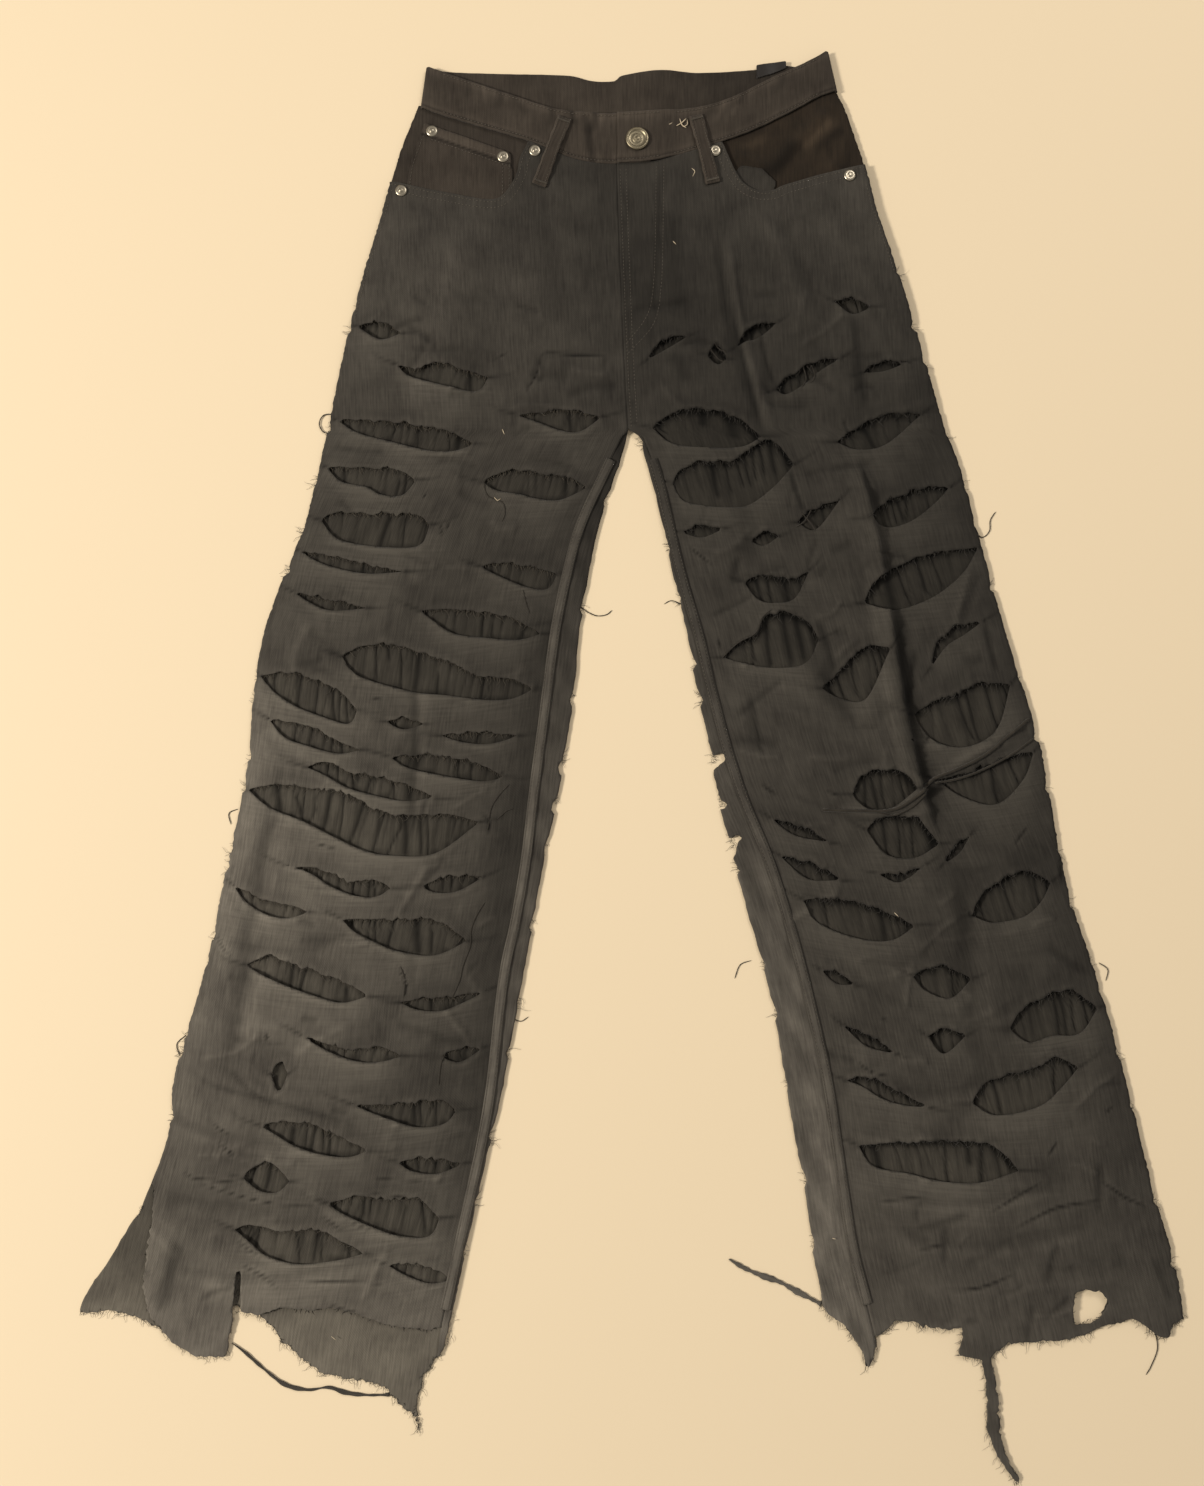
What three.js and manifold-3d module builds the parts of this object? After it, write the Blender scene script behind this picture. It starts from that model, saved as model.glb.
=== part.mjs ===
// Wide-leg five-pocket jeans, ripped across both legs and laid flat on their back.
// Millimetres: +X to the right, +Y towards the waist, +Z up from the surface they lie on.
// Points are measured on the flat garment from a spot on the floor between the knees, and
// the whole is moved at the end, so that its origin is under the middle of its outline.
// Right and left are the wearer's, so the right leg has the smaller x.

import * as THREE from 'three';
import { mergeVertices } from 'three/addons/utils/BufferGeometryUtils.js';
import Module from 'manifold-3d';

const wasm = await Module();
wasm.setup();

// Driving dimensions
const GAP = 0.3;                 // clearance between pieces at seams and between layers
const FRONT_CLOTH = 1.5;         // wall of the front panels
const BACK_CLOTH = 1.3;          // wall of the back panels
const BAG_CLOTH = 1.0;           // pocket facings, pocket bag and coin pocket
const BAND_CLOTH = 2.0;          // waistband, two layers of denim
const LOOP_CLOTH = 1.6;
const FOLD_RADIUS = 0.85;        // middle of the back panel's wall where it rolls over the edge
const BAND_FOLD_RADIUS = 2.2;    // middle of the waistband's wall at its side folds
const RIVET_RADIUS = 5.5;
const BUTTON_RADIUS = 11;
const LOOP_WIDTH = 14;
const SEAM_RIDGE_WIDTH = 9;
const CROTCH_Y = 287;
const TEAR_JAG = 0.9;            // how far the frayed upper lip of a rip wanders

// Heights above the floor
const BACK_TOP = BACK_CLOTH;
const ROLL_TOP = BACK_CLOTH + 2 * FOLD_RADIUS;
const FACING_FLOOR = BAND_CLOTH + GAP;
const FACING_TOP = FACING_FLOOR + BAG_CLOTH;
const COIN_FLOOR = FACING_TOP + GAP;
const COIN_TOP = COIN_FLOOR + BAG_CLOTH;
const POCKET_FLOOR = COIN_TOP + GAP;       // underside of the fronts round the pockets
const SEAM_FLOOR = BACK_TOP + 0.4;         // underside of the fronts at the inseam and side seam
const BAND_BACK_MIDDLE = BAND_CLOTH / 2;
const BAND_FRONT_MIDDLE = BAND_BACK_MIDDLE + 2 * BAND_FOLD_RADIUS;
const BAND_TOP = BAND_FRONT_MIDDLE + BAND_CLOTH / 2;
const BAND_OVERLAP_MIDDLE = BAND_FRONT_MIDDLE + BAND_CLOTH + GAP;

// Colours of the solids, from the photo
const DENIM = { color: 0x4a453c, roughness: 0.9, metalness: 0 };
const DENIM_INSIDE = { color: 0x5a5349, roughness: 0.95, metalness: 0 };
const POCKET_CLOTH = { color: 0x2a2219, roughness: 0.9, metalness: 0 };
const LABEL_CLOTH = { color: 0x151210, roughness: 0.8, metalness: 0 };
const NICKEL = { color: 0xb5ae9e, roughness: 0.35, metalness: 1 };

// Curves through hand-set knots

// A smooth function of y through knots [y, value], listed from the waist down.
function along(knots) {
  const last = knots.length - 1;
  const slope = (i) => {
    const a = knots[Math.max(i - 1, 0)];
    const b = knots[Math.min(i + 1, last)];
    return (b[1] - a[1]) / (b[0] - a[0]);
  };
  return (y) => {
    if (y >= knots[0][0]) return knots[0][1];
    if (y <= knots[last][0]) return knots[last][1];
    const i = knots.findIndex((knot, k) => k < last && y > knots[k + 1][0]);
    const [y0, v0] = knots[i];
    const [y1, v1] = knots[i + 1];
    const t = (y - y0) / (y1 - y0);
    const span = y1 - y0;
    return (2 * t ** 3 - 3 * t ** 2 + 1) * v0 + (t ** 3 - 2 * t ** 2 + t) * span * slope(i)
      + (3 * t ** 2 - 2 * t ** 3) * v1 + (t ** 3 - t ** 2) * span * slope(i + 1);
  };
}

// 0 below low, 1 above high, smooth between; low may be the larger number.
function rise(low, high, value) {
  const t = THREE.MathUtils.clamp((value - low) / (high - low), 0, 1);
  return t * t * (3 - 2 * t);
}

// 1 between the two heights of y, fading out over fade millimetres beyond them.
function windowOf(y, top, bottom, fade) {
  return rise(bottom - fade, bottom, y) * rise(top + fade, top, y);
}

// Edges of the legs
const rightOuter = along([[640, -168], [599, -173], [550, -192], [500, -205], [400, -232], [300, -252],
  [250, -262], [200, -274], [150, -293], [100, -309], [50, -317], [0, -320], [-50, -326], [-100, -336],
  [-200, -355], [-300, -381], [-350, -385], [-400, -403], [-450, -430], [-500, -459], [-660, -470]]);
const rightInner = along([[300, 24], [287, 24], [250, 13], [200, -3], [150, -13], [100, -21], [50, -25],
  [0, -32], [-50, -40], [-100, -51], [-200, -69], [-300, -87], [-400, -109], [-500, -131], [-540, -140],
  [-660, -160]]);
const leftInner = along([[300, 30], [285, 33], [250, 44], [200, 56], [150, 66], [100, 78], [50, 86],
  [0, 97], [-50, 105], [-100, 117], [-150, 130], [-200, 144], [-250, 155], [-300, 163], [-350, 171],
  [-400, 180], [-450, 186], [-490, 193], [-660, 205]]);
const leftOuter = along([[640, 218], [605, 228], [550, 245], [500, 257], [450, 273], [400, 288], [300, 315],
  [250, 332], [200, 344], [100, 369], [0, 397], [-100, 413], [-150, 424], [-200, 440], [-300, 466],
  [-400, 488], [-450, 502], [-500, 510], [-660, 520]]);

// Centre seam from the waistband to the crotch, and the inseams on top of the legs
const centreSeam = along([[600, 13.5], [545, 14], [450, 17], [350, 21], [287, 24.5]]);
const rightInseam = along([[287, 20], [270, 12], [250, 2], [200, -20], [150, -33], [100, -43], [50, -50],
  [0, -56], [-50, -62], [-100, -68], [-160, -78], [-205, -87], [-300, -98], [-350, -106], [-400, -116],
  [-470, -131], [-520, -142], [-560, -147], [-660, -162]]);
const leftInseam = along([[287, 37], [250, 50], [200, 62], [150, 74], [100, 88], [50, 99], [0, 112],
  [-50, 128], [-100, 148], [-150, 164], [-200, 178], [-250, 190], [-300, 200], [-350, 207], [-400, 214],
  [-450, 222], [-500, 234], [-540, 242], [-660, 250]]);

// Long folds that run down the legs
const rightHipFold = along([[560, -100], [400, -150], [250, -182], [80, -172], [-100, -176], [-300, -185],
  [-470, -215], [-660, -240]]);
const rightOuterGroove = along([[560, -148], [450, -186], [300, -222], [100, -268], [-40, -290], [-150, -311],
  [-310, -336], [-400, -362], [-500, -378], [-660, -390]]);
const leftThighFold = along([[560, 104], [500, 110], [440, 114], [400, 118], [365, 126], [330, 137],
  [290, 149], [275, 153], [200, 162], [100, 178], [0, 196], [-100, 212], [-200, 232], [-300, 252],
  [-400, 268], [-500, 285], [-660, 300]]);
const leftPleat = along([[560, 213], [500, 222], [440, 228], [360, 234], [300, 234], [270, 234], [240, 240],
  [215, 247], [170, 255], [120, 262], [60, 270], [20, 275], [-40, 286], [-95, 306], [-140, 320],
  [-250, 330], [-400, 350], [-500, 370], [-660, 390]]);

// Rips: [left tip], [right tip], [points along the lower lip], [points along the upper lip]
const RIGHT_LEG_RIPS = [
  [[-228, 388], [-185, 381], [[-206, 375]], [[-205, 392]]],
  [[-190, 351], [-105, 339], [[-178, 340], [-148, 332], [-116, 326]],
    [[-172, 348], [-150, 353], [-125, 346]]],
  [[-246, 300], [-118, 276], [[-226, 287], [-197, 279], [-165, 271], [-138, 269]],
    [[-205, 298], [-165, 293], [-138, 287]]],
  [[-80, 304], [0, 302], [[-60, 297], [-38, 289], [-20, 288]], [[-58, 306], [-30, 308]]],
  [[-254, 255], [-171, 242], [[-240, 241], [-217, 236], [-204, 229], [-184, 228]],
    [[-220, 254], [-190, 253]]],
  [[-110, 241], [-13, 236], [[-98, 233], [-75, 229], [-60, 225], [-38, 224]],
    [[-98, 247], [-80, 252], [-50, 247], [-30, 245]]],
  [[-258, 205], [-158, 200], [[-248, 192], [-236, 185], [-202, 180], [-168, 181]],
    [[-245, 212], [-205, 211], [-170, 210]]],
  [[-278, 177], [-180, 157], [[-260, 166], [-238, 159], [-212, 155]], [[-250, 172], [-212, 163]]],
  [[-112, 162], [-41, 155], [[-103, 157], [-90, 151], [-70, 143], [-50, 141]], [[-90, 165], [-60, 161]]],
  [[-283, 139], [-214, 123], [[-268, 129], [-248, 121]], [[-262, 134], [-235, 129]]],
  [[-166, 121], [-55, 100], [[-156, 113], [-136, 100], [-108, 96], [-76, 94]],
    [[-140, 122], [-105, 119], [-80, 113]]],
  [[-237, 79], [-62, 49], [[-229, 67], [-215, 58], [-171, 46], [-140, 43], [-108, 39], [-82, 40]],
    [[-222, 87], [-195, 90], [-168, 83], [-140, 74], [-112, 61], [-82, 58]]],
  [[-311, 61], [-222, 29], [[-300, 48], [-280, 34], [-255, 24], [-230, 17]],
    [[-288, 64], [-257, 56], [-236, 45]]],
  [[-303, 22], [-218, -7], [[-288, 5], [-270, -2], [-240, -10]], [[-278, 18], [-262, 14], [-240, 2]]],
  [[-196, 19], [-160, 17], [[-180, 12]], [[-180, 23]]],
  [[-146, 6], [-76, 6], [[-124, 0], [-100, -1]], [[-130, 9], [-100, 9]]],
  [[-192, -13], [-88, -31], [[-178, -22], [-155, -28], [-120, -34], [-103, -35]],
    [[-171, -11], [-145, -12], [-115, -18]]],
  [[-268, -22], [-150, -50], [[-250, -30], [-230, -41], [-205, -48], [-178, -53]],
    [[-248, -18], [-225, -28], [-205, -30], [-178, -38]]],
  [[-321, -42], [-110, -72],
    [[-300, -59], [-270, -71], [-240, -86], [-213, -98], [-188, -102], [-150, -100]],
    [[-290, -38], [-260, -42], [-232, -45], [-205, -60], [-178, -66], [-140, -65]]],
  [[-286, -110], [-189, -131], [[-262, -118], [-245, -129], [-222, -138], [-203, -139]],
    [[-252, -115], [-225, -125], [-205, -124]]],
  [[-162, -130], [-106, -121], [[-150, -135], [-130, -134]], [[-148, -123], [-128, -120]]],
  [[-332, -128], [-263, -153], [[-318, -145], [-300, -155], [-282, -158]], [[-305, -141], [-280, -146]]],
  [[-233, -159], [-120, -178], [[-222, -170], [-204, -179], [-184, -187], [-150, -191]],
    [[-195, -159], [-150, -160]]],
  [[-319, -200], [-208, -227], [[-300, -210], [-282, -218], [-256, -227], [-232, -233]],
    [[-298, -191], [-278, -198], [-252, -207], [-228, -216]]],
  [[-180, -233], [-102, -222], [[-165, -239], [-143, -240], [-122, -232]], [[-160, -229], [-130, -227]]],
  [[-268, -261], [-178, -280], [[-245, -275], [-220, -284], [-198, -285]],
    [[-248, -268], [-222, -274], [-196, -272]]],
  [[-143, -281], [-106, -273], [[-126, -285]], [[-130, -273]]],
  [[-294, -296], [-279, -296], [[-287, -311]], [[-286, -283]]],
  [[-224, -321], [-129, -328], [[-205, -329], [-185, -336], [-163, -342], [-140, -339]],
    [[-200, -323], [-168, -320], [-142, -319]]],
  [[-302, -341], [-206, -362], [[-288, -349], [-275, -357], [-250, -365], [-225, -368]],
    [[-285, -337], [-255, -340], [-238, -348]]],
  [[-181, -372], [-122, -374], [[-168, -380], [-145, -382]], [[-165, -369], [-145, -369]]],
  [[-317, -386], [-276, -389], [[-302, -397], [-286, -398]], [[-308, -377], [-290, -374]]],
  [[-242, -408], [-143, -421], [[-228, -417], [-200, -429], [-176, -436], [-152, -436]],
    [[-216, -402], [-190, -404], [-163, -404]]],
  [[-324, -430], [-208, -451], [[-309, -442], [-295, -453], [-268, -460], [-234, -457]],
    [[-308, -426], [-280, -432], [-250, -430], [-228, -441]]],
  [[-190, -460], [-132, -474], [[-172, -470], [-150, -477]], [[-165, -460], [-148, -464]]],
];
const LEFT_LEG_RIPS = [
  [[42, 356], [80, 378], [[62, 367]], [[50, 368], [63, 377]]],
  [[97, 360], [116, 357], [[107, 351]], [[106, 370]]],
  [[124, 368], [163, 391], [[146, 377]], [[138, 386]]],
  [[161, 328], [221, 357], [[170, 323], [186, 332], [203, 346]], [[170, 338], [188, 349], [205, 355]]],
  [[216, 411], [250, 405], [[232, 399]], [[232, 413]]],
  [[241, 343], [284, 354], [[262, 345]], [[256, 353]]],
  [[46, 292], [147, 283], [[65, 277], [98, 273], [130, 274]],
    [[60, 302], [80, 309], [105, 307], [125, 301]]],
  [[216, 278], [296, 305], [[236, 271], [262, 276]], [[235, 291], [262, 303]]],
  [[65, 240], [177, 257], [[74, 224], [92, 219], [114, 217], [135, 219], [158, 236]],
    [[72, 251], [92, 260], [118, 260], [140, 274], [158, 279]]],
  [[179, 203], [219, 224], [[196, 196]], [[192, 214]]],
  [[246, 207], [321, 236], [[262, 198], [284, 204], [304, 219]], [[256, 219], [275, 228], [298, 235]]],
  [[72, 194], [112, 197], [[92, 189]], [[92, 200]]],
  [[135, 186], [163, 190], [[148, 181]], [[150, 194]]],
  [[239, 128], [346, 180], [[265, 121], [300, 132], [329, 154]], [[250, 148], [275, 164], [302, 173]]],
  [[130, 147], [190, 158], [[143, 131], [160, 128], [177, 133]], [[140, 153], [158, 153], [175, 150]]],
  [[199, 50], [262, 86], [[215, 41], [240, 40]], [[212, 60], [225, 75], [243, 88]]],
  [[110, 78], [198, 94], [[135, 71], [162, 68], [186, 73]],
    [[125, 91], [141, 100], [149, 115], [168, 119], [188, 110]]],
  [[299, 68], [349, 112], [[314, 88], [331, 99]], [[306, 92], [322, 105]]],
  [[282, 25], [372, 53], [[300, 2], [330, -4], [358, 12]], [[303, 38], [322, 44], [343, 54]]],
  [[226, -48], [284, -42], [[240, -60], [262, -59]], [[237, -28], [270, -26]]],
  [[303, -34], [392, -8], [[325, -49], [356, -56], [381, -34]], [[335, -26], [368, -13]]],
  [[238, -79], [304, -92], [[256, -101], [282, -104]], [[252, -68], [282, -68]]],
  [[152, -68], [206, -90], [[174, -84]], [[182, -77]]],
  [[247, -118], [292, -110], [[268, -126]], [[270, -118]]],
  [[307, -110], [332, -84], [[322, -100]], [[317, -94]]],
  [[160, -102], [216, -124], [[185, -123]], [[192, -110]]],
  [[332, -156], [404, -126], [[350, -162], [378, -157], [394, -144]],
    [[338, -141], [354, -127], [381, -116]]],
  [[181, -142], [281, -165], [[190, -159], [212, -171], [240, -178], [262, -177]],
    [[205, -140], [245, -149]]],
  [[277, -209], [331, -212], [[290, -223], [312, -229]], [[302, -200]]],
  [[196, -204], [226, -217], [[209, -216]], [[212, -206]]],
  [[363, -256], [443, -238], [[380, -268], [402, -262], [426, -260]],
    [[372, -241], [392, -229], [418, -222]]],
  [[214, -252], [262, -278], [[235, -271]], [[240, -263]]],
  [[290, -262], [325, -262], [[304, -278]], [[306, -255]]],
  [[327, -321], [424, -290], [[350, -332], [388, -324], [408, -308]],
    [[337, -307], [352, -299], [385, -290], [405, -281]]],
  [[216, -301], [291, -325], [[232, -307], [248, -317], [268, -323]],
    [[235, -298], [256, -307], [275, -317]]],
  [[227, -358], [369, -380], [[240, -376], [270, -382], [300, -389], [335, -390]],
    [[262, -355], [322, -354], [350, -361]]],
];

// Outlines of the front panels, from the waistband round the leg
const POCKET_EDGE_RIGHT = [[-70, 564], [-77, 550], [-80, 535], [-88, 520], [-98, 511], [-115, 511],
  [-147, 517], [-188, 526], [-198, 527]];
const POCKET_EDGE_LEFT = [[113, 566], [119, 552], [125, 538], [133, 526], [146, 519], [160, 519],
  [174, 525], [232, 541], [247, 544]];
const FRONT_HEM_RIGHT = [[-146, -515], [-152, -517], [-180, -514], [-210, -505], [-237, -497], [-255, -500],
  [-280, -497], [-300, -503], [-318.5, -501], [-318.5, -467], [-320.5, -467], [-323, -500], [-327, -524],
  [-330, -540], [-355, -540], [-372, -530], [-380, -524], [-396, -505], [-404, -480], [-400, -450],
  [-396, -420], [-396, -392]];
const FRONT_HEM_LEFT = [[241, -522], [250, -517], [257, -508], [275, -511], [300, -516], [316, -515],
  [313, -538], [325, -541], [333, -543], [336, -560], [337, -582], [336, -602], [344, -622], [360, -646],
  [364, -645], [352, -622], [346, -604], [347, -585], [344, -560], [341, -540], [353, -530], [370, -527],
  [403, -526], [425, -520], [445, -512], [465, -507], [475, -512], [490, -523], [497, -524], [500, -513],
  [509, -508]];
const BACK_HEM_RIGHT = [[-131, -500], [-133, -520], [-140, -535], [-151, -549], [-158, -560], [-162, -582],
  [-160, -606], [-165, -588], [-178, -580], [-190, -566], [-205, -561], [-230, -558], [-247, -553],
  [-265, -541], [-280, -527], [-290, -515], [-300, -505], [-312, -499], [-325, -497], [-345, -512],
  [-372, -516], [-385, -519], [-401, -509], [-430, -501], [-459, -503]];
const BACK_HEM_LEFT = [[193, -492], [197, -503], [212, -512], [222, -524], [229, -537], [232, -549],
  [237, -545], [240, -535], [241, -520], [258, -504], [300, -508], [335, -518], [380, -517], [420, -511],
  [445, -503], [465, -498], [485, -510], [497, -516], [509, -500]];
const HEM_HOLE = [[413, -500], [415, -485], [425, -482], [436, -484], [446, -493], [438, -506], [428, -512],
  [415, -513]];

// Closed meshes and cuts

// A closed wall between a grid of top points and a grid of bottom points.
function wallGeometry(top, bottom) {
  const rows = top.length;
  const columns = top[0].length;
  const points = [...top.flat(), ...bottom.flat()];
  const id = (i, j, layer) => layer * rows * columns + i * columns + j;
  const index = [];
  const quad = (a, b, c, d) => index.push(a, b, c, a, c, d);
  for (let i = 0; i < rows - 1; i++) {
    for (let j = 0; j < columns - 1; j++) {
      quad(id(i, j, 0), id(i + 1, j, 0), id(i + 1, j + 1, 0), id(i, j + 1, 0));
      quad(id(i, j, 1), id(i, j + 1, 1), id(i + 1, j + 1, 1), id(i + 1, j, 1));
    }
  }
  const edge = [];
  for (let j = 0; j < columns - 1; j++) edge.push([0, j]);
  for (let i = 0; i < rows - 1; i++) edge.push([i, columns - 1]);
  for (let j = columns - 1; j > 0; j--) edge.push([rows - 1, j]);
  for (let i = rows - 1; i > 0; i--) edge.push([i, 0]);
  edge.forEach(([i, j], k) => {
    const [ni, nj] = edge[(k + 1) % edge.length];
    quad(id(i, j, 0), id(ni, nj, 0), id(ni, nj, 1), id(i, j, 1));
  });
  const geometry = new THREE.BufferGeometry().setFromPoints(points);
  geometry.setIndex(signedVolume(points, index) < 0 ? index.toReversed() : index);
  return geometry;
}

// Positive when the triangles face outwards.
function signedVolume(points, index) {
  let volume = 0;
  for (let k = 0; k < index.length; k += 3) {
    const [a, b, c] = [points[index[k]], points[index[k + 1]], points[index[k + 2]]];
    volume += a.dot(new THREE.Vector3().crossVectors(b, c)) / 6;
  }
  return volume;
}

function solidOf(geometry) {
  geometry.deleteAttribute('normal');
  geometry.deleteAttribute('uv');
  const merged = mergeVertices(geometry, 1e-4);
  const vertProperties = new Float32Array(merged.attributes.position.array);
  const triVerts = new Uint32Array(merged.index.array);
  return new wasm.Manifold(new wasm.Mesh({ numProp: 3, vertProperties, triVerts }));
}

function geometryOf(solid) {
  const { vertProperties, triVerts } = solid.getMesh();
  const geometry = new THREE.BufferGeometry();
  geometry.setAttribute('position', new THREE.BufferAttribute(new Float32Array(vertProperties), 3));
  geometry.setIndex(new THREE.BufferAttribute(new Uint32Array(triVerts), 1));
  return geometry;
}

// A straight-sided block over an outline of [x, y] points, tall enough to cut through everything.
function block(outline, low = -5, high = 30) {
  const shape = new THREE.Shape(outline.map(([x, y]) => new THREE.Vector2(x, y)));
  const geometry = new THREE.ExtrudeGeometry(shape, { depth: high - low, bevelEnabled: false });
  geometry.translate(0, 0, low);
  return solidOf(geometry);
}

// The outline of a rip: a clean sagging lower lip, and an upper lip with a frayed, jagged edge.
function ripOutline([left, right, lower, upper]) {
  const spline = (points) => new THREE.SplineCurve(points.map(([x, y]) => new THREE.Vector2(x, y)));
  const lowerLip = spline([left, ...lower, right]).getPoints(lower.length + 3);
  const upperLip = spline([right, ...upper.toReversed(), left]).getPoints(upper.length + 2);
  const frayed = upperLip.slice(1, -1).map((p, i) => [p.x, p.y + (i % 2 ? TEAR_JAG : -TEAR_JAG)]);
  return [...lowerLip.map((p) => [p.x, p.y]), ...frayed];
}

// Trims a wall to its outline and cuts its holes through.
function cutPanel(wall, outline, holes) {
  const trimmed = solidOf(wall).intersect(block(outline));
  return geometryOf(holes.reduce((panel, hole) => panel.subtract(block(hole)), trimmed));
}

// A flat-laid wall: columns are functions x(y), and underside(x, y, column) is its lower face.
function layWall(columns, rows, underside, thickness) {
  const bottom = rows.map((y) => columns.map((x, j) => new THREE.Vector3(x(y), y, underside(x(y), y, j))));
  const top = bottom.map((row) => row.map((p) => p.clone().setZ(p.z + thickness)));
  return wallGeometry(top, bottom);
}

// A wall carried along a path of { x, z, nx, nz } points in each row, half its thickness either side.
function foldWall(rows, thickness) {
  const side = (sign) => rows.map((row) => row.map(({ x, y, z, nx, nz }) => new THREE.Vector3(
    x + sign * nx * thickness / 2,
    y,
    z + sign * nz * thickness / 2,
  )));
  return wallGeometry(side(1), side(-1));
}

// Heights of y at which front, back and ridge all take a point, so that their joint stays parallel
const INSEAM_STATIONS = [284, 270, 240, 200, 160, 120, 80, 40, 0, -40, -80, -120, -160, -200, -240, -280,
  -320, -360, -400, -440, -480];

const between = (a, b, t) => (y) => a(y) + (b(y) - a(y)) * t;
const offset = (a, distance) => (y) => a(y) + distance;
const stationPoints = (edge, shift) => INSEAM_STATIONS.map((y) => [edge(y) + shift, y]);
const edgePoints = (edge, from, to, step, shift = 0) => {
  const count = Math.round(Math.abs(to - from) / step);
  return Array.from({ length: count + 1 }, (_, i) => {
    const y = THREE.MathUtils.lerp(from, to, i / count);
    return [edge(y) + shift, y];
  });
};

// Back panels: flat on the floor, then rolled over the inner edge of the leg up to the inseam

function backPanel({ outer, inner, inseam, inward, outline, holes }) {
  const rowHeights = [596, 530, 460, 390, 330, 300, ...INSEAM_STATIONS, -520, -560, -612];
  const flatShares = [0, 0.45, 0.9];
  const foldTurns = [0, 0.3, 0.7, 1];
  const rows = rowHeights.map((y) => {
    const onLeg = y < CROTCH_Y;
    const edge = onLeg ? inner(y) : centreSeam(y) + inward * GAP / 2;
    const wallEdge = edge + inward * (BACK_CLOTH / 2 + FOLD_RADIUS);
    const seam = onLeg ? inseam(y) - inward * GAP / 2 : edge + inward * 6;
    const rollEnd = inward * (seam - wallEdge) > 2 ? seam : wallEdge + inward * 2;
    const flat = flatShares.map((t) => ({ x: THREE.MathUtils.lerp(outer(y), wallEdge, t), z: 0, turn: 0 }));
    const fold = foldTurns.map((t) => ({ x: wallEdge, z: 0, turn: t }));
    const roll = [{ x: rollEnd, z: 0, turn: 1 }];
    return [...flat, ...fold, ...roll].map(({ x, turn }) => {
      const angle = Math.PI * turn;
      return {
        x: x - inward * FOLD_RADIUS * Math.sin(angle),
        y,
        z: BACK_CLOTH / 2 + FOLD_RADIUS * (1 - Math.cos(angle)),
        nx: inward * Math.sin(angle),
        nz: Math.cos(angle),
      };
    });
  });
  return cutPanel(foldWall(rows, BACK_CLOTH), outline, holes);
}

// Front panels: low at their seams, lifted over the pockets, with the main folds on their own columns

const FRONT_ROWS = [568, 525, 500, 470, 440, 405, 370, 335, 300, 284, 262, 230, 196, 162, 128, 94, 60, 26,
  -8, -42, -76, -110, -144, -180, -220, -262, -304, -346, -388, -430, -472, -521, -534, -548, -600, -650];

// Height of the underside at a seam edge: over the pockets and centre seam, then down on the back panel,
// and on the floor where the hem hangs past the back.
function seamFloor(y) {
  const lifted = THREE.MathUtils.lerp(SEAM_FLOOR, POCKET_FLOOR, rise(250, 500, y));
  return THREE.MathUtils.lerp(lifted, 0.1, rise(-521, -548, y));
}

function centreFloor(y) {
  return Math.max(seamFloor(y), THREE.MathUtils.lerp(SEAM_FLOOR, ROLL_TOP + GAP, rise(262, 284, y)));
}

function body(y, height) {
  return seamFloor(y) + height * rise(-521, -440, y) * rise(525, 440, y);
}

const RIGHT_COLUMNS = [
  offset(rightOuter, -1),
  offset(rightOuter, 4),
  offset(rightOuter, 14),
  offset(rightOuterGroove, -13),
  rightOuterGroove,
  offset(rightOuterGroove, 13),
  between(rightOuterGroove, rightHipFold, 0.6),
  offset(rightHipFold, -14),
  rightHipFold,
  offset(rightHipFold, 14),
  between(rightHipFold, rightInseam, 0.5),
  (y) => (y < CROTCH_Y ? rightInseam(y) : centreSeam(y)) - 20,
  (y) => (y < CROTCH_Y ? rightInseam(y) : centreSeam(y)) - 6,
  (y) => (y < CROTCH_Y ? rightInseam(y) : centreSeam(y)) + 1,
];
const RIGHT_HEIGHTS = [
  (y) => seamFloor(y),
  (y) => body(y, 0.6),
  (y) => body(y, 1.8),
  (y) => body(y, 2.6 + 1.2 * windowOf(y, -60, -300, 40)),
  (y) => body(y, 2.4 - 2.0 * windowOf(y, -60, -300, 40)),
  (y) => body(y, 2.6 + 1.0 * windowOf(y, -60, -300, 40)),
  (y) => body(y, 2.4),
  (y) => body(y, 2.4 + 1.0 * windowOf(y, 70, -90, 40)),
  (y) => body(y, 2.2 - 1.6 * windowOf(y, 70, -90, 40)),
  (y) => body(y, 2.4 + 0.8 * windowOf(y, 70, -90, 40)),
  (y) => body(y, 2.4),
  (y) => Math.max(body(y, 1.6), centreFloor(y)),
  (y) => centreFloor(y),
  (y) => centreFloor(y),
];

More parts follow.
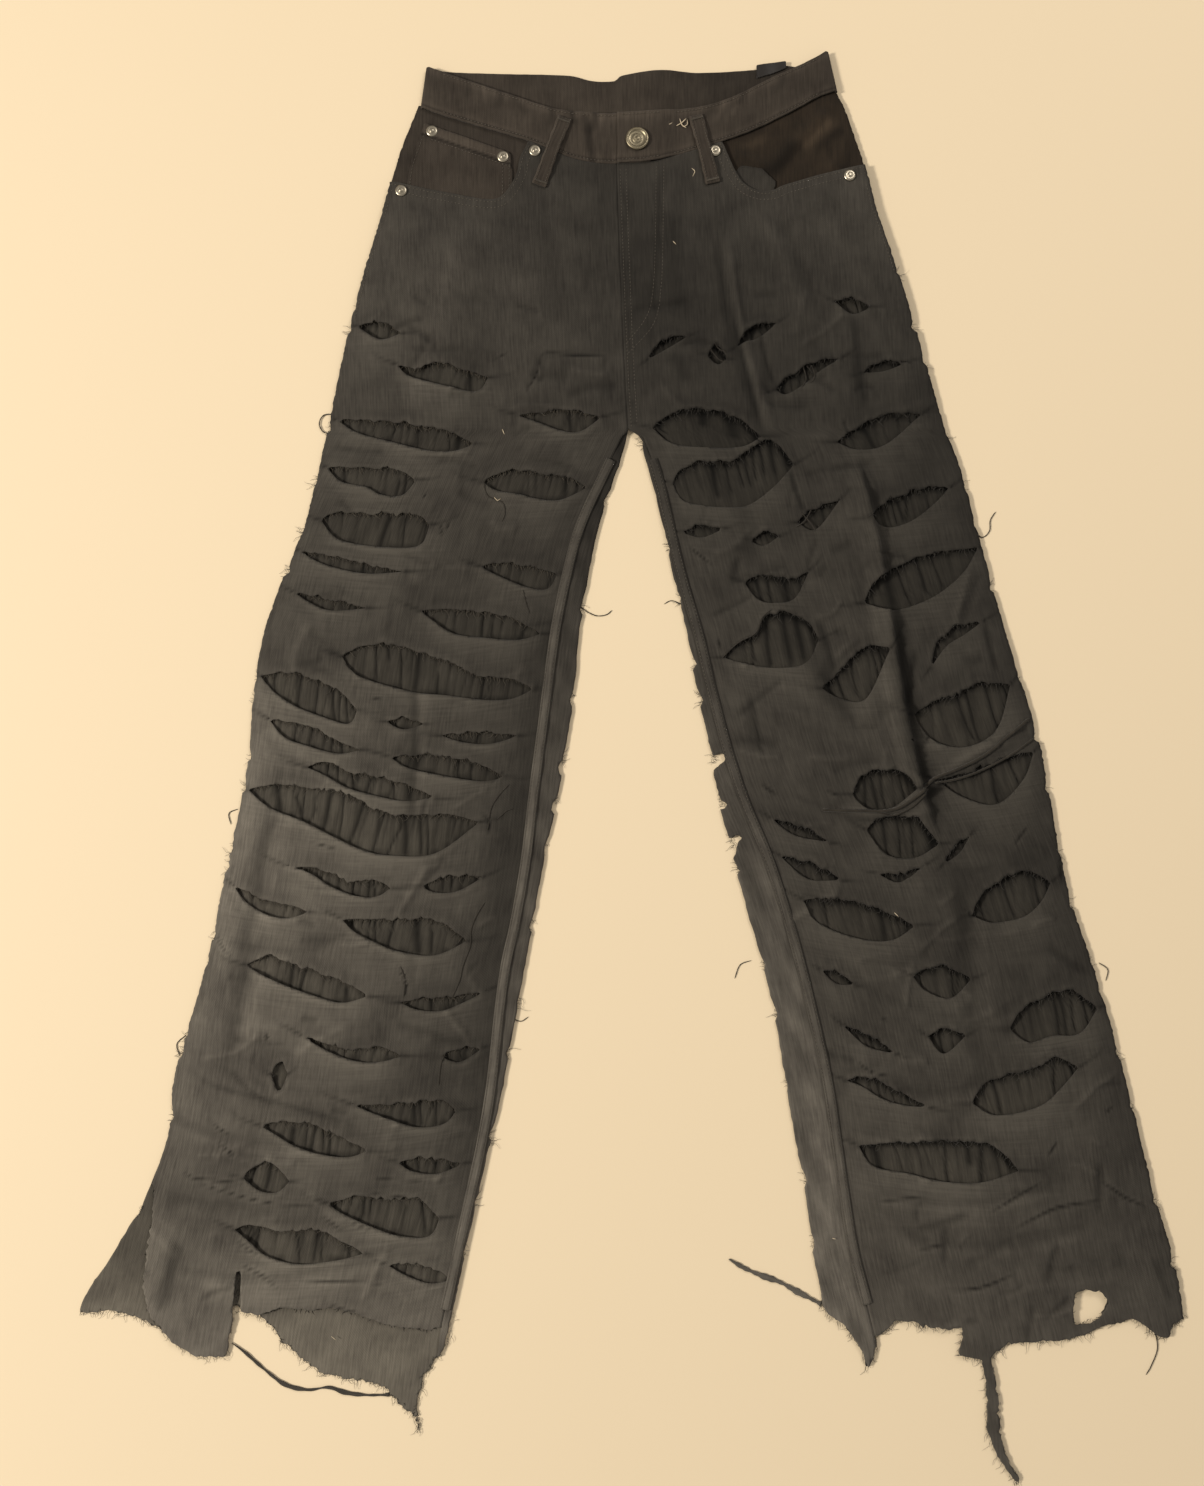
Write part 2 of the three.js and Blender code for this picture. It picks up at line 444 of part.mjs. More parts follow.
const LEFT_COLUMNS = [
  (y) => (y < CROTCH_Y ? leftInseam(y) : centreSeam(y)) - 1,
  (y) => (y < CROTCH_Y ? leftInseam(y) : centreSeam(y)) + 6,
  (y) => THREE.MathUtils.lerp(leftInseam(y) + 20, 57, rise(300, 380, y)),
  (y) => THREE.MathUtils.lerp(leftInseam(y) + 26, 66, rise(300, 380, y)),
  offset(leftThighFold, -2),
  offset(leftThighFold, 6),
  offset(leftThighFold, 22),
  between(leftThighFold, leftPleat, 0.55),
  offset(leftPleat, -22),
  offset(leftPleat, -3),
  offset(leftPleat, 3),
  between(leftPleat, leftOuter, 0.27),
  between(leftPleat, leftOuter, 0.45),
  offset(leftOuter, -14),
  offset(leftOuter, -4),
  offset(leftOuter, 1),
];
const LEFT_HEIGHTS = [
  (y) => centreFloor(y),
  (y) => centreFloor(y),
  (y) => Math.max(body(y, 1.5), centreFloor(y) + 0.9 * windowOf(y, 540, 400, 40)),
  (y) => body(y, 1.6),
  (y) => body(y, 2.2 - 1.4 * windowOf(y, 470, 290, 30)),
  (y) => body(y, 2.4 + 3.2 * windowOf(y, 470, 290, 30)),
  (y) => body(y, 2.4 - 0.4 * windowOf(y, 470, 290, 30)),
  (y) => body(y, 2.2),
  (y) => body(y, 2.4 + 1.2 * windowOf(y, 260, -90, 60)),
  (y) => body(y, 2.4 + 4.4 * windowOf(y, 260, -90, 60) + 1.2 * windowOf(y, 480, 290, 30)),
  (y) => body(y, 2.2 - 1.8 * windowOf(y, 480, -90, 60)),
  (y) => body(y, 2.4 - 0.6 * windowOf(y, 260, -90, 60)),
  (y) => body(y, 2.4),
  (y) => body(y, 1.8),
  (y) => body(y, 0.6),
  (y) => seamFloor(y),
];

function frontPanel(columns, heights, outline, holes) {
  const wall = layWall(columns, FRONT_ROWS, (x, y, j) => heights[j](y), FRONT_CLOTH);
  return cutPanel(wall, outline, holes);
}

const belowBand = (x) => bandLower(x) - GAP;

// The waistband's edges as functions of x, on the front runs and on the back run
const throughX = (points) => {
  const f = along(points.map(([x, y]) => [-x, y]));
  return (x) => f(-x);
};
const bandLower = throughX([[-173, 600], [-120, 583], [-90, 574], [-63, 565], [-35, 553], [-10, 546], [14, 545],
  [50, 548], [95, 561], [140, 577], [180, 597], [205, 611], [223, 617]]);
const bandUpper = throughX([[-168, 641], [-120, 624], [-85, 612], [-45, 599], [0, 594], [50, 596], [95, 601],
  [125, 611], [160, 629], [190, 643], [216, 657]]);
const backBandUpper = throughX([[-168, 641], [-147, 637], [-97, 635], [-30, 633], [-10, 628], [12, 628],
  [18, 633], [55, 639], [90, 636], [145, 639], [174, 643], [187, 642], [200, 650], [216, 657]]);
const backBandLower = throughX([[-172, 600], [-100, 597], [223, 597]]);

// One double strip: from its right end under the button, round the right side fold, across the back,
// round the left side fold and over the right end.
function waistband() {
  const turns = [1, 0.75, 0.5, 0.25, 0];
  const rightFront = [46, 30, 14, 0, -20, -40, -65, -90, -115, -140, -158];
  const backRun = [-150, -120, -90, -60, -30, -10, 5, 18, 40, 60, 90, 120, 145, 174, 187, 200];
  const leftFront = [205, 190, 170, 145, 120, 100, 84, 70, 58, 44, 30, 14.4];
  const across = [0, 0.5, 1];
  const columns = [];
  const place = (low, high, z, nx, nz) => columns.push(across.map((t) => {
    const x = THREE.MathUtils.lerp(low[0], high[0], t);
    return { x, y: THREE.MathUtils.lerp(low[1], high[1], t), z, nx, nz };
  }));
  rightFront.forEach((x) => place([x, bandLower(x)], [x, bandUpper(x)], BAND_FRONT_MIDDLE, 0, 1));
  turns.forEach((turn) => {
    const angle = Math.PI * turn;
    const out = BAND_FOLD_RADIUS * Math.sin(angle);
    const z = BAND_BACK_MIDDLE + BAND_FOLD_RADIUS * (1 - Math.cos(angle));
    place([-168 - out, 599.5], [-163 - out, 639.5], z, -Math.sin(angle), -Math.cos(angle));
  });
  backRun.forEach((x) => place([x, backBandLower(x)], [x, backBandUpper(x)], BAND_BACK_MIDDLE, 0, -1));
  turns.toReversed().forEach((turn) => {
    const angle = Math.PI * turn;
    const out = BAND_FOLD_RADIUS * Math.sin(angle);
    const z = BAND_BACK_MIDDLE + BAND_FOLD_RADIUS * (1 - Math.cos(angle));
    place([219 + out, 616], [211 + out, 655], z, Math.sin(angle), -Math.cos(angle));
  });
  leftFront.forEach((x) => {
    const lift = rise(74, 56, x);
    const z = THREE.MathUtils.lerp(BAND_FRONT_MIDDLE, BAND_OVERLAP_MIDDLE, lift);
    place([x, bandLower(x)], [x, bandUpper(x)], z, 0, 1);
  });
  return foldWall(columns, BAND_CLOTH);
}

// Pocket pieces, laid between the back panel and the fronts

const facingRightOutline = [[-172.5, 598], [-189, 560], [-203, 508], [-150, 504], [-100, 497], [-78, 505],
  [-68, 525], [-62, 548], [-60, 562.5], [-90, 573.4], [-120, 582.5]];
const coinPocketOutline = [[-167, 585], [-86, 556], [-84, 535], [-84, 503], [-100, 500], [-150, 507],
  [-185, 514], [-180, 545]];
const bagLeftOutline = [[101, 562.2], [140, 576.2], [180, 596.2], [205, 610.2], [220, 613], [228, 602],
  [245, 550], [251, 522], [232, 520], [172, 508], [150, 506], [128, 512], [112, 530], [104, 548]];
const facingLeftOutline = [[119, 532], [131, 543.5], [150, 541], [163, 528], [160, 511], [140, 509], [126, 515]];
const bagFold = new THREE.Line3(new THREE.Vector3(163, 555, 0), new THREE.Vector3(212, 598, 0));

function flatPiece(outline, low, thickness) {
  return geometryOf(block(outline, low, low + thickness));
}

// The pocket bag has one crumpled diagonal fold, a low ridge across it.
function bagLeft() {
  const steps = Array.from({ length: 13 }, (_, i) => i / 12);
  const columns = steps.map((t) => () => THREE.MathUtils.lerp(96, 256, t));
  const rows = steps.map((t) => THREE.MathUtils.lerp(500, 622, t));
  const nearest = new THREE.Vector3();
  const fold = (x, y) => {
    const p = new THREE.Vector3(x, y, 0);
    bagFold.closestPointToPoint(p, true, nearest);
    return FACING_FLOOR + 1.4 * rise(12, 0, nearest.distanceTo(p));
  };
  return cutPanel(layWall(columns, rows, fold, BAG_CLOTH), bagLeftOutline, []);
}

// A belt loop: a strap tacked down at both ends and standing off the band between them.
function beltLoop([lowX, lowY], [highX, highY]) {
  const start = new THREE.Vector2(lowX, lowY);
  const end = new THREE.Vector2(highX, highY);
  const side = end.clone().sub(start).rotateAround(new THREE.Vector2(), -Math.PI / 2).setLength(LOOP_WIDTH / 2);
  const steps = [0, 0.12, 0.28, 0.5, 0.72, 0.88, 1];
  const bottom = steps.map((t) => {
    const p = start.clone().lerp(end, t);
    const z = BAND_TOP + GAP + 1.8 * Math.sin(Math.PI * t) ** 2;
    return [-1, 0, 1].map((s) => new THREE.Vector3(p.x + s * side.x, p.y + s * side.y, z));
  });
  const top = bottom.map((row) => row.map((p) => p.clone().setZ(p.z + LOOP_CLOTH)));
  return wallGeometry(top, bottom);
}

// The felled inseam: a ridge that lies over the joint of front and back.
function inseamRidge(inseam, from, to) {
  const rows = [...INSEAM_STATIONS.filter((y) => y < from), to];
  const half = SEAM_RIDGE_WIDTH / 2;
  const columns = [offset(inseam, -half), offset(inseam, -half / 3), offset(inseam, half / 3), offset(inseam, half)];
  const seat = Math.max(ROLL_TOP, SEAM_FLOOR + FRONT_CLOTH) + GAP;
  const bottom = rows.map((y) => columns.map((x) => new THREE.Vector3(x(y), y, ridgeFloor(y, seat))));
  const top = bottom.map((row) => row.map((p, j) => p.clone().setZ(p.z + (j % 3 ? 1.6 : 1.1))));
  return wallGeometry(top, bottom);
}

function ridgeFloor(y, seat) {
  return Math.max(seat, seamFloor(y) + FRONT_CLOTH + GAP);
}

// Metal

function lathe(profile, x, y, z, segments) {
  const geometry = new THREE.LatheGeometry(profile.map(([r, h]) => new THREE.Vector2(r, h)), segments);
  geometry.rotateX(Math.PI / 2);
  geometry.translate(x, y, z);
  return geometry;
}

const rivet = (x, y, z) => lathe(
  [[0, 0], [RIVET_RADIUS, 0], [RIVET_RADIUS, 0.5], [4.2, 1.4], [2.4, 1.5], [1.4, 2.2], [0, 2.3]],
  x, y, z, 12,
);

const button = (x, y, z) => lathe(
  [[0, 0], [BUTTON_RADIUS - 1, 0], [BUTTON_RADIUS, 1], [BUTTON_RADIUS - 0.6, 2.4], [BUTTON_RADIUS - 2.4, 2.8],
    [BUTTON_RADIUS - 3.6, 1.8], [4, 1.8], [3.2, 2.6], [0, 2.8]],
  x, y, z, 24,
);

// Loose strips torn from the hems, lying on the floor

function floorStrip(points, width, thickness) {
  const curve = new THREE.CatmullRomCurve3(points.map(([x, y]) => new THREE.Vector3(x, y, 0)));
  const count = points.length * 2;
  const rows = curve.getSpacedPoints(count).map((p, i) => {
    const t = curve.getTangentAt(i / count);
    return [-1, 1].map((s) => new THREE.Vector3(p.x - s * t.y * width / 2, p.y + s * t.x * width / 2, 0.1));
  });
  const lifted = rows.map((row) => row.map((p) => p.clone().setZ(p.z + thickness)));
  return wallGeometry(lifted, rows.map((row) => row));
}

// The garment

const jeans = new THREE.Group();

function add(name, geometry, material) {
  const mesh = new THREE.Mesh(geometry, new THREE.MeshStandardMaterial(material));
  mesh.name = name;
  jeans.add(mesh);
}

const rightOutline = [
  ...edgePoints(centreSeam, 544, CROTCH_Y, 65, -GAP / 2),
  ...stationPoints(rightInseam, -GAP / 2),
  ...FRONT_HEM_RIGHT,
  ...edgePoints(rightOuter, -370, 512, 40),
  ...POCKET_EDGE_RIGHT.toReversed(),
  ...[-65, -40, -20, 0].map((x) => [x, belowBand(x)]),
];
const leftOutline = [
  ...edgePoints(centreSeam, 544, CROTCH_Y, 65, GAP / 2),
  ...stationPoints(leftInseam, GAP / 2),
  ...FRONT_HEM_LEFT,
  ...edgePoints(leftOuter, -496, 530, 40),
  ...POCKET_EDGE_LEFT.toReversed(),
  ...[100, 84, 70, 58, 44, 30].map((x) => [x, belowBand(x)]),
];
const backRightOutline = [
  [14, 595], [centreSeam(CROTCH_Y) + 8, CROTCH_Y],
  ...edgePoints(rightInner, 270, -480, 60, 8),
  ...BACK_HEM_RIGHT,
  ...edgePoints(rightOuter, -480, 590, 45),
];
const backLeftOutline = [
  [14, 595], [centreSeam(CROTCH_Y) - 8, CROTCH_Y],
  ...edgePoints(leftInner, 270, -470, 60, -8),
  ...BACK_HEM_LEFT,
  ...edgePoints(leftOuter, -480, 590, 45),
];

add('back_right', backPanel({
  outer: rightOuter, inner: rightInner, inseam: rightInseam, inward: -1, outline: backRightOutline, holes: [],
}), DENIM_INSIDE);
add('back_left', backPanel({
  outer: leftOuter, inner: leftInner, inseam: leftInseam, inward: 1, outline: backLeftOutline, holes: [HEM_HOLE],
}), DENIM_INSIDE);
add('front_right', frontPanel(RIGHT_COLUMNS, RIGHT_HEIGHTS, rightOutline, RIGHT_LEG_RIPS.map(ripOutline)), DENIM);
add('front_left', frontPanel(LEFT_COLUMNS, LEFT_HEIGHTS, leftOutline,
  [...LEFT_LEG_RIPS.map(ripOutline), HEM_HOLE]), DENIM);
add('waistband', waistband(), DENIM);
add('pocket_facing_right', flatPiece(facingRightOutline, FACING_FLOOR, BAG_CLOTH), DENIM);
add('coin_pocket', flatPiece(coinPocketOutline, COIN_FLOOR, BAG_CLOTH), DENIM);
add('pocket_bag_left', bagLeft(), POCKET_CLOTH);
add('pocket_facing_left', flatPiece(facingLeftOutline, COIN_FLOOR, BAG_CLOTH), DENIM);
add('belt_loop_right', beltLoop([-59, 523], [-35, 589]), DENIM);
add('belt_loop_left', beltLoop([104, 525], [88, 591]), DENIM);
add('inseam_right', inseamRidge(rightInseam, 262, -500), DENIM);
add('inseam_left', inseamRidge(leftInseam, 262, -496), DENIM);
add('waist_button', button(33, 567, BAND_OVERLAP_MIDDLE + BAND_CLOTH / 2 + GAP), NICKEL);
const panelTop = POCKET_FLOOR + FRONT_CLOTH + GAP;
add('rivet_coin_outer', rivet(-160, 577, COIN_TOP + GAP), NICKEL);
add('rivet_coin_inner', rivet(-93, 552, COIN_TOP + GAP), NICKEL);
add('rivet_right_inner', rivet(-63, 557, panelTop), NICKEL);
add('rivet_right_outer', rivet(-188, 518, panelTop), NICKEL);
add('rivet_left_inner', rivet(106, 557, panelTop), NICKEL);
add('rivet_left_outer', rivet(232, 533, panelTop), NICKEL);
add('label_blank', flatPiece([[146, 630], [160, 634], [174, 640], [174, 647], [146, 643]],
  BAND_CLOTH + GAP, 1.2), LABEL_CLOTH);
add('hem_ribbon_right', floorStrip([[-325, -528.5], [-312, -538], [-295, -552], [-278, -564], [-258, -568.5],
  [-240, -566.5], [-224, -571], [-206, -573], [-186, -572.6]], 3.2, 1.1), DENIM);
add('hem_strand_left', floorStrip([[112, -458], [130, -465], [150, -474], [170, -484], [193.2, -495.8]], 2.2, 1.1), DENIM);

// The origin goes under the middle of the garment's outline, on the floor.
const outlineBox = new THREE.Box3().setFromObject(jeans);
const middle = outlineBox.getCenter(new THREE.Vector3());
jeans.position.set(-middle.x, -middle.y, -outlineBox.min.z);

export default jeans;
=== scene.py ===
# %% [markdown]
# # Ripped wide-leg jeans, laid flat on their back
# A pair of jeans is flat cloth, cut to a pattern and sewn. Laid on a floor it is two layers, front and
# back, a few millimetres apart. This lesson makes each cut piece as a surface on a numpy grid, lays it on
# the plain solids of the frame, and lets tears, folds and frayed threads be heights and cuts in that grid.
# %% Load the frame
import math

import bpy
import numpy as np
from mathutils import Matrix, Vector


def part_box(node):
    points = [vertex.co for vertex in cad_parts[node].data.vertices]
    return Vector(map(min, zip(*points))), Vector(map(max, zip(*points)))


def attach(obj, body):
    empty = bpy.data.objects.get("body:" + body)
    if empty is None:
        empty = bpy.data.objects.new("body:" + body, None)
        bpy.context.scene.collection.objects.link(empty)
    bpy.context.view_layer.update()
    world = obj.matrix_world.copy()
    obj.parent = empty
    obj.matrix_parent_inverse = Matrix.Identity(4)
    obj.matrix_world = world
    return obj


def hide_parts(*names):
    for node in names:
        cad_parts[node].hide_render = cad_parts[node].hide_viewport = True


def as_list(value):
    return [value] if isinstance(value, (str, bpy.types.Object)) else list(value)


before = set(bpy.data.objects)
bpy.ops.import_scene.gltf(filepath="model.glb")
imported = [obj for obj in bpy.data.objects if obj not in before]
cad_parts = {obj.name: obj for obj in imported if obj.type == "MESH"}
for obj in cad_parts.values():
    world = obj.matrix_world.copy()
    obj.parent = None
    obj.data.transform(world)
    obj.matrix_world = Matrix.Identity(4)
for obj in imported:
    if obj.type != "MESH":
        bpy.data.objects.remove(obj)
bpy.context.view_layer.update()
print("frame", sorted(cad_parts))

# %% [markdown]
# The garment's own millimetres start on the floor between the knees, as its pattern does. The frame keeps
# metres and another origin, so the one known spot in both, the waist button, gives the move between them.
# %% Garment millimetres to frame metres
BUTTON_SPOT = np.array([33.0, 567.0])
button_low, button_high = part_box("waist_button")
button_middle = np.array([(button_low[k] + button_high[k]) / 2 * 1000 for k in (0, 1)])
MOVE = np.array([*(button_middle - BUTTON_SPOT), 0.0])
print("garment to frame, mm", MOVE)


def to_frame(points):
    """Garment millimetres to frame metres: the move is added, then the whole is divided by 1000."""
    return (np.asarray(points, float) + MOVE) / 1000


# %% [markdown]
# ## Camera
# The photo was taken standing at the hem and looking almost straight down, with a phone's wide lens. A real
# camera is set up from its height, its tilt and its lens, so the legs widen towards the viewer as they do
# in the photo. A straight-down view would lose that.
# %% Camera over the knees
CAMERA_DISTANCE = 1274.0
CAMERA_TILT = math.radians(4.74)
FOCAL_PIXELS = 1400.0
PHOTO_HEIGHT = 1486.0

camera = bpy.data.objects.new("camera", bpy.data.cameras.new("camera"))
bpy.context.scene.collection.objects.link(camera)
camera.location = to_frame([0, -CAMERA_DISTANCE * math.sin(CAMERA_TILT),
                            CAMERA_DISTANCE * math.cos(CAMERA_TILT)])
camera.rotation_euler = (CAMERA_TILT, 0, 0)
camera.data.sensor_width = 36
camera.data.lens = 36 * FOCAL_PIXELS / PHOTO_HEIGHT
bpy.context.scene.camera = camera
print("lens", round(camera.data.lens, 2), "mm")

# %% [markdown]
# ## Working with grids
# A pattern piece is a grid of points whose height is a function of its place. A tear or a ragged hem is a
# cut through that grid. Booleans on thin cloth are slow and leave slivers, so the cut is made as contour
# lines are drawn on a map: each grid cell keeps the part of it where a depth is above zero.
# %% Curves, steps and distances
def rise(low, high, value):
    """0 below low, 1 above high, and 3t^2 - 2t^3 between; low may be the larger number."""
    t = np.clip((np.asarray(value, float) - low) / (high - low), 0, 1)
    return t * t * (3 - 2 * t)


def window(y, top, bottom, fade):
    """1 between the two heights of y, fading out over fade beyond them: the product of two steps."""
    return rise(bottom - fade, bottom, y) * rise(top + fade, top, y)


def along(knots):
    """A curve through knots (y, value), listed from the waist down: a cubic on each span, whose slopes at
    the knots are those of the chord between their neighbours."""
    at = np.array([k[0] for k in knots], float)[::-1]
    value = np.array([k[1] for k in knots], float)[::-1]
    slope = np.gradient(value, at)
    slope[1:-1] = (value[2:] - value[:-2]) / (at[2:] - at[:-2])

    def curve(y):
        y = np.clip(y, at[0], at[-1])
        i = np.clip(np.searchsorted(at, y, side="right") - 1, 0, len(at) - 2)
        span = at[i + 1] - at[i]
        t = (y - at[i]) / span
        return ((2 * t**3 - 3 * t**2 + 1) * value[i] + (t**3 - 2 * t**2 + t) * span * slope[i]
                + (3 * t**2 - 2 * t**3) * value[i + 1] + (t**3 - t**2) * span * slope[i + 1])

    return curve


def across(points):
    """A curve through points (x, y) from left to right, as a function of x."""
    curve = along([[-x, y] for x, y in points])
    return lambda x: curve(-np.asarray(x, float))


def smooth_line(points, steps):
    """A line through given points: on each span (a, b, c, d around it) the Catmull-Rom cubic, half of
    2b + (c - a)t + (2a - 5b + 4c - d)t^2 + (3b - a - 3c + d)t^3."""
    p = np.asarray(points, float)
    p = np.vstack([2 * p[0] - p[1], p, 2 * p[-1] - p[-2]])
    t = np.linspace(0, 1, steps, endpoint=False)[None, :, None]
    a, b, c, d = (p[k:len(p) - 3 + k, None, :] for k in range(4))
    spans = (2 * b + (c - a) * t + (2 * a - 5 * b + 4 * c - d) * t**2 + (3 * b - a - 3 * c + d) * t**3) / 2
    return np.vstack([spans.reshape(-1, p.shape[1]), p[-2]])


def nearest(x, y, line):
    """Distance of each place to a line, its share of the way along, and the side (+1 left of travel).
    Each place is dropped square onto every segment, and the closest foot wins."""
    a, b = line[:-1], line[1:]
    run = b - a
    length = np.hypot(*run.T)
    px, py = np.ravel(x)[:, None] - a[:, 0], np.ravel(y)[:, None] - a[:, 1]
    t = np.clip((px * run[:, 0] + py * run[:, 1]) / np.maximum(length**2, 1e-9), 0, 1)
    gap = np.hypot(px - t * run[:, 0], py - t * run[:, 1])
    best = gap.argmin(1)
    row = np.arange(len(best))
    start = np.concatenate([[0], np.cumsum(length)])
    share = (start[best] + t[row, best] * length[best]) / start[-1]
    side = np.sign(run[best, 0] * py[row, best] - run[best, 1] * px[row, best])
    shape = np.shape(x)
    return gap[row, best].reshape(shape), share.reshape(shape), side.reshape(shape)


def depth_inside(x, y, outline):
    """How deep each place lies inside a closed outline, negative outside: the distance to its edge, with
    the sign from counting how many edges a ray to the right crosses."""
    line = np.vstack([outline, outline[:1]])
    flat_x, flat_y = np.ravel(x)[:, None], np.ravel(y)[:, None]
    ax, ay, bx, by = line[:-1, 0], line[:-1, 1], line[1:, 0], line[1:, 1]
    spans = (ay > flat_y) != (by > flat_y)
    cross = ax + (flat_y - ay) * (bx - ax) / np.where(by == ay, 1e-9, by - ay)
    odd = (spans & (flat_x < cross)).sum(1) % 2 == 1
    gap = nearest(x, y, line)[0]
    return np.where(odd.reshape(np.shape(x)), gap, -gap)


# %% [markdown]
# A cell whose four corners are kept stays whole. One with only some of them keeps a triangle, a square or a
# square with its corner off. A table says which, so that thousands of cells are cut with no loop over them.
# %% Cutting a grid
# The key adds up the kept corners: 1, 2, 4 and 8. Points 0 to 3 are the corners, 4 to 7 the cuts between.
CELL_CASES = {
    15: [(0, 1, 2, 3)],
    1: [(0, 4, 7)], 2: [(1, 5, 4)], 4: [(2, 6, 5)], 8: [(3, 7, 6)],
    3: [(0, 1, 5, 7)], 6: [(1, 2, 6, 4)], 12: [(2, 3, 7, 5)], 9: [(3, 0, 4, 6)],
    5: [(0, 4, 7), (2, 6, 5)], 10: [(1, 5, 4), (3, 7, 6)],
    7: [(0, 1, 2, 6), (0, 6, 7)], 14: [(1, 2, 3, 7), (1, 7, 4)],
    13: [(2, 3, 0, 4), (2, 4, 5)], 11: [(3, 0, 1, 5), (3, 5, 6)],
}


def cut_grid(values, depth):
    """Keeps the part of a grid where depth is above 0. values is (rows, columns, channels). Corners with
    depth above 0 stay, an edge that changes sign gets a point where depth crosses 0 on a straight line,
    and each cell takes the polygons of its pattern of kept corners."""
    rows, columns = depth.shape
    corner = np.arange(rows * columns).reshape(rows, columns)
    flat, deep = values.reshape(rows * columns, -1), depth.ravel()
    start = np.concatenate([corner[:, :-1].ravel(), corner[:-1, :].ravel()])
    end = np.concatenate([corner[:, 1:].ravel(), corner[1:, :].ravel()])
    t = np.clip(deep[start] / np.where(deep[start] == deep[end], 1, deep[start] - deep[end]), 0.06, 0.94)
    points = np.vstack([flat, flat[start] + (flat[end] - flat[start]) * t[:, None]])
    beside = rows * columns + np.arange(rows * (columns - 1)).reshape(rows, columns - 1)
    below = beside.max() + 1 + np.arange((rows - 1) * columns).reshape(rows - 1, columns)
    tokens = np.stack([corner[:-1, :-1], corner[:-1, 1:], corner[1:, 1:], corner[1:, :-1],
                       beside[:-1], below[:, 1:], beside[1:], below[:, :-1]], -1).reshape(-1, 8)
    kept = depth > 0
    pattern = (kept[:-1, :-1] + 2 * kept[:-1, 1:] + 4 * kept[1:, 1:] + 8 * kept[1:, :-1]).ravel()
    quads, triangles = [], []
    for case, polygons in CELL_CASES.items():
        cells = tokens[pattern == case]
        for polygon in polygons:
            (quads if len(polygon) == 4 else triangles).append(cells[:, polygon])
    quads, triangles = np.vstack(quads), np.vstack(triangles)
    used, index = np.unique(np.concatenate([quads.ravel(), triangles.ravel()]), return_inverse=True)
    split = quads.size
    return points[used], index[:split].reshape(-1, 4), index[split:].reshape(-1, 3)


# %% [markdown]
# Blender can take whole arrays of points and faces at once. That is far quicker than adding them one by one,
# and each piece's place stays in its mesh, with its object at the origin.
# %% Meshes from arrays
def grid_quads(rows, columns):
    """The faces of a full grid: each is a corner, the one beside it, and the two of the next row."""
    corner = np.arange(rows * columns).reshape(rows, columns)
    return np.stack([corner[:-1, :-1], corner[:-1, 1:], corner[1:, 1:], corner[1:, :-1]], -1).reshape(-1, 4)


def rough_size(quads, triangles):
    """Triangles of a piece with a second skin: a quad counts as two, and all of it twice."""
    return 2 * (2 * len(quads) + len(triangles))


def put_mesh(name, points, quads, triangles, fields=None):
    """One object from arrays: points in garment mm, faces as rows of point numbers, and fields as named
    numbers on the points. 'across' and 'down', if given, become the UV map 'cloth' in metres."""
    quads, triangles = np.asarray(quads, int).reshape(-1, 4), np.asarray(triangles, int).reshape(-1, 3)
    corners = np.concatenate([quads.ravel(), triangles.ravel()]).astype(np.int32)
    starts = np.concatenate([np.arange(len(quads)) * 4, len(quads) * 4 + np.arange(len(triangles)) * 3])
    mesh = bpy.data.meshes.new(name)
    mesh.vertices.add(len(points))
    mesh.vertices.foreach_set("co", to_frame(points).astype(np.float32).ravel())
    mesh.loops.add(len(corners))
    mesh.loops.foreach_set("vertex_index", corners)
    mesh.polygons.add(len(starts))
    mesh.polygons.foreach_set("loop_start", starts.astype(np.int32))
    mesh.update(calc_edges=True)
    mesh.validate()
    fields = dict(fields or {})
    if "across" in fields:
        pattern = np.stack([fields.pop("across"), fields.pop("down")], -1)[corners] / 1000
        layer = mesh.uv_layers.new(name="cloth")
        layer.data.foreach_set("uv", pattern.astype(np.float32).ravel())
    for field, numbers in fields.items():
        layer = mesh.attributes.new(field, "FLOAT", "POINT")
        layer.data.foreach_set("value", np.asarray(numbers, np.float32))
    mesh.shade_smooth()
    piece = bpy.data.objects.new(name, mesh)
    bpy.context.scene.collection.objects.link(piece)
    return piece


def cloth_mesh(name, points, quads, triangles):
    """A cloth's mesh from points with seven columns: x, y, z, tone (wear with painted shade and
    highlight), stretch, across and down.
    """
    fields = dict(zip(("wear_and_shade", "stretch", "across", "down"), points[:, 3:].T))
    return put_mesh(name, points[:, :3], quads, triangles, fields)


def finish_piece(piece, material, slot, *nodes):
    """Gives a piece its finish, lets it ride with the garment, and shows it in place of its plain solids."""
    piece.data.materials.append(material)
    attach(piece, "root")
    if nodes:
        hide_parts(*nodes)
    return piece


def give_thickness(piece, millimetres, inside=None):
    """Turns a surface into closed cloth: a second skin that far inside it, joined round every edge, and
    with its own finish where one is given."""
    wall = piece.modifiers.new("cloth", "SOLIDIFY")
    wall.thickness = millimetres / 1000
    wall.offset = -1
    if inside:
        piece.data.materials.append(inside)
        wall.material_offset = 1


# %% [markdown]
# ## Finishes
# Every finish starts from the real one. The cloth is overdyed black cotton denim, a 3/1 twill: it is matt,
# scatters light a little at grazing angles from its fuzz, and fades to a brownish grey where it was rubbed.
# It could be a picture texture, but nodes keep the weave sharp at any size and let the fading, and the
# painted shade and highlight that share its field, follow the garment through fields on each piece's
# points.
# %% Colour and node helpers
def dye(code):
    """An sRGB hex colour as linear light: c/12.92 below 0.04045, else ((c + 0.055)/1.055)^2.4."""
    part = np.array([int(code[k:k + 2], 16) for k in (1, 3, 5)]) / 255
    linear = np.where(part <= 0.04045, part / 12.92, ((part + 0.055) / 1.055) ** 2.4)
    return (*linear.tolist(), 1.0)


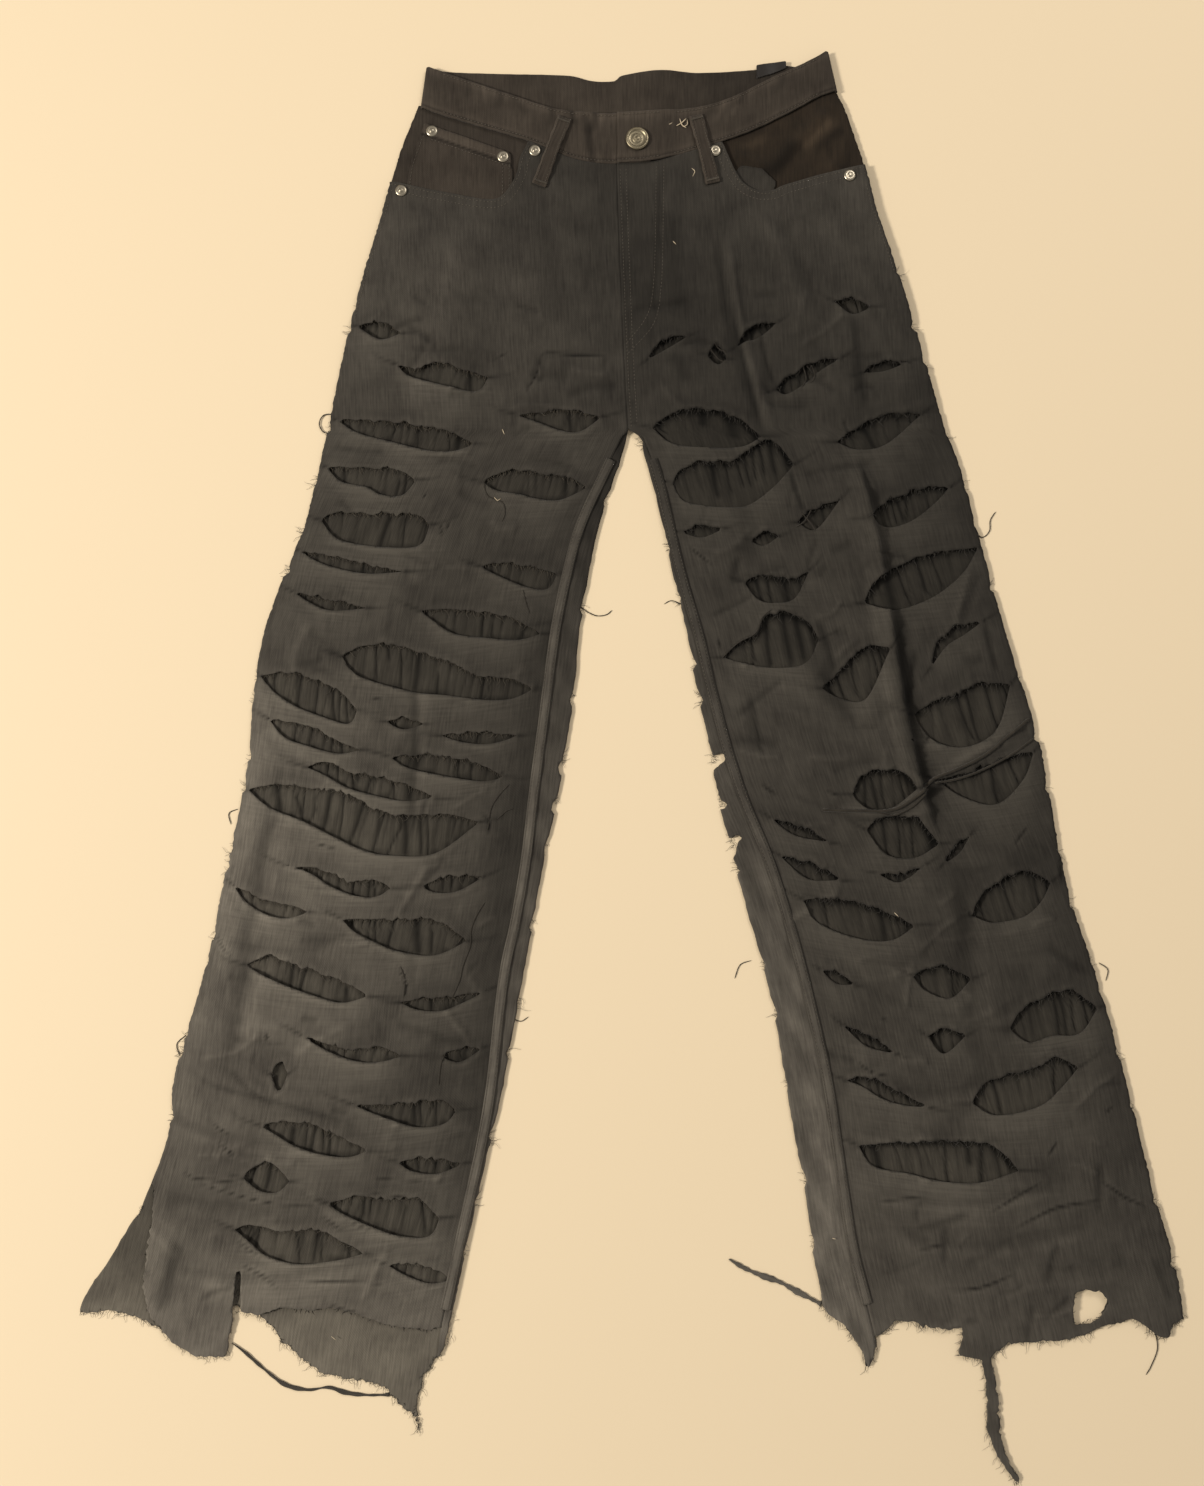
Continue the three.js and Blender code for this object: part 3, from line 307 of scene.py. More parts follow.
def put(tree, kind, settings, sockets):
    """Adds a node of that kind with its settings; a socket takes a plain value or another node's output."""
    made = tree.nodes.new(kind)
    for name, value in settings.items():
        setattr(made, name, value)
    for name, value in sockets.items():
        if isinstance(value, bpy.types.NodeSocket):
            tree.links.new(value, made.inputs[name])
        else:
            made.inputs[name].default_value = value
    return made


def new_finish(name, **shader_values):
    """A material and its shader, with values that are the same all over set on the shader itself."""
    material = bpy.data.materials.new(name)
    material.use_nodes = True
    shader = material.node_tree.nodes["Principled BSDF"]
    for socket, value in shader_values.items():
        shader.inputs[socket.replace("_", " ")].default_value = value
    return material, material.node_tree, shader


# %% [markdown]
# ### Denim
# Twill lines on this cloth are about 0.6 mm apart, finer than the render shows, so they are drawn 1.5 mm
# apart. Slubs, the thick places in the yarn, run along the leg. Where the cloth hangs between two tears
# its cross yarns are pulled into fine lines, which the field 'stretch' brings in. A second field of tone
# multiplies the colour: it is the faded dye, with painted shade in creases, troughs, slits and under lips
# and painted highlight on ridges and rolled lips. 1 is the hip, less is darker and more is paler.
# %% Overdyed denim twill
TWILL_MM = 1.5
SLUB_MM = (1.6, 26.0)
PULLED_MM = (48.0, 2.2)
BLOTCH_MM = 38.0
WAVE_REPEAT_MM = 444


def denim(name, deep, pale, twill=0.35):
    """Shade is 0.55 slub + 0.55 blotch + 0.7 pulled yarn. It mixes the deep colour with the pale one, and
    the tone field of wear with painted shade and highlight multiplies the result. Twill lines, slubs and
    pulled yarns are bumps as well, in that order."""
    material, tree, shader = new_finish(name, Roughness=0.92, Specular_IOR_Level=0.16, Sheen_Weight=0.05,
                                        Sheen_Roughness=0.5)
    cloth = put(tree, "ShaderNodeUVMap", {"uv_map": "cloth"}, {}).outputs["UV"]
    wear_and_shade = put(tree, "ShaderNodeAttribute", {"attribute_name": "wear_and_shade"}, {}).outputs["Fac"]
    stretch = put(tree, "ShaderNodeAttribute", {"attribute_name": "stretch"}, {}).outputs["Fac"]

    # A diagonal band wave at scale 1 repeats every WAVE_REPEAT_MM across its lines.
    lines = put(tree, "ShaderNodeTexWave", {"wave_type": "BANDS", "bands_direction": "DIAGONAL"},
                {"Vector": cloth, "Scale": WAVE_REPEAT_MM / TWILL_MM, "Distortion": 1.4, "Detail": 1.0,
                 "Detail Scale": 2.0}).outputs["Fac"]
    slub_place = put(tree, "ShaderNodeMapping", {}, {"Vector": cloth, "Scale": (1000 / SLUB_MM[0],
                                                                                1000 / SLUB_MM[1], 1)})
    slub = put(tree, "ShaderNodeTexNoise", {}, {"Vector": slub_place.outputs[0], "Scale": 1.0,
                                               "Detail": 3.0, "Roughness": 0.6}).outputs["Fac"]
    pulled_place = put(tree, "ShaderNodeMapping", {}, {"Vector": cloth, "Scale": (1000 / PULLED_MM[0],
                                                                                  1000 / PULLED_MM[1], 1)})
    pulled = put(tree, "ShaderNodeTexNoise", {}, {"Vector": pulled_place.outputs[0], "Scale": 1.0,
                                                 "Detail": 2.0, "Roughness": 0.5}).outputs["Fac"]
    blotch = put(tree, "ShaderNodeTexNoise", {}, {"Vector": cloth, "Scale": 1000 / BLOTCH_MM,
                                                 "Detail": 5.0, "Roughness": 0.62}).outputs["Fac"]

    pull = put(tree, "ShaderNodeMath", {"operation": "MULTIPLY"}, {0: pulled, 1: stretch}).outputs[0]
    grain = put(tree, "ShaderNodeMath", {"operation": "MULTIPLY_ADD"},
                {0: slub, 1: 0.55, 2: put(tree, "ShaderNodeMath", {"operation": "MULTIPLY"},
                                          {0: blotch, 1: 0.55}).outputs[0]}).outputs[0]
    shade = put(tree, "ShaderNodeMath", {"operation": "MULTIPLY_ADD"}, {0: pull, 1: 0.7, 2: grain}).outputs[0]
    fade = put(tree, "ShaderNodeMapRange", {}, {"Value": shade, "From Min": 0.3, "From Max": 0.86}).outputs[0]
    colour = put(tree, "ShaderNodeMix", {"data_type": "RGBA"},
                 {0: fade, 6: dye(deep), 7: dye(pale)}).outputs[2]
    faded = put(tree, "ShaderNodeMix", {"data_type": "RGBA", "blend_type": "MULTIPLY"},
                {0: 1.0, 6: colour, 7: wear_and_shade}).outputs[2]
    tree.links.new(faded, shader.inputs["Base Color"])

    weave = put(tree, "ShaderNodeBump", {}, {"Strength": twill, "Distance": 0.0003,
                                            "Height": lines}).outputs[0]
    yarn = put(tree, "ShaderNodeBump", {}, {"Strength": 0.3, "Distance": 0.0006, "Height": slub,
                                           "Normal": weave}).outputs[0]
    strand = put(tree, "ShaderNodeBump", {}, {"Strength": 0.7, "Distance": 0.002, "Height": pull,
                                             "Normal": yarn}).outputs[0]
    tree.links.new(strand, shader.inputs["Normal"])
    return material


denim_outer = denim("overdyed_black_denim_twill", "#2d2a27", "#5b5750")
denim_rusty = denim("rust_tinged_black_denim", "#2f2924", "#5b534a")
denim_inner = denim("denim_wrong_side", "#2e2b27", "#56524a", twill=0.25)
pocket_cloth = denim("black_cotton_pocketing", "#15110d", "#362d23", twill=0.12)
print("cloth finishes", denim_outer.name, denim_inner.name, pocket_cloth.name)

# %% [markdown]
# ### Yarn, label and metal
# Topstitching is polyester core-spun thread, smoother than the cloth, so its stitches catch a thin light.
# Frayed ends are bare cotton. The label is woven satin with nothing on it. Rivets and button are nickel
# plated: a metal whose colour comes from its reflections, dulled by handling, so its roughness wanders.
# %% Thread, satin and nickel
def yarn(name, code, roughness):
    """Spun thread: its colour wanders from 0.6 to 1.5 times the given one with a fine noise."""
    material, tree, shader = new_finish(name, Roughness=roughness, Specular_IOR_Level=0.25, Sheen_Weight=0.1)
    place = put(tree, "ShaderNodeTexCoord", {}, {}).outputs["Object"]
    tint = put(tree, "ShaderNodeTexNoise", {}, {"Vector": place, "Scale": 180.0,
                                               "Detail": 1.0}).outputs["Fac"]
    base = np.array(dye(code))
    darker, lighter = (*(base[:3] * 0.6).tolist(), 1.0), (*(base[:3] * 1.5).tolist(), 1.0)
    colour = put(tree, "ShaderNodeMix", {"data_type": "RGBA"}, {0: tint, 6: darker, 7: lighter}).outputs[2]
    tree.links.new(colour, shader.inputs["Base Color"])
    return material


def nickel(name, bright, tarnish, roughness):
    """One fine noise makes both: where it is high the plate is brighter and smoother, elsewhere duller."""
    material, tree, shader = new_finish(name, Metallic=1.0)
    place = put(tree, "ShaderNodeTexCoord", {}, {}).outputs["Object"]
    rub = put(tree, "ShaderNodeTexNoise", {}, {"Vector": place, "Scale": 420.0, "Detail": 4.0}).outputs["Fac"]
    colour = put(tree, "ShaderNodeMix", {"data_type": "RGBA"},
                 {0: rub, 6: dye(tarnish), 7: dye(bright)}).outputs[2]
    tree.links.new(colour, shader.inputs["Base Color"])
    dull = put(tree, "ShaderNodeMapRange", {}, {"Value": rub, "From Min": 0.3, "From Max": 0.7,
                                               "To Min": roughness + 0.14, "To Max": roughness}).outputs[0]
    tree.links.new(dull, shader.inputs["Roughness"])
    return material


topstitch = yarn("topstitch_thread", "#4f4940", 0.6)
dark_yarn = yarn("frayed_cotton_dark", "#2c2822", 0.9)
brown_yarn = yarn("frayed_cotton_worn", "#4d463b", 0.9)
pale_yarn = yarn("tacking_thread_pale", "#b9ab93", 0.8)
satin = yarn("woven_satin_label", "#1b1714", 0.45)
rivet_metal = nickel("nickel_plate_rivet", "#c9c2b2", "#8f8674", 0.28)
button_metal = nickel("nickel_plate_button", "#a39a84", "#6b6350", 0.34)
print("small finishes", [m.name for m in (topstitch, dark_yarn, brown_yarn, pale_yarn, satin, rivet_metal)])

# %% [markdown]
# ## The pattern
# The garment is cut by numbers: each edge is a curve, and each tear is a lens between two lips. A tear's
# lower lip is the taut rim of the cloth below it and stays clean. Its upper lip hangs slack and frays. These
# are the same values as the plain solids have, so the cloth lands on them.
# %% Cut edges in garment millimetres
# Edges of the legs
right_outer = along([
    [640,-168],[599,-173],[550,-192],[500,-205],[400,-232],[300,-252],[250,-262],[200,-274],
    [150,-293],[100,-309],[50,-317],[0,-320],[-50,-326],[-100,-336],[-200,-355],[-300,-381],
    [-350,-385],[-400,-403],[-450,-430],[-500,-459],[-660,-470],
])
right_inner = along([
    [300,24],[287,24],[250,13],[200,-3],[150,-13],[100,-21],[50,-25],[0,-32],[-50,-40],[-100,-51],
    [-200,-69],[-300,-87],[-400,-109],[-500,-131],[-540,-140],[-660,-160],
])
left_inner = along([
    [300,30],[285,33],[250,44],[200,56],[150,66],[100,78],[50,86],[0,97],[-50,105],[-100,117],
    [-150,130],[-200,144],[-250,155],[-300,163],[-350,171],[-400,180],[-450,186],[-490,193],
    [-660,205],
])
left_outer = along([
    [640,218],[605,228],[550,245],[500,257],[450,273],[400,288],[300,315],[250,332],[200,344],
    [100,369],[0,397],[-100,413],[-150,424],[-200,440],[-300,466],[-400,488],[-450,502],[-500,510],
    [-660,520],
])

# Centre seam from the waistband to the crotch, and the inseams on top of the legs
centre_seam = along([[600,13.5],[545,14],[450,17],[350,21],[287,24.5]])
right_inseam = along([
    [287,20],[270,12],[250,2],[200,-20],[150,-33],[100,-43],[50,-50],[0,-56],[-50,-62],[-100,-68],
    [-160,-78],[-205,-87],[-300,-98],[-350,-106],[-400,-116],[-470,-131],[-520,-142],[-560,-147],
    [-660,-162],
])
left_inseam = along([
    [287,37],[250,50],[200,62],[150,74],[100,88],[50,99],[0,112],[-50,128],[-100,148],[-150,164],
    [-200,178],[-250,190],[-300,200],[-350,207],[-400,214],[-450,222],[-500,234],[-540,242],
    [-660,250],
])


# Rips: [left tip], [right tip], [points along the lower lip], [points along the upper lip]
RIGHT_LEG_RIPS = [
    [[-228,388],[-185,381],[[-206,375]],[[-205,392]]],
    [[-190,351],[-105,339],[[-178,340],[-148,332],[-116,326]],[[-172,348],[-150,353],[-125,346]]],
    [[-246,300],[-118,276],[[-226,287],[-197,279],[-165,271],[-138,269]],[[-205,298],[-165,293],
      [-138,287]]],
    [[-80,304],[0,302],[[-60,297],[-38,289],[-20,288]],[[-58,306],[-30,308]]],
    [[-254,255],[-171,242],[[-240,241],[-217,236],[-204,229],[-184,228]],[[-220,254],[-190,253]]],
    [[-110,241],[-13,236],[[-98,233],[-75,229],[-60,225],[-38,224]],[[-98,247],[-80,252],[-50,247],
      [-30,245]]],
    [[-258,205],[-158,200],[[-248,192],[-236,185],[-202,180],[-168,181]],[[-245,212],[-205,211],
      [-170,210]]],
    [[-278,177],[-180,157],[[-260,166],[-238,159],[-212,155]],[[-250,172],[-212,163]]],
    [[-112,162],[-41,155],[[-103,157],[-90,151],[-70,143],[-50,141]],[[-90,165],[-60,161]]],
    [[-283,139],[-214,123],[[-268,129],[-248,121]],[[-262,134],[-235,129]]],
    [[-166,121],[-55,100],[[-156,113],[-136,100],[-108,96],[-76,94]],[[-140,122],[-105,119],[-80,113]]],
    [[-237,79],[-62,49],[[-229,67],[-215,58],[-171,46],[-140,43],[-108,39],[-82,40]],[[-222,87],[-195,90],
      [-168,83],[-140,74],[-112,61],[-82,58]]],
    [[-311,61],[-222,29],[[-300,48],[-280,34],[-255,24],[-230,17]],[[-288,64],[-257,56],[-236,45]]],
    [[-303,22],[-218,-7],[[-288,5],[-270,-2],[-240,-10]],[[-278,18],[-262,14],[-240,2]]],
    [[-196,19],[-160,17],[[-180,12]],[[-180,23]]],
    [[-146,6],[-76,6],[[-124,0],[-100,-1]],[[-130,9],[-100,9]]],
    [[-192,-13],[-88,-31],[[-178,-22],[-155,-28],[-120,-34],[-103,-35]],[[-171,-11],[-145,-12],[-115,-18]]],
    [[-268,-22],[-150,-50],[[-250,-30],[-230,-41],[-205,-48],[-178,-53]],[[-248,-18],[-225,-28],[-205,-30],
      [-178,-38]]],
    [[-321,-42],[-110,-72],[[-300,-59],[-270,-71],[-240,-86],[-213,-98],[-188,-102],[-150,-100]],
      [[-290,-38],[-260,-42],[-232,-45],[-205,-60],[-178,-66],[-140,-65]]],
    [[-286,-110],[-189,-131],[[-262,-118],[-245,-129],[-222,-138],[-203,-139]],[[-252,-115],[-225,-125],
      [-205,-124]]],
    [[-162,-130],[-106,-121],[[-150,-135],[-130,-134]],[[-148,-123],[-128,-120]]],
    [[-332,-128],[-263,-153],[[-318,-145],[-300,-155],[-282,-158]],[[-305,-141],[-280,-146]]],
    [[-233,-159],[-120,-178],[[-222,-170],[-204,-179],[-184,-187],[-150,-191]],[[-195,-159],[-150,-160]]],
    [[-319,-200],[-208,-227],[[-300,-210],[-282,-218],[-256,-227],[-232,-233]],[[-298,-191],[-278,-198],
      [-252,-207],[-228,-216]]],
    [[-180,-233],[-102,-222],[[-165,-239],[-143,-240],[-122,-232]],[[-160,-229],[-130,-227]]],
    [[-268,-261],[-178,-280],[[-245,-275],[-220,-284],[-198,-285]],[[-248,-268],[-222,-274],[-196,-272]]],
    [[-143,-281],[-106,-273],[[-126,-285]],[[-130,-273]]],
    [[-294,-296],[-279,-296],[[-287,-311]],[[-286,-283]]],
    [[-224,-321],[-129,-328],[[-205,-329],[-185,-336],[-163,-342],[-140,-339]],[[-200,-323],[-168,-320],
      [-142,-319]]],
    [[-302,-341],[-206,-362],[[-288,-349],[-275,-357],[-250,-365],[-225,-368]],[[-285,-337],[-255,-340],
      [-238,-348]]],
    [[-181,-372],[-122,-374],[[-168,-380],[-145,-382]],[[-165,-369],[-145,-369]]],
    [[-317,-386],[-276,-389],[[-302,-397],[-286,-398]],[[-308,-377],[-290,-374]]],
    [[-242,-408],[-143,-421],[[-228,-417],[-200,-429],[-176,-436],[-152,-436]],[[-216,-402],[-190,-404],
      [-163,-404]]],
    [[-324,-430],[-208,-451],[[-309,-442],[-295,-453],[-268,-460],[-234,-457]],[[-308,-426],[-280,-432],
      [-250,-430],[-228,-441]]],
    [[-190,-460],[-132,-474],[[-172,-470],[-150,-477]],[[-165,-460],[-148,-464]]],
]
LEFT_LEG_RIPS = [
    [[42,356],[80,378],[[62,367]],[[50,368],[63,377]]],
    [[97,360],[116,357],[[107,351]],[[106,370]]],
    [[124,368],[163,391],[[146,377]],[[138,386]]],
    [[161,328],[221,357],[[170,323],[186,332],[203,346]],[[170,338],[188,349],[205,355]]],
    [[216,411],[250,405],[[232,399]],[[232,413]]],
    [[241,343],[284,354],[[262,345]],[[256,353]]],
    [[46,292],[147,283],[[65,277],[98,273],[130,274]],[[60,302],[80,309],[105,307],[125,301]]],
    [[216,278],[296,305],[[236,271],[262,276]],[[235,291],[262,303]]],
    [[65,240],[177,257],[[74,224],[92,219],[114,217],[135,219],[158,236]],[[72,251],[92,260],[118,260],
      [140,274],[158,279]]],
    [[179,203],[219,224],[[196,196]],[[192,214]]],
    [[246,207],[321,236],[[262,198],[284,204],[304,219]],[[256,219],[275,228],[298,235]]],
    [[72,194],[112,197],[[92,189]],[[92,200]]],
    [[135,186],[163,190],[[148,181]],[[150,194]]],
    [[239,128],[346,180],[[265,121],[300,132],[329,154]],[[250,148],[275,164],[302,173]]],
    [[130,147],[190,158],[[143,131],[160,128],[177,133]],[[140,153],[158,153],[175,150]]],
    [[199,50],[262,86],[[215,41],[240,40]],[[212,60],[225,75],[243,88]]],
    [[110,78],[198,94],[[135,71],[162,68],[186,73]],[[125,91],[141,100],[149,115],[168,119],[188,110]]],
    [[299,68],[349,112],[[314,88],[331,99]],[[306,92],[322,105]]],
    [[282,25],[372,53],[[300,2],[330,-4],[358,12]],[[303,38],[322,44],[343,54]]],
    [[226,-48],[284,-42],[[240,-60],[262,-59]],[[237,-28],[270,-26]]],
    [[303,-34],[392,-8],[[325,-49],[356,-56],[381,-34]],[[335,-26],[368,-13]]],
    [[238,-79],[304,-92],[[256,-101],[282,-104]],[[252,-68],[282,-68]]],
    [[152,-68],[206,-90],[[174,-84]],[[182,-77]]],
    [[247,-118],[292,-110],[[268,-126]],[[270,-118]]],
    [[307,-110],[332,-84],[[322,-100]],[[317,-94]]],
    [[160,-102],[216,-124],[[185,-123]],[[192,-110]]],
    [[332,-156],[404,-126],[[350,-162],[378,-157],[394,-144]],[[338,-141],[354,-127],[381,-116]]],
    [[181,-142],[281,-165],[[190,-159],[212,-171],[240,-178],[262,-177]],[[205,-140],[245,-149]]],
    [[277,-209],[331,-212],[[290,-223],[312,-229]],[[302,-200]]],
    [[196,-204],[226,-217],[[209,-216]],[[212,-206]]],
    [[363,-256],[443,-238],[[380,-268],[402,-262],[426,-260]],[[372,-241],[392,-229],[418,-222]]],
    [[214,-252],[262,-278],[[235,-271]],[[240,-263]]],
    [[290,-262],[325,-262],[[304,-278]],[[306,-255]]],
    [[327,-321],[424,-290],[[350,-332],[388,-324],[408,-308]],[[337,-307],[352,-299],[385,-290],
      [405,-281]]],
    [[216,-301],[291,-325],[[232,-307],[248,-317],[268,-323]],[[235,-298],[256,-307],[275,-317]]],
    [[227,-358],[369,-380],[[240,-376],[270,-382],[300,-389],[335,-390]],[[262,-355],[322,-354],
      [350,-361]]],
]

# Outlines of the front panels, from the waistband round the leg
POCKET_EDGE_RIGHT = [
    [-70,564],[-77,550],[-80,535],[-88,520],[-98,511],[-115,511],[-147,517],[-188,526],[-198,527],
]
POCKET_EDGE_LEFT = [
    [113,566],[119,552],[125,538],[133,526],[146,519],[160,519],[174,525],[232,541],[247,544],
]
FRONT_HEM_RIGHT = [
    [-146,-515],[-152,-517],[-180,-514],[-210,-505],[-237,-497],[-255,-500],[-280,-497],[-300,-503],
    [-318.5,-501],[-318.5,-467],[-320.5,-467],[-323,-500],[-327,-524],[-330,-540],[-355,-540],
    [-372,-530],[-380,-524],[-396,-505],[-404,-480],[-400,-450],[-396,-420],[-396,-392],
]
FRONT_HEM_LEFT = [
    [241,-522],[250,-517],[257,-508],[275,-511],[300,-516],[316,-515],[313,-538],[325,-541],
    [333,-543],[336,-560],[337,-582],[336,-602],[344,-622],[360,-646],[364,-645],[352,-622],
    [346,-604],[347,-585],[344,-560],[341,-540],[353,-530],[370,-527],[403,-526],[425,-520],
    [445,-512],[465,-507],[475,-512],[490,-523],[497,-524],[500,-513],[509,-508],
]
BACK_HEM_RIGHT = [
    [-131,-500],[-133,-520],[-140,-535],[-151,-549],[-158,-560],[-162,-582],[-160,-606],[-165,-588],
    [-178,-580],[-190,-566],[-205,-561],[-230,-558],[-247,-553],[-265,-541],[-280,-527],[-290,-515],
    [-300,-505],[-312,-499],[-325,-497],[-345,-512],[-372,-516],[-385,-519],[-401,-509],[-430,-501],
    [-459,-503],
]
BACK_HEM_LEFT = [
    [193,-492],[197,-503],[212,-512],[222,-524],[229,-537],[232,-549],[237,-545],[240,-535],
    [241,-520],[258,-504],[300,-508],[335,-518],[380,-517],[420,-511],[445,-503],[465,-498],
    [485,-510],[497,-516],[509,-500],
]
HEM_HOLE = [
    [413,-500],[415,-485],[425,-482],[436,-484],[446,-493],[438,-506],[428,-512],[415,-513],
]
band_lower = across([
    [-173,600],[-120,583],[-90,574],[-63,565],[-35,553],[-10,546],[14,545],[50,548],[95,561],
    [140,577],[180,597],[205,611],[223,617],
])
band_upper = across([
    [-168,641],[-120,624],[-85,612],[-45,599],[0,594],[50,596],[95,601],[125,611],[160,629],
    [190,643],[216,657],
])
back_band_upper = across([
    [-168,641],[-147,637],[-97,635],[-30,633],[-10,628],[12,628],[18,633],[55,639],[90,636],
    [145,639],[174,643],[187,642],[200,650],[216,657],
])
back_band_lower = across([[-172,600],[-100,597],[223,597]])
facing_right_outline = [
    [-172.5,598],[-189,560],[-203,508],[-150,504],[-100,497],[-78,505],[-68,525],[-62,548],
    [-60,562.5],[-90,573.4],[-120,582.5],
]
coin_pocket_outline = [
    [-167,585],[-86,556],[-84,535],[-84,503],[-100,500],[-150,507],[-185,514],[-180,545],
]
bag_left_outline = [
    [101,562.2],[140,576.2],[180,596.2],[205,610.2],[220,613],[228,602],[245,550],[251,522],
    [232,520],[172,508],[150,506],[128,512],[112,530],[104,548],
]
facing_left_outline = [[119,532],[131,543.5],[150,541],[163,528],[160,511],[140,509],[126,515]]

# %% [markdown]
# The side seams are torn too: where a tear runs off the edge, the edge steps in a little. The nicks are
# placed down each edge, each a short saw tooth, sharp below and sloping above.
# %% Side edges with their nicks
RIGHT_OUTER_NICKS = [404,384,290,241,194,156,57,39,-15,-43,-98,-114,-175,-198,-262,-280,-335,-417]
RIGHT_INNER_NICKS = [222,121,39,-15,-52,-98,-166,-234,-280,-353,-408,-450]
LEFT_INNER_NICKS = [276,180,130,71,39,-16,-55,-92,-116,-202,-243,-307,-389,-444]
LEFT_OUTER_NICKS = [439,386,354,285,235,199,140,57,3,-43,-98,-148,-198,-225,-280,-326,-408,-462]


def nicked(edge, nicks, inward, seed, deepest=4.6):
    """An edge with saw-tooth nicks: at each nick it moves inward by a depth that falls off over 3 mm
    below and 11 mm above, and everywhere by a fine wander of 0.35 mm."""
    rng = np.random.default_rng(seed)
    depths = rng.uniform(1.2, deepest, len(nicks))
    wander = rng.normal(0, 0.35, 700)

    def curve(y):
        y = np.asarray(y, float)
        shift = np.interp(y, np.linspace(-700, 700, 700), wander)
        for at, depth in zip(nicks, depths):
            gap = y - at
            shift = shift + depth * np.where(gap < 0, np.exp(-(gap / 1.6) ** 2), np.exp(-gap / 7.0))
        return edge(y) + inward * shift

    return curve


right_side = nicked(right_outer, RIGHT_OUTER_NICKS, 1, 11)
left_side = nicked(left_outer, LEFT_OUTER_NICKS, -1, 12)
right_crease = nicked(right_inner, RIGHT_INNER_NICKS, -1, 13, 3.6)
left_crease = nicked(left_inner, LEFT_INNER_NICKS, 1, 14, 5.4)

# %% [markdown]
# ## Tears
# Each tear becomes two lines, one for each lip. The upper one is roughened, because its cross yarns have
# slipped out. The distance to each lip then says how the cloth round the tear behaves: it rolls over just
# under the lower lip, with a painted highlight on the roll and a painted shadow line at the lip, pulls
# into fine lines below that, and lifts and curls along the upper lip, with a painted shadow line at a
# proud one.
# %% Lips of the tears
def evenly(line, spacing):
    """The same line with points at equal steps: places along it are read off its running length."""
    length = np.concatenate([[0], np.cumsum(np.hypot(*np.diff(line, axis=0).T))])
    count = max(int(round(length[-1] / spacing)), 4)
    at = np.linspace(0, length[-1], count + 1)
    return np.stack([np.interp(at, length, line[:, k]) for k in (0, 1)], -1)


def lips_of(tears, seed):
    """For each tear its lower lip, its frayed upper lip and the closed outline of the two. The upper lip
    wanders up and down by about 1 mm, less towards its tips."""
    rng = np.random.default_rng(seed)
    found = []
    for left, right, lower, upper in tears:
        low = evenly(smooth_line([left, *lower, right], 8), 3.0)
        high = evenly(smooth_line([left, *upper, right], 8), 1.9)
        taper = np.sin(np.pi * np.linspace(0, 1, len(high)))
        high[:, 1] += rng.normal(0, 1.0, len(high)) * taper + 0.8 * np.sin(high[:, 0] / 3.1 + seed) * taper
        found.append({"low": low, "high": high, "outline": np.vstack([low, high[-2:0:-1]]),
                      "pitch": rng.uniform(5.5, 8.5), "phase": rng.uniform(0, 6.28)})
    return found


right_tears = lips_of(RIGHT_LEG_RIPS, 3)
left_tears = lips_of(LEFT_LEG_RIPS, 4)
print("tears cut through", len(right_tears), len(left_tears))


def near_box(x, y, outline, margin):
    """Numbers of the places within a margin of an outline's box, so that far places cost nothing."""
    low, high = outline.min(0) - margin, outline.max(0) + margin
    return np.nonzero((x > low[0]) & (x < high[0]) & (y > low[1]) & (y < high[1]))[0]


def tails_of(tear):
    """Short lines that carry on from a tear's two tips and bend up a little. Their reach is a third of
    the tear's width and 8 mm, at most 40 mm, and they run for four fifths of it."""
    low = tear["low"]
    reach = min(40.0, 0.34 * np.ptp(low[:, 0]) + 8)
    tails = []
    for tip, inner in ((low[0], tear["high"][4]), (low[-1], tear["high"][-5])):
        way = tip - (inner + low[len(low) // 2]) / 2
        way = way / np.hypot(*way)
        bend = np.array([0, 0.25 * reach])
        tails.append(np.array([tip, tip + way * reach * 0.5, tip + way * reach * 0.8 + bend * 0.5]))
    return tails


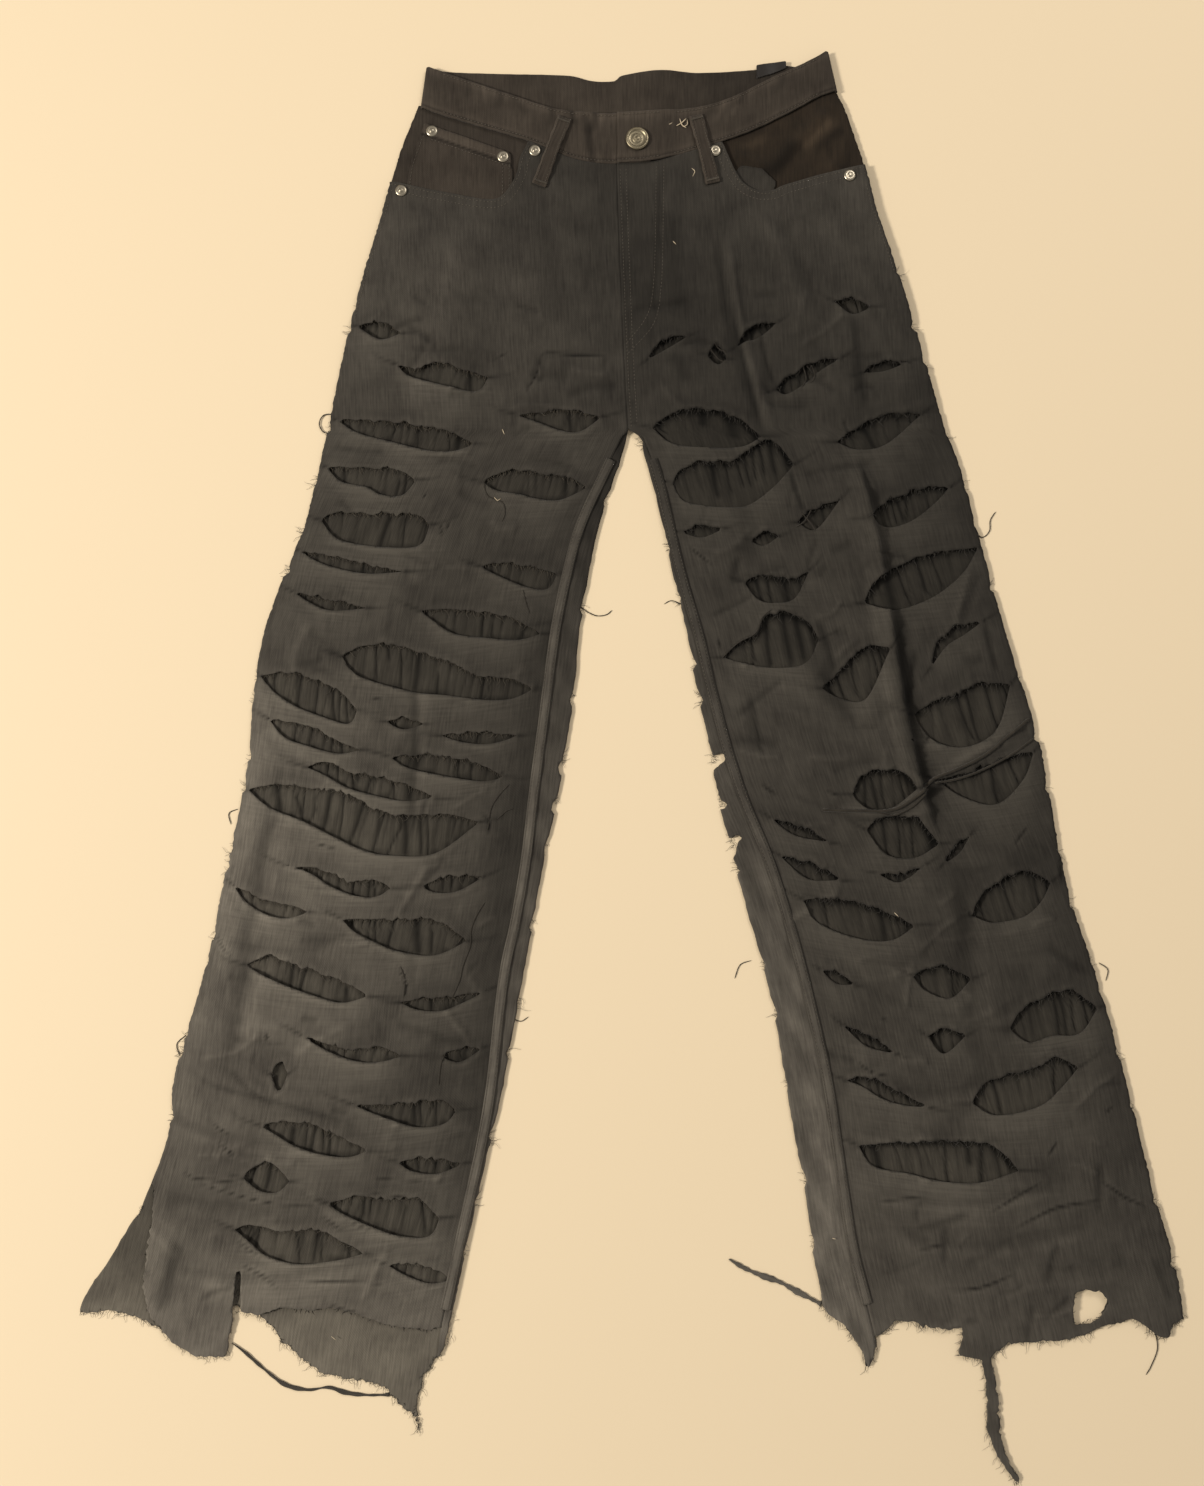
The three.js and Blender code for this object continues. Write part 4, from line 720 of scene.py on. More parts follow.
def round_the_tears(x, y, leg):
    """What the tears do to the front cloth at flat arrays x, y. Returns the depth of cloth (negative in a
    tear), a lift in mm, a factor on the tone, and how far the cross yarns are pulled, 0 to 1. The factor
    is painted light: a painted shadow line right at a proud lip, a painted highlight on the roll below a
    lower lip and on the curl of an upper one, and painted shade in the dip above an upper lip and along
    the tails. belly is the sine of the share along a lip: nothing happens at the tips, most in the middle."""
    depth, lift = np.full(x.shape, 99.0), np.zeros(x.shape)
    wear_and_shade, pulled = np.ones(x.shape), np.zeros(x.shape)
    proud_low, proud_high = leg["low_lip"], leg["high_lip"]
    for tear in leg["tears"]:
        pick = near_box(x, y, tear["outline"], 36)
        if not len(pick):
            continue
        px, py = x[pick], y[pick]
        depth[pick] = np.minimum(depth[pick], -depth_inside(px, py, tear["outline"]))
        gap, share, side = nearest(px, py, tear["low"])
        belly = np.sin(np.pi * share) ** 0.6 * (side < 0)
        size = min(1.0, np.ptp(tear["low"][:, 0]) / 90)
        lift[pick] += belly * (1.5 * proud_low * np.exp(-((gap - 2.6) / 2.4) ** 2)
                               - 0.8 * proud_low * np.exp(-(gap / 1.0) ** 2)
                               + (0.35 + 0.4 * proud_low) * size * np.cos(6.283 * gap / tear["pitch"] + 0.6)
                               * np.exp(-gap / 19))
        # Painted shadow line right at a proud lower lip, and a painted highlight on its roll 2.8 mm below.
        wear_and_shade[pick] *= 1 + belly * proud_low * (0.2 * np.exp(-((gap - 2.8) / 2.0) ** 2)
                                               - 0.4 * np.exp(-(gap / 1.2) ** 2))
        pulled[pick] = np.maximum(pulled[pick], belly * size * np.exp(-gap / 22))
        gap, share, side = nearest(px, py, tear["high"])
        belly = np.sin(np.pi * share) ** 0.6 * (side > 0)
        curl = 0.65 + 0.35 * np.sin(px / 5.3 + tear["phase"]) * np.sin(px / 2.9)
        lift[pick] += (belly * curl * 3.2 * proud_high * np.exp(-gap / 5.5)
                       - belly * 0.7 * np.exp(-((gap - 10) / 6) ** 2))
        # Painted highlight on the upper lip's curl, painted shadow line right at a proud upper lip, and
        # painted shade in the dip 7 mm above it.
        wear_and_shade[pick] *= 1 + belly * (0.16 * curl * np.exp(-((gap - 1.5) / 1.6) ** 2)
                                   - 0.5 * proud_high * np.exp(-(gap / 1.2) ** 2)
                                   - 0.12 * np.exp(-((gap - 7) / 4) ** 2))
        for tail in tails_of(tear):
            near = near_box(x, y, tail, 5)
            gap, share, side = nearest(x[near], y[near], tail)
            fade = 1 - share
            lift[near] += fade * (0.7 * np.exp(-((gap - 2.2) / 1.8) ** 2) - 1.0 * np.exp(-(gap / 1.2) ** 2))
            # Painted shade along each tail's groove.
            wear_and_shade[near] *= 1 - 0.6 * fade * np.exp(-(gap / 1.4) ** 2)
    return depth, lift, wear_and_shade, pulled


# %% [markdown]
# ## Folds
# The main folds are listed one by one, each a line with a height and a width in millimetres. A soft fold
# is a bell across its line. A lap, where the cloth doubles over, rises slowly to its line and drops at
# once on the far side. A cloth simulation would find folds of its own, not these ones.
# %% Kinds of fold, and seeded creases
SOFT, LAP = "soft", "lap"


def crumples(count, seed, region, side_a, side_b, turn):
    """Short shallow creases that nobody can place: seeded middles in a region of y, each 14 to 60 mm long,
    mostly along the cross yarns, half of them troughs."""
    rng = np.random.default_rng(seed)
    found = []
    for _ in range(count):
        y = rng.uniform(*region)
        x = side_a(y) + (side_b(y) - side_a(y)) * rng.uniform(0.06, 0.94)
        angle = turn + rng.choice([0.0, 0.5, -0.5, 1.25], p=[0.5, 0.2, 0.15, 0.15]) + rng.normal(0, 0.16)
        way = np.array([np.cos(angle), np.sin(angle)]) * rng.uniform(7, 30)
        middle = np.array([x, y]) + rng.normal(0, 2.5, 2)
        height = rng.uniform(1.1, 2.6) * rng.choice([-1.0, 1.0])
        line = [[x - way[0], y - way[1]], middle.tolist(), [x + way[0], y + way[1]]]
        found.append((SOFT, height, rng.uniform(1.8, 4.2), line))
    return found


# %% [markdown]
# ### The folds that show
# A fold is (kind, height, width, points) in millimetres, at the size it has on the garment. Below zero it
# is a trough.
# %% Fold lines
RIGHT_FOLDS = [
    (SOFT,-2.0,6.0,[[-290,-40],[-308,-120],[-322,-220],[-336,-310]]),
    (SOFT,1.6,9.0,[[-274,-50],[-292,-130],[-306,-230],[-318,-300]]),
    (SOFT,-1.6,6.0,[[-368,-440],[-378,-470],[-386,-505]]),
    (SOFT,-1.8,6.0,[[-172,78],[-170,20],[-172,-20],[-172,-92]]),
    (SOFT,1.2,8.0,[[-160,70],[-158,0],[-160,-80]]),
    (SOFT,-1.3,5.0,[[-166,-150],[-168,-190],[-176,-230]]),
    (SOFT,0.9,16.0,[[-120,500],[-150,400],[-172,310],[-190,220]]),
    (SOFT,-0.8,12.0,[[-96,470],[-118,390],[-140,320]]),
    (SOFT,-1.4,3.5,[[-57,358],[-25,361],[5,361]]),
    (SOFT,-1.2,3.0,[[-57,358],[-62,342],[-70,325]]),
    (SOFT,-1.0,3.0,[[5,361],[3,352],[0,345]]),
    (SOFT,1.1,4.5,[[-400,-408],[-340,-420],[-270,-432],[-205,-436],[-140,-430]]),
    (SOFT,-1.2,3.5,[[-396,-330],[-330,-350],[-262,-356],[-200,-345]]),
    (SOFT,1.2,4.0,[[-394,-338],[-330,-359],[-262,-365],[-198,-353]]),
    (SOFT,-1.2,3.5,[[-392,-398],[-350,-407],[-290,-412],[-252,-408]]),
    (SOFT,1.2,4.0,[[-380,-470],[-330,-480],[-280,-480],[-230,-470],[-180,-462]]),
    (SOFT,-1.0,3.0,[[-384,-461],[-330,-471],[-280,-471],[-232,-462]]),
    (SOFT,1.0,3.6,[[-320,-488],[-280,-488],[-235,-479],[-190,-478],[-150,-486]]),
    (SOFT,-1.1,3.2,[[-352,-282],[-310,-302],[-250,-312],[-190,-306]]),
    (SOFT,1.0,4.0,[[-372,-244],[-330,-256],[-270,-250]]),
    (SOFT,-1.0,3.5,[[-345,-172],[-310,-184],[-262,-186],[-226,-176]]),
    (SOFT,1.0,4.0,[[-345,-182],[-310,-194],[-268,-192]]),
]
LEFT_FOLDS = [
    (SOFT,-2.2,4.5,[[108,480],[118,400],[135,330],[152,275]]),
    (SOFT,4.4,5.0,[[117,476],[127,398],[144,330],[161,278]]),
    (SOFT,-1.4,4.0,[[145,380],[152,352],[158,330]]),
    (LAP,8.4,13.0,[[308,-100],[292,-55],[282,-10],[270,60],[262,120],[255,170],[247,215],[232,270]]),
    (SOFT,-1.5,7.0,[[274,-70],[262,0],[250,70],[240,130],[226,200]]),
    (SOFT,-1.4,5.0,[[200,100],[212,50],[240,0]]),
    (SOFT,-1.2,4.0,[[130,40],[138,15],[142,-10]]),
    (SOFT,-1.8,8.0,[[322,-120],[326,-190],[330,-250],[344,-320]]),
    (SOFT,1.2,8.0,[[340,-130],[346,-200],[352,-260]]),
    (SOFT,2.4,4.0,[[200,-60],[230,-62],[260,-61],[300,-35],[330,-14],[390,18]]),
    (SOFT,-1.5,3.0,[[205,-68],[260,-70],[300,-45],[332,-24],[390,8]]),
    (SOFT,2.0,3.6,[[340,160],[330,132],[322,105]]),
    (SOFT,-1.3,3.0,[[348,160],[338,132],[330,105]]),
    (SOFT,-1.4,4.0,[[56,545],[55,500],[52,440],[46,400]]),
    (SOFT,0.9,6.0,[[66,540],[65,500],[62,440]]),
    (SOFT,1.2,6.0,[[150,500],[172,440],[196,380]]),
    (SOFT,-1.0,6.0,[[166,500],[188,440],[212,380]]),
    (SOFT,-1.2,3.4,[[236,-298],[290,-312],[350,-300],[410,-276]]),
    (SOFT,1.2,4.0,[[240,-306],[290,-321],[352,-309],[412,-285]]),
    (SOFT,1.1,4.0,[[232,-402],[290,-414],[350,-412],[420,-392]]),
    (SOFT,-1.1,3.4,[[232,-394],[290,-406],[350,-404],[420,-384]]),
    (SOFT,1.2,4.4,[[250,-440],[310,-452],[380,-448],[450,-428]]),
    (SOFT,-1.0,3.6,[[250,-431],[310,-443],[380,-439],[448,-420]]),
    (SOFT,1.0,4.6,[[262,-476],[330,-486],[400,-478],[470,-470]]),
    (SOFT,-1.2,4.0,[[222,-206],[262,-232],[300,-240]]),
    (SOFT,-1.4,2.6,[[350,112],[352,95],[360,62]]),
    (SOFT,1.2,9.0,[[364,108],[367,84],[373,60]]),
    (SOFT,-1.3,2.6,[[197,114],[205,90],[213,60]]),
    (SOFT,-1.5,2.2,[[172,256],[177,236],[188,207]]),
]

# %% [markdown]
# ### Painted shade and wear that follow the folds
# Some bands are wear, paler where the black dye rubbed off a ridge, but most are painted shade in the
# creases and troughs and painted highlight on the ridges. A band is (strength, width, points): above zero
# it is paler than the leg round it, below zero darker. Painting would do it too, but without real sizes.
# %% Bands of painted shade and wear
RIGHT_SHADE_AND_WEAR = [
    (-0.3,2.5,[[-190,140],[-195,108],[-201,98]]),
    (-0.24,8.0,[[-298,-152],[-311,-198],[-321,-240]]),
    (-0.2,6.0,[[-325,-238],[-328,-300]]),
    (-0.4,5.0,[[-18,196],[-34,130],[-50,85],[-57,58]]),
    (-0.34,2.6,[[-372,-285],[-350,-303],[-322,-312],[-290,-320],[-250,-331],[-207,-344]]),
    (-0.22,12.0,[[-118,380],[-120,340],[-112,300]]),
    (-0.2,10.0,[[-60,520],[-45,440],[-30,370]]),
    (0.14,10.0,[[-130,470],[-158,380],[-180,300]]),
    (-0.3,2.2,[[-129,262],[-129,222]]),
    (-0.28,3.0,[[-172,78],[-170,20],[-173,-92]]),
    (-0.3,7.0,[[-372,-430],[-380,-468],[-388,-505]]),
    (0.15,14.0,[[-352,-500],[-345,-470],[-340,-440]]),
    (0.5,26.0,[[-396,-400],[-410,-450],[-424,-490],[-432,-530]]),
    (0.42,20.0,[[-308,84],[-316,20],[-322,-40],[-338,-110],[-354,-190]]),
]
LEFT_SHADE_AND_WEAR = [
    (-0.72,9.0,[[264,152],[270,110],[274,60],[282,0],[292,-32],[303,-75],[309,-96]]),
    (-0.45,5.0,[[228,412],[235,380],[237,345],[244,300]]),
    (-0.4,4.0,[[236,268],[246,225],[252,180]]),
    (-0.3,9.0,[[122,232],[131,200],[138,160]]),
    (-0.36,12.0,[[160,122],[186,88],[212,45],[230,8]]),
    (-0.26,9.0,[[318,-112],[322,-150],[326,-196]]),
    (-0.62,2.2,[[118,422],[124,385],[134,340],[150,278]]),
    (-0.5,2.0,[[146,385],[152,352],[162,325]]),
    (-0.55,1.8,[[173,256],[177,236],[188,207]]),
    (-0.45,3.0,[[197,114],[205,90],[213,60]]),
    (-0.36,4.0,[[482,-448],[492,-474],[502,-496]]),
    (-0.48,2.4,[[350,112],[352,95],[360,62]]),
    (-0.22,7.0,[[362,104],[365,84],[370,60]]),
    (-0.4,2.6,[[342,165],[335,145],[323,105]]),
    (-0.5,1.8,[[130,48],[137,30],[141,8],[143,-10]]),
    (0.32,16.0,[[196,300],[208,262],[214,214]]),
    (0.16,4.0,[[132,398],[148,330],[165,278]]),
    (-0.34,8.0,[[80,330],[72,350],[62,366]]),
    (-0.25,10.0,[[60,520],[66,440],[78,384]]),
    (0.12,10.0,[[225,170],[236,120],[244,60]]),
    (-0.3,3.0,[[200,-66],[262,-68],[302,-42],[346,-20],[388,6]]),
    (-0.25,5.0,[[452,-438],[454,-466]]),
]

# %% [markdown]
# ### Slits
# Some cuts have never opened. Their lips touch, so each is a shallow groove with a painted shadow line
# and a raised rim with a painted highlight, not a hole. A slit is (width, points).
# %% Narrow slits
RIGHT_SLITS = [
    (1.5,[[-57,358],[-50,362],[-25,360],[2,360]]),(1.2,[[-57,358],[-61,342],[-70,326]]),
    (1.2,[[-98,357],[-88,362]]),(1.6,[[-60,246],[-45,247],[-30,245]]),(1.4,[[-148,202],[-147,190]]),
    (1.2,[[-141,203],[-142,192]]),(2.0,[[-208,40],[-200,39]]),(1.3,[[-345,-175],[-338,-185],[-332,-192]]),
    (1.3,[[-340,-355],[-330,-362],[-322,-370]]),(1.5,[[-370,-380],[-360,-386],[-340,-388],[-318,-391]]),
    (1.2,[[-320,-441],[-310,-448],[-300,-454]]),(1.4,[[-318,-460],[-302,-468],[-285,-480]]),
    (1.3,[[-265,-474],[-240,-475],[-205,-476],[-188,-479]]),(1.6,[[-240,-494],[-225,-500],[-208,-503]]),
    (1.2,[[-182,-200],[-178,-210],[-174,-220],[-177,-228]]),(1.3,[[-205,-399],[-180,-402],[-158,-406]]),
    (1.6,[[-100,-36],[-88,-26]]),(2.2,[[-108,-64],[-102,-72],[-102,-82]]),(1.4,[[-163,230],[-163,225]]),
    (1.3,[[-300,-258],[-297,-270]]),(1.2,[[-262,-90],[-240,-96]]),(1.2,[[-160,-389],[-200,-386]]),
    (1.0,[[-356,-390],[-325,-400],[-290,-408],[-255,-410]]),(1.6,[[-344,-338],[-338,-344],[-330,-348]]),
    (1.2,[[-222,-424],[-204,-431]]),(1.3,[[-246,-420],[-228,-432]]),
]
LEFT_SLITS = [
    (1.6,[[240,-404],[255,-405],[285,-402]]),(1.6,[[342,-415],[355,-408],[372,-399],[388,-390]]),
    (2.0,[[366,-428],[380,-421],[404,-411],[440,-405]]),(1.8,[[395,-366],[403,-355]]),
    (1.8,[[440,-389],[450,-395],[462,-403],[480,-411]]),(1.8,[[280,-447],[300,-444]]),
    (1.8,[[300,-482],[320,-482],[340,-478],[362,-469]]),(2.4,[[250,-246],[253,-249]]),
    (1.2,[[228,-285],[240,-294],[258,-298]]),(2.2,[[145,-38],[150,-42],[157,-47]]),
    (1.8,[[446,-329],[452,-324]]),(1.6,[[371,-92],[376,-85],[384,-76]]),(1.3,[[80,180],[100,163]]),
    (1.6,[[203,-44],[216,-49]]),(1.3,[[222,300],[228,284]]),(1.4,[[332,-157],[326,-150]]),
    (2.4,[[412,-104],[414,-126]]),(1.5,[[258,300],[275,303]]),(1.6,[[298,8],[292,-2]]),
    (1.3,[[200,-113],[202,-124]]),(1.4,[[410,-462],[414,-461]]),(1.6,[[105,96],[110,84]]),
    (2.0,[[142,-2],[146,-10]]),
]


# %% [markdown]
# ### Reading the bands and slits
# The seeded creases join the folds, and the lists become fields over the cloth: each place asks for its
# nearest point on every line near it.
# %% Fields from lines
RIGHT_FOLDS += crumples(100, 51, (-500, 420), right_outer, right_inseam, -0.2)
LEFT_FOLDS += crumples(120, 52, (-590, 420), left_inseam, left_outer, 0.12)


def shade_light_and_wear_bands(x, y, bands):
    """A factor on the tone, painted shade and highlight with some wear: 1 + strength * exp(-(gap/width)^2),
    faded out over the last quarter of each line, all bands multiplied."""
    factor = np.ones(x.shape)
    for strength, width, points in bands:
        line = smooth_line(points, 6)
        pick = near_box(x, y, line, 2.6 * width + 4)
        if not len(pick):
            continue
        gap, share, _ = nearest(x[pick], y[pick], line)
        bell = strength * np.exp(-(gap / width) ** 2)
        factor[pick] *= 1 + bell * rise(0, 0.25, share) * rise(1, 0.75, share)
    return factor


def slit(x, y, slits):
    """Depth of the dark line of each narrow slit, 0 to 1, and of the pale rim 3 mm below it. The line
    becomes painted shadow and the rim a painted highlight.
    """
    line_depth, rim = np.zeros(x.shape), np.zeros(x.shape)
    for width, points in slits:
        line = smooth_line(points, 6)
        pick = near_box(x, y, line, 9)
        if not len(pick):
            continue
        gap, share, _ = nearest(x[pick], y[pick], line)
        belly = np.sin(np.pi * np.clip(share, 0.03, 0.97)) ** 0.5
        line_depth[pick] = np.maximum(line_depth[pick], belly * np.exp(-(gap / (0.62 * width)) ** 2))
        rim[pick] = np.maximum(rim[pick], belly * np.exp(-((gap - width - 1.2) / 1.5) ** 2))
    return line_depth, rim


def folded(x, y, folds):
    """The height that the folds add. Soft: height times exp(-(gap/width)^2). Lap: the same line, but
    height times exp(-gap/width) on the left of travel and exp(-(gap/1.4)^2) on the right. Both fade out
    over the last sixth of the line at each end."""
    lift = np.zeros(x.shape)
    for kind, height, width, points in folds:
        line = smooth_line(points, 6)
        pick = near_box(x, y, line, 4 * width + 6)
        if not len(pick):
            continue
        gap, share, side = nearest(x[pick], y[pick], line)
        fade = rise(0, 0.17, share) * rise(1, 0.83, share)
        bell = np.exp(-(gap / width) ** 2)
        if kind == LAP:
            bell = np.where(side > 0, np.exp(-gap / width), np.exp(-(gap / 1.4) ** 2))
        lift[pick] += height * bell * fade
    return lift


# %% [markdown]
# ## Laying the fronts on the backs
# The garment is thin: the backs lie on the floor, the fronts on them, and only at the pockets does the stack
# reach 5 mm. The heights here are those of the plain solids. To them come the slack between two tears, the
# lips and the folds.
# %% Heights of the layers
BACK_CLOTH, FRONT_CLOTH, PLEAT = 1.3, 1.5, 2.0
SEAM_FLOOR, POCKET_FLOOR, ROLL_TOP = 1.7, 4.9, 3.0
# Clearance between stacked pieces
STACK_GAP = 0.3
FELL_SEAT = max(ROLL_TOP, SEAM_FLOOR + FRONT_CLOTH) + STACK_GAP
FOLD_RADIUS = 0.85
CROTCH_Y = 287
BACK_ENDS, FRONT_LANDS = -521, -548

RIGHT = {
    "side": right_side, "crease": right_crease, "inseam": right_inseam, "tears": right_tears,
    "folds": RIGHT_FOLDS, "inward": -1, "lean": 0.226,
    "fade": along([
        [600,0.6],[500,0.66],[400,0.76],[290,0.64],[120,0.71],[0,0.86],[-150,1.06],[-300,1.07],
        [-420,1.16],[-480,1.44],[-520,1.66],
    ]),
    # The side and seam tables are partly painted light: for most of the leg they make it paler on its side
    # towards the light at the left and darker on the other side.
    "side_fade_and_light": along([[600,1.14], [100,1.22], [0,1.45], [-300,1.48], [-420,1.06], [-520,1.36]]),
    "seam_fade_and_light": along([
        [600,0.74],[430,0.7],[300,0.9],[150,0.8],[0,0.56],[-300,0.47],[-420,0.74],[-520,1.0],
    ]),
    # 'dye' holds the bands of painted shade and highlight, with some wear, along the folds
    "low_lip": 1.0, "high_lip": 0.2, "dye": RIGHT_SHADE_AND_WEAR, "slits": RIGHT_SLITS,
}
LEFT = {
    "side": left_side, "crease": left_crease, "inseam": left_inseam, "tears": left_tears,
    "folds": LEFT_FOLDS, "inward": 1, "lean": -0.225,
    "fade": along([
        [600,0.8],[450,0.7],[300,0.48],[150,0.54],[0,0.64],[-100,0.56],[-200,0.62],[-300,0.7],
        [-450,0.86],[-520,1.0],
    ]),
    # The side and seam tables are partly painted light: for most of the leg they make it paler on its side
    # towards the light at the left and darker on the other side.
    "side_fade_and_light": along([[600,1.06], [300,0.84], [-520,0.88]]),
    "seam_fade_and_light": along([[600,0.76], [430,0.5], [350,0.8], [290,1.06], [-520,1.16]]),
    # 'dye' holds the bands of painted shade and highlight, with some wear, along the folds
    "low_lip": 0.12, "high_lip": 1.0, "dye": LEFT_SHADE_AND_WEAR, "slits": LEFT_SLITS,
}


def seam_floor(y):
    """Underside at a seam: low on the leg, lifted over the pockets, and on the floor past the back's hem."""
    lifted = SEAM_FLOOR + (POCKET_FLOOR - SEAM_FLOOR) * rise(250, 500, y)
    return lifted + (0.1 - lifted) * rise(BACK_ENDS, FRONT_LANDS, y)


def centre_floor(y):
    """Underside at the centre and inseam, lifted over the roll of the backs just above the crotch."""
    return np.maximum(seam_floor(y), SEAM_FLOOR + (ROLL_TOP + STACK_GAP - SEAM_FLOOR) * rise(262, 284, y))


def front_seam(leg, y):
    """The front's inner edge: the inseam below the crotch and the centre seam above it, blended in 8 mm."""
    t = rise(CROTCH_Y - 4, CROTCH_Y + 4, y)
    return leg["inseam"](y) * (1 - t) + centre_seam(y) * t


def wander(x, y):
    """A slow swell of cloth that was never pressed: three products of sines, 1.4 mm high at most."""
    swell = 0.7 * np.sin(x / 23 + y / 61) * np.sin(y / 37 - x / 53)
    swell = swell + 0.4 * np.sin(x / 11 - y / 90 + 1.3) * np.sin(y / 71)
    return swell + 0.28 * np.sin(x / 6.4 + 2.1 * np.sin(y / 19)) * np.sin(y / 15 + x / 41)


def front_cloth(x, y, leg):
    """Top of the front at flat arrays x, y, with its cut depth and its fields. The height is the seams'
    floor, plus a crown that rises 2.4 mm within 45 mm of an edge, plus the cloth, the lips, the folds and
    the slack. It never sinks into the pleats. The tone is the leg's fading times the side and seam tables,
    blended by the share of the way across, which paint the leg paler towards the light at the left. Then
    it takes the bands of painted shade and highlight with some wear, the painted light round the tears,
    painted shade in troughs, slits and along the side edge, and painted highlight on ridges and slit rims."""
    from_side, from_seam = np.abs(x - leg["side"](y)), np.abs(x - front_seam(leg, y))
    crown = np.minimum(np.interp(from_side, [0, 4, 14, 30], [0, 0.6, 1.8, 2.5]),
                       np.interp(from_seam, [0, 6, 22, 45], [0, 0, 1.6, 2.4]))
    base = seam_floor(y) + crown * rise(BACK_ENDS, -440, y) * rise(525, 440, y)
    base = np.maximum(base, centre_floor(y) * rise(34, 12, from_seam))
    depth, lift, wear_and_shade, pulled = round_the_tears(x, y, leg)
    creases = folded(x, y, leg["folds"])
    slack = rise(3, 18, depth) * rise(0, 20, from_side) * rise(8, 30, from_seam)
    legs = rise(420, 340, y)
    settled = 0.35 + 0.65 * rise(0, 9, np.minimum(from_side, from_seam))
    top = base + FRONT_CLOTH + settled * (lift + creases) + slack * (wander(x, y) + 0.9 * legs)
    floor = BACK_CLOTH + PLEAT * rise(7, 24, from_side) * rise(6, 22, from_seam) * rise(-470, -440, y) * legs
    top = np.maximum(top, floor + FRONT_CLOTH)
    share = from_side / np.maximum(from_side + from_seam, 1)
    # The side and seam tables paint the leg paler on its side towards the light at the left.
    fade = leg["fade"](y) * (leg["side_fade_and_light"](y) * (1 - share) + leg["seam_fade_and_light"](y) * share)
    dark, rim = slit(x, y, leg["slits"])
    top = top - 1.1 * dark + 0.45 * rim
    # Painted shade in the folds' troughs and painted highlight on their ridges, and painted shade within 5 mm
    # of the side edge, where the cloth rolls down.
    wear_and_shade = wear_and_shade * fade * (1 + np.clip(0.13 * creases, -0.38, 0.26)) * (0.86 + 0.14 * rise(0, 5, from_side))
    # The leg's bands are painted shade and highlight with some wear. The slit's dark line is painted shadow
    # and its rim a painted highlight.
    wear_and_shade = wear_and_shade * shade_light_and_wear_bands(x, y, leg["dye"]) * (1 - 0.72 * dark) * (1 + 0.12 * rim)
    return top, depth, wear_and_shade, pulled


# %% [markdown]
# ### Torn ends
# The hems are torn off, not sewn, so their edge wanders by a millimetre and has deeper teeth. Every end of
# a panel is a closed outline that is cut away, because one rule then does hems, pocket mouths and the hole.
# %% Hems, pocket mouths and the hole
def ragged(points, seed, size):
    """A torn line: points every 1.7 mm, each moved at random, with a deeper step about every tenth."""
    rng = np.random.default_rng(seed)
    line = evenly(np.asarray(points, float), 1.7)
    tooth = rng.normal(0, size, line.shape)
    tooth[rng.random(len(line)) > 0.9] *= 2.2
    tooth[[0, -1]] = 0
    return line + tooth


def closed_round(line, *corners):
    """A line with corners added, far out, that close it round the cloth that is cut away."""
    return np.vstack([line, np.array(corners, float)])


right_front_hem = ragged(FRONT_HEM_RIGHT, 21, 0.7)
left_front_hem = ragged(FRONT_HEM_LEFT, 22, 0.7)
right_back_hem = ragged(BACK_HEM_RIGHT, 23, 0.8)
left_back_hem = ragged(BACK_HEM_LEFT, 24, 0.8)
hem_hole = ragged(HEM_HOLE, 25, 0.6)
mouth_right = smooth_line(POCKET_EDGE_RIGHT, 6)
mouth_left = smooth_line(POCKET_EDGE_LEFT, 6)
RIGHT["cut_away"] = [closed_round(right_front_hem, [-700, -392], [-700, -800], [-60, -800], [-60, -515]),
                     closed_round(mouth_right, [-300, 527], [-300, 760], [-70, 760])]
# The slit beside the right hem's flap is as narrow as one cell of the grid, so it is cut by a clean outline
RIGHT["cut_away"] += [np.array([[-317.0,-506],[-317.4,-466],[-321.4,-466],[-325.0,-506]])]
LEFT["cut_away"] = [closed_round(left_front_hem, [700, -508], [700, -900], [150, -900], [150, -522]),
                    closed_round(mouth_left, [340, 544], [340, 760], [113, 760]), hem_hole]
RIGHT["back_cut"] = [closed_round(right_back_hem, [-700, -503], [-700, -900], [0, -900], [0, -500])]
RIGHT["back_cut"] += [ragged(bite, 37 + k, 0.4) for k, bite in enumerate([
    [[-18,-13],[-35,-15],[-40,-21],[-38,-30],[-18,-32]],
    [[-22,-43],[-38,-46],[-45,-55],[-46,-64],[-22,-67]],
])]
LEFT["back_cut"] = [closed_round(left_back_hem, [700, -500], [700, -900], [60, -900], [60, -492]), hem_hole]
# Three bites out of the left leg's inner edge, through the roll of the back
LEFT["back_cut"] += [ragged(bite, 27 + k, 0.4) for k, bite in enumerate([
    [[88,-10],[100,-12],[108,-9],[113,-12],[112,-16],[104,-22],[97,-30],[88,-30]],
    [[96,-50],[105,-53],[113,-54],[113,-59],[104,-61],[96,-61]],
    [[98,-86],[112,-88],[123,-83],[127,-86],[122,-92],[121,-100],[116,-107],[98,-110]],
])]


def cut_depth(x, y, cutters):
    """The least distance out of all the cutters; negative inside any of them."""
    depth = np.full(x.shape, 99.0)
    for cutter in cutters:
        pick = near_box(x, y, cutter, 8)
        depth[pick] = np.minimum(depth[pick], -depth_inside(x[pick], y[pick], cutter))
    return depth


# %% [markdown]
# ### Fronts
# A front is one grid, with its columns spread evenly from the side to the inseam so that they follow the
# leg. A plain square grid would leave steps down the edges. The pattern runs with the cloth: 'across' is
# measured from the inseam, and 'down' sags between the edges as the slack cloth does.
# %% Two front panels
FRONT_COLUMNS = 118
FRONT_ROW_MM = 2.6
FRONT_TOP = 568
CLOTH_MM = 1.15


def sag(x, y, leg):
    """How far the cross yarns hang below a straight line: a parabola, 16 mm deep at its middle on the
    shin, and less from the knee up to a height of 400."""
    a, b = leg["side"](y), front_seam(leg, y)
    half = np.maximum(np.abs(b - a) / 2, 1)
    return 16 * (1 - ((x - (a + b) / 2) / half) ** 2) * rise(400, 0, y)


